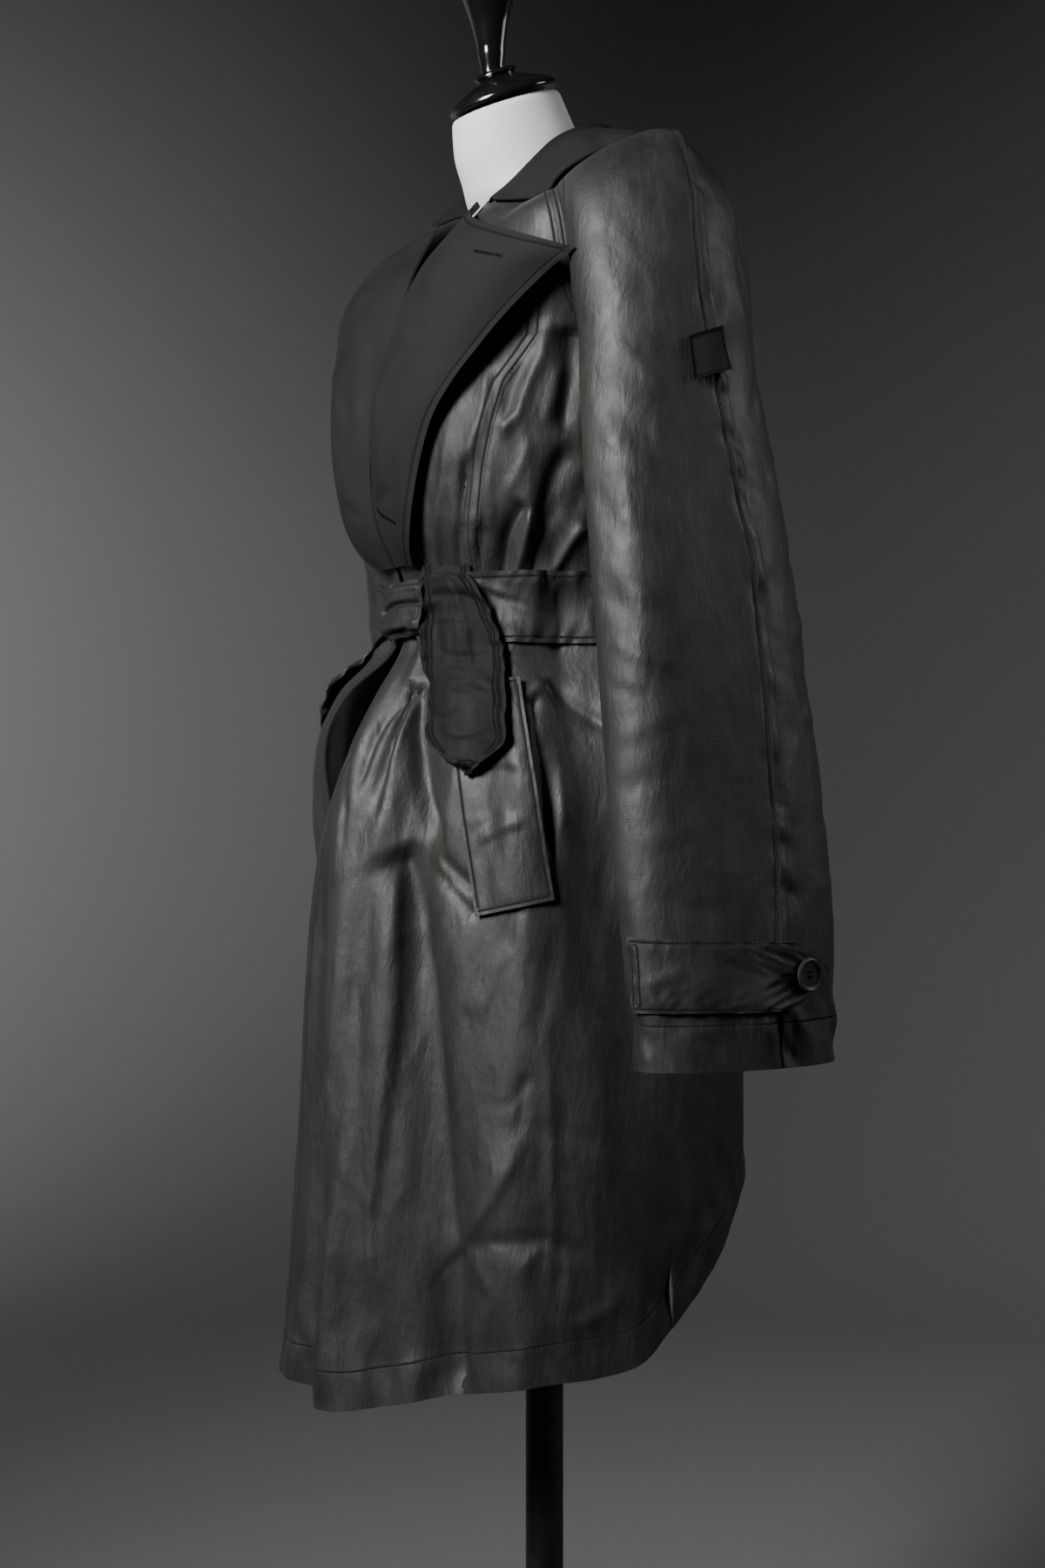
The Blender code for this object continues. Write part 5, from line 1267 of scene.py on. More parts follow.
# Pleats. The left front's places are points picked by hand on the photograph that a scratch
# program turned into angles and heights; the other rows are set by hand
LEFT_PLEATS = [
    Pleat([(16.9, 1.026), (17.2, 1.007), (17.8, 0.978), (16.7, 0.949), (17.0, 0.917)],
          -7.0, 8.0, 4.5, 0.04, 0.4),
    Pleat([(15.8, 1.026), (12.5, 0.997), (11.9, 0.97), (11.0, 0.941)], -3.6, 5.0, 4.0, 0.04, 0.2),
    Pleat([(3.6, 0.981), (5.3, 0.959), (9.1, 0.93), (9.0, 0.882)], -2.6, 4.5, 4.0, 0.1, 0.4),
    Pleat([(19.0, 1.023), (22.1, 1.007), (26.3, 0.97), (30.0, 0.936), (35.7, 0.902)],
          -7.0, 9.0, 7.0, 0.04, 0.3),
    Pleat([(20.2, 1.021), (20.0, 0.994), (19.2, 0.962), (18.9, 0.936)], 3.0, 5.0, 5.0, 0.1, 0.5),
    Pleat([(24.0, 0.91), (26.7, 0.889), (28.9, 0.858), (31.8, 0.815), (35.6, 0.733),
           (38.5, 0.671), (40.3, 0.629), (40.9, 0.566), (41.7, 0.541)],
          -9.5, 24.0, 8.0, 0.04, 0.02),
    Pleat([(22.7, 0.903), (23.7, 0.867), (23.7, 0.825), (23.7, 0.785),
           (22.4, 0.723), (20.2, 0.645), (21.9, 0.593), (22.9, 0.572)],
          4.5, 22.0, 6.0, 0.12, 0.15),
    Pleat([(30.8, 0.892), (36.0, 0.884), (40.6, 0.872), (44.7, 0.86)], -3.5, 5.0, 4.5, 0.2, 0.1),
    Pleat([(34.2, 0.901), (38.3, 0.891), (43.2, 0.879)], -4.0, 5.0, 5.0, 0.2, 0.15),
    Pleat([(37.2, 0.881), (39.9, 0.875), (44.1, 0.864)], 2.0, 4.5, 4.5, 0.2, 0.2),
    Pleat([(58.8, 1.014), (61.7, 0.961), (63.2, 0.915), (63.7, 0.885)], -5.5, 7.0, 5.0, 0.05, 0.25),
    Pleat([(59.0, 1.024), (63.4, 1.0), (65.0, 0.958), (65.3, 0.931), (64.4, 0.903)],
          3.5, 5.0, 7.0, 0.05, 0.3),
    Pleat([(61.1, 1.024), (68.5, 1.007), (76.3, 0.993)], -4.0, 8.0, 6.0, 0.08, 0.3),
    Pleat([(55.4, 0.868), (53.4, 0.851), (51.9, 0.833)], -2.0, 6.0, 6.0, 0.1, 0.4),
    Pleat([(56.8, 0.709), (54.3, 0.684), (50.9, 0.662), (41.7, 0.627)], 3.4, 22.0, 5.5, 0.3, 0.1),
    Pleat([(40.8, 0.625), (52.4, 0.634), (61.7, 0.637), (68.6, 0.628)], -2.4, 10.0, 7.0, 0.08, 0.3),
    Pleat([(60.8, 0.8), (62.1, 0.769), (62.7, 0.717), (63.6, 0.655), (61.4, 0.585)],
          1.9, 5.0, 5.0, 0.3, 0.2),
    Pleat([(33.7, 0.76), (37.3, 0.751), (41.6, 0.756), (43.5, 0.771), (43.8, 0.788)],
          -2.0, 5.0, 5.0, 0.15, 0.4),
    Pleat([(44.0, 0.733), (47.9, 0.726), (54.2, 0.729), (57.4, 0.744)], -1.6, 5.0, 5.0, 0.2, 0.4),
    Pleat([(57.4, 0.755), (56.8, 0.726), (54.9, 0.701)], -1.8, 7.0, 6.0, 0.3, 0.3),
    Pleat([(12.8, 0.833), (15.7, 0.782), (17.3, 0.735)], -1.2, 5.0, 5.0, 0.3, 0.3),
    Pleat([(64.8, 0.632), (66.7, 0.614), (66.1, 0.587)], 1.8, 6.0, 5.0, 0.3, 0.2),
    Pleat([(61.1, 0.635), (56.9, 0.616)], 1.6, 5.0, 5.0, 0.3, 0.3),
    Pleat([(76.4, 0.612), (76.3, 0.589), (69.8, 0.578)], 1.8, 8.0, 6.0, 0.3, 0.2),
    Pleat([(46.5, 1.252), (46.1, 1.233), (44.6, 1.211), (41.8, 1.191), (39.8, 1.18)],
          3.6, 7.0, 6.0, 0.25, 0.3),
    Pleat([(36.0, 1.222), (33.7, 1.189), (31.3, 1.163), (22.7, 1.106)], 3.0, 6.0, 7.0, 0.3, 0.04),
    Pleat([(40.5, 1.188), (38.9, 1.165), (35.9, 1.135), (30.6, 1.1)], -5.0, 4.5, 4.5, 0.12, 0.03),
    Pleat([(43.5, 1.137), (41.3, 1.119), (39.7, 1.1)], -3.0, 5.0, 5.0, 0.2, 0.03),
    Pleat([(55.8, 1.15), (52.6, 1.138), (49.9, 1.123), (47.3, 1.098)], -7.0, 7.0, 6.0, 0.1, 0.03),
    Pleat([(57.8, 1.146), (57.0, 1.133), (55.1, 1.118), (52.2, 1.099)], 3.6, 4.5, 5.0, 0.15, 0.04),
    Pleat([(68.8, 1.194), (64.8, 1.171), (61.5, 1.136), (57.9, 1.099)], -6.0, 9.0, 12.0, 0.15, 0.03),
    Pleat([(73.5, 1.136), (69.1, 1.123), (62.9, 1.099)], 4.2, 5.0, 5.0, 0.1, 0.03),
    Pleat([(62.9, 1.28), (60.7, 1.253), (57.5, 1.231), (54.6, 1.211), (51.3, 1.203)],
          4.6, 6.0, 7.0, 0.15, 0.12),
    Pleat([(57.2, 1.25), (53.6, 1.232), (51.3, 1.213)], -3.0, 7.0, 6.0, 0.3, 0.25),
    Pleat([(68.0, 1.272), (68.2, 1.241), (66.1, 1.206)], -5.0, 8.0, 9.0, 0.1, 0.25),
    Pleat([(65.3, 1.25), (63.8, 1.225), (61.8, 1.209)], 2.2, 6.0, 6.0, 0.25, 0.3),
    Pleat([(57.2, 1.199), (56.0, 1.179), (51.6, 1.158)], 1.6, 5.0, 6.0, 0.3, 0.3),
    Pleat([(48.0, 1.201), (46.1, 1.164), (45.6, 1.134)], 1.2, 5.0, 6.0, 0.3, 0.3),
]
RIGHT_PLEATS = [
    Pleat([(30.0, 1.045), (34.0, 0.900), (38.0, 0.740), (42.0, 0.520)], -6.0, 8.0, 18.0,
          0.15, 0.02),
    Pleat([(22.0, 1.052), (17.0, 0.970), (15.0, 0.880)], -3.2, 5.0, 6.0),
    Pleat([(26.0, 1.052), (23.0, 0.960), (22.0, 0.860)], 3.0, 5.0, 5.0),
    Pleat([(38.0, 1.052), (44.0, 0.980), (47.0, 0.900)], -4.0, 6.0, 8.0),
    Pleat([(52.0, 1.052), (60.0, 0.990), (64.0, 0.900)], 4.0, 5.0, 6.0),
    Pleat([(62.0, 1.052), (70.0, 0.980), (73.0, 0.900)], -3.5, 5.0, 8.0),
    Pleat([(40.0, 1.100), (41.0, 1.150), (43.0, 1.190)], -3.0, 5.0, 4.0),
    Pleat([(50.0, 1.100), (54.0, 1.150), (60.0, 1.200)], 3.5, 5.0, 5.0),
    Pleat([(58.0, 1.100), (63.0, 1.145), (70.0, 1.190)], -4.0, 6.0, 5.0),
]
BACK_PLEATS = [
    Pleat([(118.0, 1.052), (121.0, 0.960), (123.0, 0.840)], -4.0, 5.0, 8.0),
    Pleat([(146.0, 1.052), (147.0, 0.980), (149.0, 0.860)], -4.0, 5.0, 7.0),
    Pleat([(172.0, 1.052), (172.5, 0.970), (173.0, 0.850)], -3.5, 6.0, 5.0),
    Pleat([(212.0, 1.052), (214.0, 0.960), (216.0, 0.840)], -4.0, 7.0, 5.0),
    Pleat([(244.0, 1.052), (247.0, 0.970), (252.0, 0.860)], -3.5, 5.0, 8.0),
    Pleat([(132.0, 1.100), (131.0, 1.150), (128.0, 1.210)], -3.5, 5.0, 7.0),
    Pleat([(156.0, 1.100), (157.0, 1.150), (156.0, 1.200)], -3.5, 6.0, 5.0),
    Pleat([(203.0, 1.100), (204.0, 1.150), (207.0, 1.200)], -3.5, 5.0, 6.0),
    Pleat([(228.0, 1.100), (230.0, 1.150), (234.0, 1.210)], -3.5, 7.0, 5.0),
]


# The body's panels: the steps each is drawn in, its unevenness, its creases and its pleats
Panel = namedtuple("Panel", "rows columns seed creases pleats")
PANELS = {
    "front_left": Panel(310, 152, 61, LEFT_CREASES, LEFT_PLEATS),
    "front_right": Panel(240, 92, 62, RIGHT_CREASES, RIGHT_PLEATS),
    "back": Panel(230, 124, 63, BACK_CREASES, BACK_PLEATS),
}


class BodyPattern:
    """The coat's body: where its fronts and its back lie, as coarse nets."""

    def outline_radius(self, angle: float, height: float) -> float:
        """Distance from the axis to the coat's outline without folds."""
        turn = math.radians(angle)
        ahead = "front" if math.cos(turn) > 0 else "back"
        across = abs(math.sin(turn)) / curve(BODY, "side", height)
        along = abs(math.cos(turn)) / curve(BODY, ahead, height)
        return (across**BODY_ROUNDNESS + along**BODY_ROUNDNESS) ** (-1.0 / BODY_ROUNDNESS)

    def fold_depth(self, folds: list, angle: float, height: float) -> float:
        """How far the large folds lift the cloth at one place."""
        depth = 0.0
        for fold in folds:
            part = (fold.top - height) / (fold.top - fold.low)
            if part < -0.25:
                continue
            fade = float(ease(1.0 + 4.0 * min(part, 0.0)))
            part = min(max(part, 0.0), 1.0)
            centre = mix(fold.angle_top, fold.angle_low, part)
            stands = mix(fold.depth_top, fold.depth_low, part)
            depth += fade * stands * float(hump((angle - centre) / fold.width))
        return depth

    def hem_height(self, angle: float) -> float:
        """Height of the hem at an angle."""
        return curve(HEM, "height", (angle + 180.0) % 360.0 - 180.0)

    def edge_point(self, edge: list, height: float) -> Vector:
        """The point of a front's free edge at a height."""
        return Vector((curve(edge, "x", height), curve(edge, "y", height), height))

    def side_point(self, height: float, side: float) -> Vector:
        """The point of a side seam at a height."""
        part = (height - HEM_HEIGHT) / (UNDERARM_HEIGHT - HEM_HEIGHT)
        angle = mix(SIDE_SEAM_HEM, SIDE_SEAM_TOP, part)
        return polar(angle * side, height, self.outline_radius(angle, height))

    def row(self, start: Vector, end: Vector, steps: list, folds: list, side: float = 1.0) -> list:
        """A row of cloth from one point to another round the body.

        Args:
            start: its first point.
            end: its last point.
            steps: where its points lie, from 0 to 1.
            folds: the large folds it follows.
            side: 1 for the wearer's left, -1 for the right.

        Returns:
            The row's points.
        """
        first, last = angle_of(start) * side, angle_of(end) * side
        last += 360.0 if last < first else 0.0

        def on_outline(part: float) -> tuple[float, float, float]:
            """Angle, height and radius a part of the way along."""
            angle = mix(first, last, part)
            height = mix(start.z, end.z, part)
            radius = self.outline_radius(angle, height) + self.fold_depth(folds, angle, height)
            return angle, height, radius

        start_error = radius_of(start) - on_outline(0.0)[2]
        end_error = radius_of(end) - on_outline(1.0)[2]
        row = []
        for part in steps:
            angle, height, radius = on_outline(part)
            radius += start_error * (1.0 - float(ease(part * START_BLEND)))
            radius += end_error * float(ease(1.0 - (1.0 - part) * END_BLEND))
            row.append(polar(angle * side, height, radius))
        return row

    def spanned(self, row: list, bulge: float, rise: float, share: float) -> list:
        """A row drawn towards the plain arc between its ends, with a bulge and a rise."""
        start, end = row[0], row[-1]
        middle = start.lerp(end, 0.5)
        away = Vector((middle.x, middle.y, 0.0)).normalized()
        made = []
        for number, point in enumerate(row):
            part = number / (len(row) - 1)
            arch = math.sin(math.pi * part)
            plain = start.lerp(end, part) + away * bulge * arch + Vector((0, 0, rise * arch))
            made.append(point.lerp(plain, share))
        return made

    def front(self, side: Side, sleeve: list) -> np.ndarray:
        """The net of one front, from its free edge to its side.

        Args:
            side: which front.
            sleeve: that side's sleeve rows, whose first column it is sewn to.

        Returns:
            The net; its places are the angle from straight ahead and the height.
        """
        sign = side.value
        edge = LEFT_EDGE if side is Side.LEFT else RIGHT_EDGE
        folds = LEFT_FOLDS if side is Side.LEFT else RIGHT_FOLDS
        steps = [(i / FRONT_COLUMNS) ** FRONT_CROWDING for i in range(FRONT_COLUMNS + 1)]
        rows = []
        for part in SKIRT_ROWS:
            low = self.hem_height(angle_of(self.edge_point(edge, HEM_HEIGHT)))
            start = self.edge_point(edge, mix(low, WAIST_LOW, part))
            end = self.side_point(mix(self.hem_height(SIDE_SEAM_HEM), WAIST_LOW, part), sign)
            row = self.row(start, end, steps, folds, sign)
            for point in row:
                point.z = mix(self.hem_height(angle_of(point)), WAIST_LOW, part)
            rows.append(row)
        for height in BODICE_ROWS:
            start, end = self.edge_point(edge, height), self.side_point(height, sign)
            rows.append(self.row(start, end, steps, folds, sign))
        top = len(RAGLAN_ROWS) - 1
        for number, sleeve_row in enumerate(sleeve[-len(RAGLAN_ROWS):]):
            height = mix(UNDERARM_HEIGHT, edge[-1].height, number / top)
            row = self.row(self.edge_point(edge, height), sleeve_row[0], steps, folds, sign)
            share = float(ease(2.0 * number / top - 1.0))
            rows.append(self.spanned(row, FRONT_NECK_BULGE, 0.0, share))
        angles = [[angle_of(p) * sign for p in row] for row in rows]
        return with_places(rows, angles, [[p.z for p in row] for row in rows])

    def back(self, left: list, right: list) -> np.ndarray:
        """The net of the back, from the left side to the right; its places are as the fronts'."""
        steps = parts_of(BACK_COLUMNS)
        rows = []
        for part in SKIRT_ROWS:
            height = mix(self.hem_height(SIDE_SEAM_HEM), WAIST_LOW, part)
            ends = self.side_point(height, 1.0), self.side_point(height, -1.0)
            row = self.row(*ends, steps, BACK_FOLDS)
            for point in row:
                point.z = mix(self.hem_height(angle_of(point)), WAIST_LOW, part)
            rows.append(row)
        for height in BODICE_ROWS:
            ends = self.side_point(height, 1.0), self.side_point(height, -1.0)
            rows.append(self.row(*ends, steps, BACK_FOLDS))
        count = len(RAGLAN_ROWS)
        for number, (one, other) in enumerate(zip(left[-count:], right[-count:])):
            row = self.row(one[-1], other[-1], steps, BACK_FOLDS)
            share = float(ease(2.0 * number / (count - 1) - 1.0))
            rows.append(self.spanned(row, BACK_NECK_BULGE, BACK_NECK_RISE, share))
        angles = [[angle_of(p) % 360.0 for p in row] for row in rows]
        return with_places(rows, angles, [[p.z for p in row] for row in rows])


class SleevePattern:
    """The raglan sleeves, as coarse nets."""

    def point(self, along: float, turn: float, side: Side) -> Vector:
        """A point of a sleeve.

        Args:
            along: how far from the neck, in metres.
            turn: how far round the arm, in degrees.
            side: which sleeve.

        Returns:
            The point.
        """
        swing = 0.0 if side is Side.LEFT else 1.0
        radians = math.radians(turn)
        tilt = math.radians(curve(SLEEVE, "tilt", along))
        width = curve(SLEEVE, "half_width", along)
        depth = curve(SLEEVE, "half_depth", along)
        lift = 0.0
        for fold in SLEEVE_FOLDS:
            if fold.top < along < fold.low:
                part = (along - fold.top) / (fold.low - fold.top)
                centre = mix(fold.turn_top, fold.turn_low, part)
                shape = math.sin(math.pi * part) * float(hump((turn - centre) / fold.width))
                lift += fold.depth * shape
        width += lift
        depth += lift
        inwards = Vector((-math.cos(tilt), 0.0, -math.sin(tilt)))
        spine = Vector([curve(SLEEVE, axis, along) for axis in "xyz"])
        rounded = 1.0 - math.cos(radians)
        pitched = math.hypot(math.sin(radians), ROOF_ROUNDING) - ROOF_ROUNDING
        roof = curve(SLEEVE, "roof", along) * (1.0 if turn > 0.0 else ROOF_FRONT_SHARE)
        drop = depth * mix(rounded, pitched, roof)
        across = width * math.sin(radians) + swing * curve(RIGHT_SWING, "back", along)
        sweep = curve(SLEEVE, "sweep", along) * rounded
        point = spine + inwards * (drop - lift) + Vector((-sweep, across, 0.0))
        point.x *= side.value
        return point

    def rows(self, side: Side) -> tuple[list, list, list]:
        """The rows of a sleeve from the cuff up to the neck, with their turns and lengths."""
        cuff = SLEEVE[-1].along
        places = [mix(cuff, UNDERARM, i / SLEEVE_TUBE_ROWS) for i in range(SLEEVE_TUBE_ROWS)]
        places += RAGLAN_ROWS
        rows, turns = [], []
        for along in places:
            front = curve(SLEEVE, "front_reach", along)
            back = curve(SLEEVE, "back_reach", along)
            seam = float(np.interp(along, *np.array(OVERARM_SEAM).T[::-1]))
            turn = [mix(-front, seam, i / SEAM_COLUMN) for i in range(SEAM_COLUMN)]
            behind = SLEEVE_COLUMNS - SEAM_COLUMN
            turn += [mix(seam, back, i / behind) for i in range(behind + 1)]
            rows.append([self.point(along, t, side) for t in turn])
            turns.append(turn)
        return rows, turns, places


class Laying:
    """Laying one cloth on others, and pushing it clear of them."""

    @staticmethod
    def laid(trees: list, start: Vector, towards: Vector, lift: float, spread: float) -> Vector:
        """A point moved out from the highest cloth near the place that a line to it meets.

        Args:
            trees: the cloths underneath.
            start: where the line starts, outside them.
            towards: its direction.
            lift: how far off the cloth the point lies.
            spread: how far around the line to look.

        Returns:
            The point.
        """
        aside = towards.cross(Vector((0.0, 0.0, 1.0))).normalized()
        above = aside.cross(towards)
        nearest = None
        for across in (-1, 0, 1):
            for up in (-1, 0, 1):
                origin = start + (aside * across + above * up) * spread
                for tree in trees:
                    distance = tree.ray_cast(origin, towards, LOOK_DEPTH)[3]
                    if distance is not None and (nearest is None or distance < nearest):
                        nearest = distance
        return start + towards * (nearest - lift)

    @staticmethod
    def clear(cloth: Cloth, trees: list, reach: float, where: np.ndarray | None = None) -> None:
        """Move a cloth's points out where they lie closer than the reach to another's face.

        Args:
            cloth: the cloth to move.
            trees: the cloths that it stays clear of.
            reach: the clearance in metres.
            where: which of its points may move.
        """
        points = cloth.points.reshape(-1, 3)
        allowed = np.ones(len(points), bool) if where is None else where.ravel()
        for number in np.flatnonzero(allowed):
            point = Vector(points[number])
            for _ in range(CLEAR_PASSES):
                for tree in trees:
                    place, normal, _, distance = tree.find_nearest(point)
                    height = (point - place).dot(normal)
                    if height < reach and CLEAR_FACING * distance < abs(height) < CLEAR_LIMIT:
                        point = point + normal * (reach - height)
            points[number] = point
        cloth.points = points.reshape(cloth.points.shape)
        cloth.normals = outwards(cloth.points)

    @staticmethod
    def strap(table: list, trees: list, rows: int, side: Side, wall: float) -> list:
        """Rows of a strap laid on the cloth, from its low edge to its high one.

        Args:
            table: its edges and how far it lies off the cloth.
            trees: the cloths underneath.
            rows: how many steps it is drawn in.
            side: the side of the body.
            wall: the strap's thickness.

        Returns:
            The rows of points.
        """
        found = []
        for number in range(rows + 1):
            place = (len(table) - 1) * number / rows
            low = min(int(place), len(table) - 2)
            here = StrapRow(*[mix(a, b, place - low) for a, b in zip(table[low], table[low + 1])])
            row = []
            for column in range(STRAP_COLUMNS + 1):
                part = column / STRAP_COLUMNS
                angle = mix(here.left, here.right, part) * side.value
                height = mix(here.left_height, here.right_height, part)
                start = polar(angle, height, LOOK_RADIUS)
                towards = Vector((-start.x, -start.y, 0.0)).normalized()
                lift = LAID_GAP + wall + here.lift
                row.append(Laying.laid(trees, start, towards, lift, STRAP_SPREAD))
            found.append(row)
        return found


class Shading:
    """A material's nodes, added one by one."""

    def __init__(self, name: str, colour: tuple, roughness: float,
                 specular: float = 0.5) -> None:
        """Start from a Principled material of one colour and roughness."""
        self.material = bpy.data.materials.new(name)
        self.material.use_nodes = True
        self.tree = self.material.node_tree
        self.shader = self.tree.nodes["Principled BSDF"]
        self.shader.inputs["Base Color"].default_value = (*colour, 1.0)
        self.shader.inputs["Roughness"].default_value = roughness
        self.shader.inputs["Specular IOR Level"].default_value = specular

    def node(self, kind: str, settings: dict | None = None, **inputs) -> bpy.types.Node:
        """Add a node.

        Args:
            kind: Blender's name of the node.
            settings: its own properties.
            inputs: its sockets, each a value or another node's socket. A socket is named,
                with _ for a space, or is n and its number.

        Returns:
            The node.
        """
        made = self.tree.nodes.new(kind)
        for key, value in (settings or {}).items():
            setattr(made, key, value)
        for key, value in inputs.items():
            socket = made.inputs[int(key[1:])] if key[0] == "n" and key[1:].isdigit() else (
                made.inputs[key.replace("_", " ")]
            )
            if isinstance(value, bpy.types.NodeSocket):
                self.tree.links.new(value, socket)
            else:
                socket.default_value = value
        return made

    def place(self, kind: str = "Object") -> bpy.types.NodeSocket:
        """The coordinates a pattern is drawn on."""
        return self.node("ShaderNodeTexCoord").outputs[kind]

    def noise(self, at: bpy.types.NodeSocket, scale: float, detail: float = 4.0,
              roughness: float = 0.55) -> bpy.types.Node:
        """A noise pattern at a scale."""
        return self.node("ShaderNodeTexNoise", None, Vector=at, Scale=scale, Detail=detail,
                         Roughness=roughness)

    def stretched(self, at: bpy.types.NodeSocket, scale: tuple) -> bpy.types.NodeSocket:
        """Coordinates drawn out by a scale for each direction."""
        return self.node("ShaderNodeMapping", None, Vector=at, Scale=scale).outputs["Vector"]

    def ranged(self, value: bpy.types.NodeSocket, low: float, high: float, to_low: float,
               to_high: float) -> bpy.types.NodeSocket:
        """A value moved from one range into another, held at its ends."""
        made = self.node("ShaderNodeMapRange", {"clamp": True}, Value=value, From_Min=low,
                         From_Max=high, To_Min=to_low, To_Max=to_high)
        return made.outputs["Result"]

    def warped(self, at: bpy.types.NodeSocket, scale: float, reach: float) -> bpy.types.NodeSocket:
        """Coordinates that stray by a noise."""
        cloud = self.noise(at, scale, 3.0).outputs["Color"]
        centred = self.node("ShaderNodeVectorMath", {"operation": "SUBTRACT"}, n0=cloud,
                            n1=(0.5, 0.5, 0.5)).outputs["Vector"]
        made = self.node("ShaderNodeVectorMath", {"operation": "MULTIPLY_ADD"}, n0=centred,
                         n1=(reach, reach, reach), n2=at)
        return made.outputs["Vector"]

    def wrinkles(self, at: bpy.types.NodeSocket, scale: float, width: float,
                 detail: float = 3.0) -> bpy.types.NodeSocket:
        """Thin irregular wrinkles, 1 on each one's crest and 0 beyond its width."""
        cloud = self.noise(at, scale, detail, 0.5).outputs["Fac"]
        away = self.node("ShaderNodeMath", {"operation": "SUBTRACT"}, n0=cloud, n1=0.5)
        return self.line(away.outputs[0], 0.0, width)

    def blended(self, factor: bpy.types.NodeSocket, first, second) -> bpy.types.NodeSocket:
        """Two colours mixed by a factor."""
        made = self.node("ShaderNodeMix", {"data_type": "RGBA"})
        self.tree.links.new(factor, made.inputs["Factor"])
        for socket, value in ((made.inputs[6], first), (made.inputs[7], second)):
            if isinstance(value, bpy.types.NodeSocket):
                self.tree.links.new(value, socket)
            else:
                socket.default_value = (*value, 1.0)
        return made.outputs[2]

    def summed(self, first: bpy.types.NodeSocket, second: bpy.types.NodeSocket,
               share: float) -> bpy.types.NodeSocket:
        """The first value and a share of the second."""
        made = self.node("ShaderNodeMath", {"operation": "MULTIPLY_ADD"}, n0=second, n1=share,
                         n2=first)
        return made.outputs[0]

    def marks(self) -> tuple:
        """The cloth's own marks: from its seam, from its nearest stitches, and how much of the dull
        facing colour with painted shade it gets.
        """
        made = self.node("ShaderNodeSeparateXYZ", None, Vector=self.node(
            "ShaderNodeAttribute", {"attribute_name": "marks"}).outputs["Vector"])
        return made.outputs["X"], made.outputs["Y"], made.outputs["Z"]

    def line(self, distance: bpy.types.NodeSocket, near: float, far: float):
        """A line where a distance is nothing, 1 on it and 0 beyond its far width."""
        away = self.node("ShaderNodeMath", {"operation": "ABSOLUTE"}, n0=distance).outputs[0]
        return self.ranged(away, near, far, 1.0, 0.0)

    def scaled(self, value: bpy.types.NodeSocket, share: float) -> bpy.types.NodeSocket:
        """A share of a value."""
        return self.node("ShaderNodeMath", {"operation": "MULTIPLY"}, n0=value,
                         n1=share).outputs[0]

    def bump(self, height: bpy.types.NodeSocket, strength: float, distance: float,
             under: bpy.types.NodeSocket | None = None) -> bpy.types.NodeSocket:
        """A relief, on top of another if given."""
        made = self.node("ShaderNodeBump", None, Strength=strength, Distance=distance,
                         Height=height)
        if under is not None:
            self.tree.links.new(under, made.inputs["Normal"])
        return made.outputs["Normal"]

    def feed(self, socket: str, value: bpy.types.NodeSocket) -> None:
        """Lead a pattern into the shader."""
        self.tree.links.new(value, self.shader.inputs[socket])


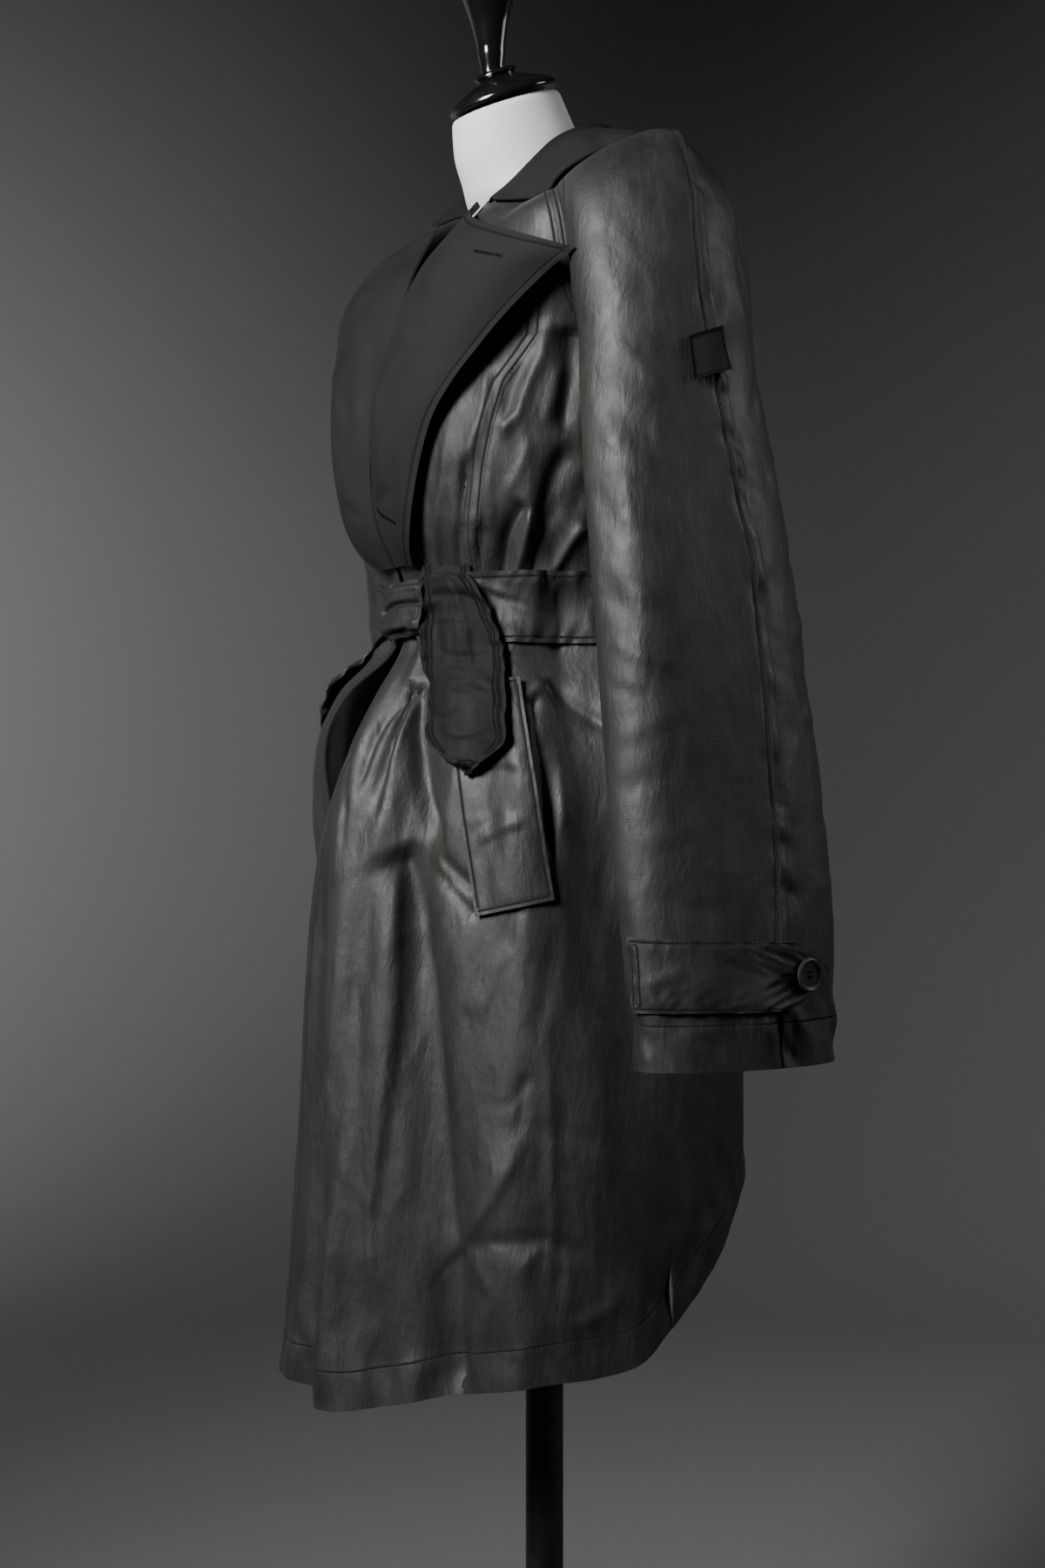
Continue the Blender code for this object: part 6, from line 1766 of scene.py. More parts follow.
@dataclass(frozen=True)
class WaxedCotton:
    """Satin waxed cotton with a fine weave, faint creases and felled seams."""

    name: str = "waxed_cotton"
    dark: tuple = (0.0120, 0.0110, 0.0096)
    light: tuple = (0.0235, 0.0218, 0.0192)
    worn: tuple = (0.0480, 0.0450, 0.0400)
    thread: tuple = (0.0045, 0.0042, 0.0040)
    shine: tuple = (0.50, 0.64)
    specular: float = 0.5
    relief: float = 0.0021
    # The dull facing colour, kept dark as painted shade, for the right front's turned-out stretch
    dull: tuple = (0.0085, 0.0078, 0.0072)
    warp: tuple = (950.0, 34.0, 1.0)
    weft: tuple = (46.0, 1000.0, 1.0)
    # How wide the seam's groove line is, where the colour is darkened as painted shade
    seam_line: tuple = (0.0003, 0.0014)
    stitch_line: tuple = (0.0003, 0.0013)
    seam_step: float = 0.0011
    seam_band: tuple = (0.0086, 0.0104)
    seam_relief: float = 0.0006
    weave_relief: float = 0.00030

    def material(self) -> bpy.types.Material:
        """The finish."""
        shading = Shading(self.name, self.light, 0.5, self.specular)
        at = shading.place()
        hanging = shading.stretched(shading.warped(at, 12.0, 0.03), (1.0, 1.0, 0.30))
        creases = shading.wrinkles(hanging, 34.0, 0.13)
        small = shading.wrinkles(shading.stretched(shading.warped(at, 40.0, 0.012),
                                                   (1.0, 1.0, 0.42)), 96.0, 0.16)
        clouds = shading.noise(hanging, 24.0, 7.0, 0.62).outputs["Fac"]
        weave = shading.place("UV")
        warp = shading.noise(shading.stretched(weave, self.warp), 1.0, 3.0)
        weft = shading.noise(shading.stretched(weave, self.weft), 1.0, 2.0)
        slubs = shading.summed(warp.outputs["Fac"], weft.outputs["Fac"], 0.5)
        tone = shading.ranged(clouds, 0.36, 0.64, 0.15, 0.85)
        tone = shading.summed(tone, shading.ranged(slubs, 0.55, 0.95, -1.0, 1.0), 0.34)
        colour = shading.blended(tone, self.dark, self.light)
        wear = shading.node("ShaderNodeMath", {"operation": "MULTIPLY"}, n0=creases,
                            n1=shading.ranged(clouds, 0.46, 0.60, 0.0, 0.12)).outputs[0]
        colour = shading.blended(wear, colour, self.worn)
        beside, sewn, dull = shading.marks()
        groove = shading.line(beside, *self.seam_line)
        stitched = shading.line(sewn, *self.stitch_line)
        # Along the seam's groove line the thread colour is painted in as painted shade in the groove;
        # along the stitch line it is the thread's own colour
        colour = shading.blended(shading.scaled(groove, 0.92), colour, self.thread)
        colour = shading.blended(shading.scaled(stitched, 0.90), colour, self.thread)
        # The right front's turned-out stretch gets the dull facing colour, painted dark as painted
        # shade
        shading.feed("Base Color", shading.blended(dull, colour, self.dull))
        patches = shading.noise(at, 40.0, 5.0).outputs["Fac"]
        gloss = shading.ranged(patches, 0.35, 0.65, *self.shine)
        gloss = shading.summed(shading.summed(gloss, dull, 0.3), stitched, 0.45)
        shading.feed("Roughness", shading.summed(gloss, groove, 0.45))
        step = shading.ranged(beside, 0.0, self.seam_step, 0.0, 1.0)
        band = shading.ranged(beside, *self.seam_band, 1.0, 0.0)
        raised = shading.node("ShaderNodeMath", {"operation": "MULTIPLY"}, n0=step, n1=band)
        seam = shading.summed(shading.scaled(raised.outputs[0], 0.8), groove, -0.4)
        seam = shading.summed(seam, stitched, -0.32)
        relief = shading.summed(shading.summed(clouds, creases, 0.12), small, 0.045)
        normal = shading.bump(relief, 1.0, self.relief)
        normal = shading.bump(seam, 0.7, self.seam_relief, normal)
        normal = shading.bump(slubs, 0.40, self.weave_relief, normal)
        shading.feed("Normal", normal)
        return shading.material


@dataclass(frozen=True)
class FacingCotton:
    """Dull near-black cotton twill."""

    name: str = "facing_cotton"
    dark: tuple = (0.0068, 0.0064, 0.0062)
    light: tuple = (0.0125, 0.0118, 0.0112)
    thread: tuple = (0.0030, 0.0028, 0.0027)
    roughness: float = 0.80
    specular: float = 0.26
    stitch_line: tuple = (0.0003, 0.0015)
    relief: float = 0.0024
    twill_relief: float = 0.00025

    def material(self) -> bpy.types.Material:
        """The finish."""
        shading = Shading(self.name, self.light, self.roughness, self.specular)
        at, weave = shading.place(), shading.place("UV")
        twill = shading.node("ShaderNodeTexWave", {"bands_direction": "DIAGONAL"}, Vector=weave,
                             Scale=230.0, Distortion=1.2, Detail=2.0).outputs["Fac"]
        fuzz = shading.noise(at, 900.0, 3.0).outputs["Fac"]
        clouds = shading.noise(at, 22.0, 6.0, 0.6).outputs["Fac"]
        tone = shading.summed(shading.ranged(clouds, 0.35, 0.65, 0.1, 0.9), fuzz, 0.25)
        stitched = shading.line(shading.marks()[1], *self.stitch_line)
        colour = shading.blended(tone, self.dark, self.light)
        shading.feed("Base Color", shading.blended(stitched, colour, self.thread))
        shading.feed("Roughness", shading.ranged(clouds, 0.3, 0.7, 0.74, 0.88))
        normal = shading.bump(shading.summed(clouds, stitched, -0.35), 0.40, self.relief)
        normal = shading.bump(shading.summed(twill, fuzz, 0.8), 0.25, self.twill_relief, normal)
        shading.feed("Normal", normal)
        return shading.material


@dataclass(frozen=True)
class FormJersey:
    """The form's smooth white cover."""

    name: str = "form_cotton"
    colour: tuple = (0.80, 0.79, 0.77)
    shade: tuple = (0.70, 0.69, 0.67)

    def material(self) -> bpy.types.Material:
        """The finish."""
        shading = Shading(self.name, self.colour, 0.62)
        at = shading.place()
        clouds = shading.noise(at, 30.0, 5.0).outputs["Fac"]
        knit = shading.noise(shading.stretched(at, (1500.0, 1500.0, 700.0)), 1.0, 2.0)
        tone = shading.ranged(clouds, 0.4, 0.7, 0.0, 0.5)
        shading.feed("Base Color", shading.blended(tone, self.colour, self.shade))
        shading.feed("Roughness", shading.ranged(clouds, 0.3, 0.7, 0.52, 0.70))
        shading.feed("Normal", shading.bump(knit.outputs["Fac"], 0.25, 0.0003))
        return shading.material


@dataclass(frozen=True)
class HardFinish:
    """A hard, dark finish with a faint unevenness in its gloss."""

    name: str
    colour: tuple
    worn: tuple
    gloss: tuple
    grain: float
    coat: float = 0.0
    metallic: float = 0.0
    specular: float = 0.5
    relief: float = 0.0001

    def material(self) -> bpy.types.Material:
        """The finish."""
        shading = Shading(self.name, self.colour, self.gloss[0], self.specular)
        at = shading.place()
        clouds = shading.noise(at, self.grain, 6.0, 0.6).outputs["Fac"]
        specks = shading.noise(at, self.grain * 9.0, 3.0).outputs["Fac"]
        tone = shading.ranged(clouds, 0.45, 0.75, 0.0, 1.0)
        shading.feed("Base Color", shading.blended(tone, self.colour, self.worn))
        shading.feed("Roughness", shading.ranged(clouds, 0.35, 0.7, *self.gloss))
        shading.feed("Normal", shading.bump(specks, 0.15, self.relief))
        shading.shader.inputs["Coat Weight"].default_value = self.coat
        shading.shader.inputs["Coat Roughness"].default_value = 0.05
        shading.shader.inputs["Metallic"].default_value = self.metallic
        return shading.material


@dataclass
class Finishes:
    """Every finish of the part, made once."""

    waxed: bpy.types.Material = field(default_factory=lambda: WaxedCotton().material())
    belt: bpy.types.Material = field(default_factory=lambda: WaxedCotton(
        "belt_cotton", (0.0090, 0.0082, 0.0072), (0.0175, 0.0162, 0.0142),
        (0.0380, 0.0355, 0.0315), (0.0035, 0.0033, 0.0031), (0.56, 0.70), 0.42).material())
    dull: bpy.types.Material = field(default_factory=lambda: WaxedCotton(
        "belt_reverse", (0.0068, 0.0062, 0.0054), (0.0120, 0.0110, 0.0098),
        (0.0260, 0.0240, 0.0215), (0.0030, 0.0028, 0.0026), (0.70, 0.84), 0.20).material())
    facing: bpy.types.Material = field(default_factory=lambda: FacingCotton().material())
    jersey: bpy.types.Material = field(default_factory=lambda: FormJersey().material())
    lacquer: bpy.types.Material = field(default_factory=lambda: HardFinish(
        "black_lacquer", (0.006, 0.006, 0.0065), (0.010, 0.010, 0.010), (0.10, 0.22), 30.0,
        coat=0.8).material())
    steel: bpy.types.Material = field(default_factory=lambda: HardFinish(
        "black_steel", (0.012, 0.012, 0.013), (0.022, 0.022, 0.022), (0.34, 0.5), 45.0,
        metallic=0.3).material())
    resin: bpy.types.Material = field(default_factory=lambda: HardFinish(
        "button_resin", (0.020, 0.0175, 0.015), (0.036, 0.031, 0.026), (0.40, 0.55), 190.0
    ).material())
    thread: bpy.types.Material = field(default_factory=lambda: HardFinish(
        "thread", (0.0045, 0.0042, 0.0040), (0.0085, 0.0080, 0.0075), (0.85, 0.95), 900.0,
        specular=0.08).material())


def dress(node: str) -> None:
    """Hide a CAD node that a sheet of cloth stands for.

    Args:
        node: the node it replaces.
    """
    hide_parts(node)


@dataclass
class Sleeves:
    """The two raglan sleeves with their overarm seams, hems, cuff tabs and buttons."""

    finishes: Finishes
    pattern: SleevePattern = field(default_factory=SleevePattern)
    rows: dict = field(default_factory=lambda: {Side.LEFT: 250, Side.RIGHT: 190})
    columns: dict = field(default_factory=lambda: {Side.LEFT: 124, Side.RIGHT: 90})
    hem_width: float = 0.030
    band_width: float = 0.0095
    nets: dict = field(default_factory=dict)
    cloths: dict = field(default_factory=dict)

    def draw(self, side: Side) -> None:
        """Draw one sleeve with its creases."""
        rows, turns, places = self.pattern.rows(side)
        net = with_places(rows, turns, places)
        if side is Side.RIGHT:
            net = net[:, ::-1]
        self.nets[side] = net
        last = SLEEVE_COLUMNS
        seam = SEAM_COLUMN if side is Side.LEFT else last - SEAM_COLUMN
        cloth = Cloth(net, self.rows[side], self.columns[side], (0,), (0, seam, last))
        self.cloths[side] = cloth
        fade = ease((cloth.b - 0.02) / 0.10) * ease((cloth.rim_distance(Rim.LOW)[0]) / 0.01)
        tube = ease((cloth.b - 0.20) / 0.12)
        edge = ease(cloth.side_distance() / 0.02)
        cloth.crumple(0.75, 0.044, 21 + int(side.value), fade * edge)
        cloth.crumple(0.22, 0.019, 31, fade * edge * (0.6 + 0.4 * tube))
        cloth.crease(SLEEVE_CREASES, 3.0, 5 if side is Side.LEFT else 9)
        cloth.seam(OVERARM_SEAM, -self.band_width, 0.85, 0.40)
        signed, along = cloth.path_distance(OVERARM_SEAM)
        cloth.pucker(signed + self.band_width, along, 1.6, 0.016, 0.008, 41)
        cloth.pucker(signed + self.band_width / 2.0, along, 2.4, 0.019, 0.007, 42)
        cloth.hem(Rim.LOW, self.hem_width, 0.30, 4.2, 0.017, 43)
        cloth.settle()

    def build(self, side: Side) -> None:
        """Build one sleeve, its stitches, its cuff tab and its button."""
        cloth = self.cloths[side]
        thread = Thread(self.finishes.thread)
        thread.over(cloth, [(a + BESIDE_OVERARM, b) for a, b in OVERARM_SEAM])
        thread.along(cloth, Rim.LOW, self.hem_width)
        for rim in (Rim.FIRST, Rim.LAST) if side is Side.LEFT else (Rim.LAST, Rim.FIRST):
            for distance in SIDE_STITCHES:
                thread.along(cloth, rim, distance, 0.64, 0.985)
        stitches = thread.make(f"stitches_sleeve_{side.word}", "waxed_cotton")
        name = f"sleeve_{side.word}"
        piece = cloth.make(f"{name}_cloth", WALL, self.finishes.waxed)
        dress(name)
        CuffTab(self.finishes, self.pattern, side, cloth.tree()).build()


@dataclass
class CuffTab:
    """A cuff tab with its pointed end, box stitching, buttonhole and four-hole button."""

    finishes: Finishes
    pattern: SleevePattern
    side: Side
    under: BVHTree
    rows: int = 26
    columns: int = 96
    steps: int = 24
    inset: float = 0.0026
    raised: float = 0.0045
    hole_radius: float = 0.00105
    hole_place: float = 0.0023
    thread_reach: float = 0.0024
    thread_heights: tuple = (0.00205, 0.00225)

    def on_sleeve(self, tree: BVHTree, along: float, turn: float, lift: float) -> tuple:
        """A point laid on the sleeve, and the outward direction there."""
        side = self.side
        here = self.pattern.point(along, turn, side)
        core = self.pattern.point(along, 0.0, side).lerp(
            self.pattern.point(along, 180.0, side), 0.5
        )
        across = self.pattern.point(along, turn + 1.0, side) - self.pattern.point(
            along, turn - 1.0, side
        )
        away = Vector((across.y, -across.x, 0.0)).normalized()
        if away.dot(here - core) < 0.0:
            away = -away
        start = here + away * TAB_LOOK
        return Laying.laid([tree], start, -away, lift, TAB_SPREAD), away

    def net(self) -> np.ndarray:
        """The tab's coarse net; its places are the turn and the part up the tab."""
        rows, turns, places = [], [], []
        middle, half = (TAB_LOW + TAB_HIGH) / 2.0, (TAB_LOW - TAB_HIGH) / 2.0
        for part in (-1.0, -0.75, -0.5, -0.25, 0.0, 0.25, 0.5, 0.75, 1.0):
            end = mix(TAB_POINT, TAB_SQUARE_END, abs(part))
            turn = [mix(TAB_START, end, i / self.steps) for i in range(self.steps + 1)]
            rise = self.raised * max(part, 0.0)
            rows.append([
                self.on_sleeve(self.under, middle - part * half - rise * (1.0 - i / self.steps),
                               t, TAB_LIFT)[0] for i, t in enumerate(turn)
            ])
            turns.append(turn)
            places.append(part)
        net = with_places(rows, turns, places)
        return net[:, ::-1] if self.side is Side.RIGHT else net

    def button(self, tree: BVHTree) -> None:
        """Turn the button, drill its four holes and sew it on."""
        middle = (TAB_LOW + TAB_HIGH) / 2.0
        place, away = self.on_sleeve(tree, middle, BUTTON_TURN, BUTTON_GAP)
        name = f"cuff_button_{self.side.word}"
        button = lathe(f"{name}_turned", BUTTON, 64, self.finishes.resin)
        for number in range(4):
            turn = math.radians(45.0 + 90.0 * number)
            spot = (math.cos(turn) * self.hole_place, math.sin(turn) * self.hole_place, 0.002)
            bpy.ops.object.select_all(action="DESELECT")
            bpy.ops.mesh.primitive_cylinder_add(
                vertices=16, radius=self.hole_radius, depth=0.02, location=spot
            )
            drill = bpy.context.active_object
            cut = button.modifiers.new("hole", "BOOLEAN")
            cut.object = drill
            cut.solver = "EXACT"
            select_only(button)
            bpy.ops.object.modifier_apply(modifier=cut.name)
            bpy.data.objects.remove(drill, do_unlink=True)
        facing = away.to_track_quat("Z", "Y").to_matrix().to_4x4()
        matrix = Matrix.Translation(place) @ facing
        button.data.transform(matrix)
        bpy.ops.object.shade_smooth_by_angle(angle=math.radians(BUTTON_SMOOTH))
        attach(button, BODY_NAME)
        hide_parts(name)
        self.sew(name, matrix)
        log.info("%s: %d faces", name, len(button.data.polygons))

    def sew(self, name: str, matrix: Matrix) -> None:
        """Lead thread through the button's holes."""
        thread = Thread(self.finishes.thread, pitch=0.0048, length=0.0046, width=0.0011,
                        rise=0.00055)
        reach = self.hole_place * math.cos(math.radians(45.0))
        for level in (-reach, reach):
            for lift in self.thread_heights:
                aside = level + (lift - self.thread_heights[0])
                ends = [Vector((x, aside, lift)) for x in (-self.thread_reach, self.thread_reach)]
                points = np.array([matrix @ end for end in ends])
                up = (matrix.to_3x3() @ Vector((0.0, 0.0, 1.0)))
                thread.row((points, np.array([up, up])))
        thread.make(f"{name}_thread", "button_resin")

    def build(self) -> None:
        """Build the tab and its button."""
        cloth = Cloth(self.net(), self.rows, self.columns)
        cloth.crumple(0.35, 0.020, 51)
        cloth.crease(TAB_CREASES, 1.5, 6)
        for rim in Rim:
            distance, along = cloth.rim_distance(rim)
            cloth.pucker(distance - self.inset, along, 1.2, 0.011, 0.008, 52)
            cloth.lift -= 0.0007 * ease((0.008 - distance) / 0.008)
        cloth.settle()
        thread = Thread(self.finishes.thread)
        first, last = (Rim.FIRST, Rim.LAST) if self.side is Side.LEFT else (Rim.LAST, Rim.FIRST)
        for rim in (Rim.LOW, Rim.HIGH):
            thread.along(cloth, rim, self.inset, 0.02, 0.97)
        thread.along(cloth, first, self.inset, 0.08, 0.92)
        thread.along(cloth, last, self.inset, 0.05, 0.95)
        thread.along(cloth, first, 0.0082, 0.1, 0.9)
        hole = Thread(self.finishes.thread, pitch=0.0009, length=0.0008, width=0.0034, rise=0.0006)
        hole.row(cloth.drawn([(8.0, 0.05), (19.0, 0.05)], 0.002))
        pieces = (thread.make(f"stitches_cuff_tab_{self.side.word}", "waxed_cotton"),
                  hole.make(f"buttonhole_cuff_{self.side.word}", "waxed_cotton"))
        name = f"cuff_tab_{self.side.word}"
        piece = cloth.make(f"{name}_cloth", WALL, self.finishes.belt)
        dress(name)
        self.button(cloth.tree())


@dataclass
class Patch:
    """The small bare patch, sewn on the left upper sleeve over the overarm seam."""

    finishes: Finishes
    tab: CuffTab
    rows: int = 30
    columns: int = 24
    inset: float = 0.0013

    def build(self) -> None:
        """Build the patch and its stitched edge."""
        rows, turns, places = [], [], []
        for level in (0.0, 0.5, 1.0):
            row = []
            for step in (0.0, 0.5, 1.0):
                along = mix(PATCH_LOW, PATCH_HIGH, level) - PATCH_SLANT * step
                turn = mix(*PATCH_TURNS, step) - PATCH_SKEW * level
                row.append(self.tab.on_sleeve(self.tab.under, along, turn, PATCH_LIFT)[0])
            rows.append(row)
            turns.append([0.0, 0.5, 1.0])
            places.append(level)
        cloth = Cloth(with_places(rows, turns, places), self.rows, self.columns)
        edge = np.minimum.reduce([cloth.rim_distance(rim)[0] for rim in Rim])
        cloth.lift += 0.0005 * ease((0.0026 - edge) / 0.0012)
        cloth.settle()
        thread = Thread(self.finishes.thread, pitch=0.0011, length=0.0010, width=0.0024)
        for rim in Rim:
            thread.along(cloth, rim, self.inset)
        stitches = thread.make("stitches_sleeve_patch", "facing_cotton")
        piece = cloth.make("sleeve_patch_cloth", 0.0009, self.finishes.facing)
        dress("sleeve_patch")


@dataclass
class CoatBody:
    """The two fronts and the back."""

    finishes: Finishes
    sleeves: Sleeves
    pattern: BodyPattern = field(default_factory=BodyPattern)
    hem_width: float = 0.028
    edge_inset: float = 0.007
    waist_radius: float = 0.13
    gather_reach: float = 0.055
    gather_depth: float = 0.0011
    nets: dict = field(default_factory=dict)
    cloths: dict = field(default_factory=dict)

    def draw(self) -> None:
        """Draw the three panels with their creases."""
        left = self.sleeves.pattern.rows(Side.LEFT)[0]
        right = self.sleeves.pattern.rows(Side.RIGHT)[0]
        self.nets["front_left"] = self.pattern.front(Side.LEFT, left)
        self.nets["front_right"] = self.pattern.front(Side.RIGHT, right)[:, ::-1]
        self.nets["back"] = self.pattern.back(left, right)
        for name, net in self.nets.items():
            panel = PANELS[name]
            spots = (0, net.shape[1] - 1)
            cloth = Cloth(net, panel.rows, panel.columns, (0,), spots)
            self.cloths[name] = cloth
            edge = cloth.side_distance()
            fade = ease(edge / 0.018) * ease(cloth.rim_distance(Rim.HIGH)[0] / 0.03)
            seed = panel.seed
            cloth.crumple(1.1, 0.062, seed, fade)
            cloth.crumple(0.42, 0.021, seed + 9, fade)
            cloth.crease(panel.creases, 3.0, seed + 3)
            cloth.pleat(panel.pleats)
            if name == "back":
                cloth.seam(CENTRE_BACK_SEAM, 0.008, 0.30, 0.25)
            else:
                cloth.seam(PRINCESS_SEAM, 0.007, 0.25, 0.3)
                signed, along = cloth.path_distance(PRINCESS_SEAM)
                cloth.pucker(signed, along, 0.45, 0.013, 0.010, seed + 5)
            cloth.hem(Rim.LOW, self.hem_width, 0.30, 3.4, 0.020, seed + 6)
            self.waist(cloth, seed)
            if name == "front_right":
                # The right front's turned-out stretch: dull facing colour, painted dark as painted
                # shade
                turned = ease((SHADED_FACING_ANGLE - cloth.a) / 2.0) * ease((SHADED_FACING_TOP - cloth.b) / 0.01)
                cloth.marks[..., 2] = turned * ease((cloth.b - SHADED_FACING_LOW) / 0.02)
            cloth.settle()

    def waist(self, cloth: Cloth, seed: int) -> None:
        """Gather the cloth where the belt draws it in."""
        along = np.radians(cloth.a) * self.waist_radius
        off_waist = cloth.b - WAIST_MIDDLE
        gathered = np.exp(-((off_waist / self.gather_reach) ** 2))
        flat = np.stack([along, off_waist * 0.12, np.zeros_like(along)], axis=-1)
        waves = uneven(flat, 0.014, seed + 7) + 0.6 * uneven(flat, 0.008, seed + 8)
        under_belt = 1.0 - 0.75 * ease(1.0 - (np.abs(off_waist) - 0.024) / 0.008)
        edge = cloth.side_distance()
        cloth.lift += self.gather_depth * waves * gathered * under_belt * ease(edge / 0.01)

    def build(self) -> None:
        """Build the panels and their stitches."""
        for name, cloth in self.cloths.items():
            thread = Thread(self.finishes.thread)
            thread.along(cloth, Rim.LOW, self.hem_width)
            if name == "back":
                thread.over(cloth, [(a + BESIDE_CENTRE_BACK, b) for a, b in CENTRE_BACK_SEAM])
            else:
                edges = (Rim.FIRST, Rim.LAST)
                free, side = edges if name == "front_left" else edges[::-1]
                thread.along(cloth, free, self.edge_inset, 0.0, 0.60)
                thread.over(cloth, [(a + BESIDE_PRINCESS, b) for a, b in PRINCESS_SEAM])
                for distance in SIDE_STITCHES:
                    thread.along(cloth, side, distance, 0.81, 0.985)
            stitches = thread.make(f"stitches_{name}", "waxed_cotton")
            piece = cloth.make(f"{name}_cloth", WALL, self.finishes.waxed)
            dress(name)

    def trees(self) -> dict:
        """Each panel's outer face, ready to be looked up."""
        return {name: cloth.tree() for name, cloth in self.cloths.items()}


@dataclass
class Lapels:
    """The turned-out lapels, which roll over the fronts' edges."""

    finishes: Finishes
    body: CoatBody
    rows: int = 110
    columns: int = 62
    tuck: float = 0.014
    closing: float = 0.012
    closing_height: float = 1.17
    closing_rise: float = 0.08
    roll_radius: float = 0.0021
    stitch_inset: float = 0.0055

    def net(self, side: Side) -> np.ndarray:
        """A lapel's coarse net; its places are the part across and the height on the roll."""
        table, edge = ((LEFT_LAPEL, LEFT_EDGE) if side is Side.LEFT else
                       (RIGHT_LAPEL, RIGHT_EDGE))
        pattern, sign = self.body.pattern, side.value
        rows, places, heights = [], [], []
        low, high = table[0].roll_height, table[-1].roll_height
        for number in range(LAPEL_ROWS):
            height = mix(low, high, number / (LAPEL_ROWS - 1))
            rising = float(ease((height - self.closing_height) / self.closing_rise))
            over = LAPEL_OVERHANG + self.closing * rising
            roll = pattern.edge_point(edge, height) - Vector((sign * over, 0.0, 0.0))
            roll_angle = angle_of(roll) * sign
            roll_radius = radius_of(roll) + LAPEL_STAND_OFF
            tip_angle = curve(table, "edge_angle", height)
            tip_height = curve(table, "edge_height", height)
            tip_radius = curve(table, "edge_radius", height)
            bulge = curve(table, "bulge", height)
            start_error = roll_radius - pattern.outline_radius(roll_angle, height)
            end_error = tip_radius - pattern.outline_radius(tip_angle, tip_height)
            row = []
            for column in range(LAPEL_COLUMNS + 1):
                part = column / LAPEL_COLUMNS
                angle = mix(roll_angle, tip_angle, part)
                level = mix(height, tip_height, part)
                radius = pattern.outline_radius(angle, level)
                radius += mix(start_error, end_error, part) + bulge * math.sin(math.pi * part)
                row.append(polar(angle * sign, level, radius))
            rows.append(self.rolled(row, sign))
            span = parts_of(LAPEL_COLUMNS)
            places.append(LAPEL_ROLL_PLACES + span)
            heights.append(height)
        net = with_places(rows, places, heights)
        return net[:, ::-1] if side is Side.RIGHT else net

    def rolled(self, row: list, sign: float) -> list:
        """A lapel's row led round the front's edge and a little way in behind it."""
        first = row[0]
        onward = (row[1] - row[0])
        onward.z = 0.0
        onward.normalize()
        away = Vector((onward.y, -onward.x, 0.0)) * sign
        if away.dot(Vector((first.x, first.y, 0.0))) < 0.0:
            away = -away
        thick = 2.0 * self.roll_radius
        centre = first - away * self.roll_radius
        back = first - away * thick
        return [
            back + onward * self.tuck,
            back + onward * self.tuck * 0.45,
            back,
            centre - onward * self.roll_radius,
            first - away * self.roll_radius * 0.3 - onward * self.roll_radius * 0.72,
        ] + row

    def build(self, side: Side, trees: list) -> BVHTree:
        """Build one lapel.

        Args:
            side: which lapel.
            trees: the cloths under it.

        Returns:
            The lapel's outer face.
        """
        cloth = Cloth(self.net(side), self.rows, self.columns)
        out = cloth.a > 0.03
        cloth.crumple(0.55, 0.055, 71 + int(side.value), ease(cloth.a / 0.3))
        cloth.crumple(0.22, 0.018, 75, ease(cloth.a / 0.3))
        cloth.crease(LAPEL_CREASES, 2.0, 72)
        outer = Rim.LAST if side is Side.LEFT else Rim.FIRST
        for rim in (outer, Rim.HIGH):
            cloth.sewn_edge(rim, self.stitch_inset, (0.22, 0.010, 0.005), 73, 0.0003, 0.0016, out)
            beyond = self.stitch_inset - cloth.rim_distance(rim)[0]
            cloth.lift += 0.0002 * ease(beyond / 0.001) * out
        cloth.settle()
        Laying.clear(cloth, trees, LAPEL_CLEARANCE + 0.0004, out)
        thread = Thread(self.finishes.thread)
        thread.along(cloth, outer, self.stitch_inset)
        thread.along(cloth, Rim.HIGH, self.stitch_inset, 0.2, 0.97)
        hole = Thread(self.finishes.thread, pitch=0.0009, length=0.0008, width=0.0036, rise=0.0005)
        for ends in LAPEL_BUTTONHOLES[side]:
            hole.row(cloth.drawn(ends, 0.002))
        pieces = (thread.make(f"stitches_lapel_{side.word}", "facing_cotton"),)
        if hole.faces:
            pieces += (hole.make(f"buttonholes_lapel_{side.word}", "facing_cotton"),)
        name = f"lapel_{side.word}"
        piece = cloth.make(f"{name}_cloth", WALL, self.finishes.facing)
        dress(name)
        return cloth.tree()


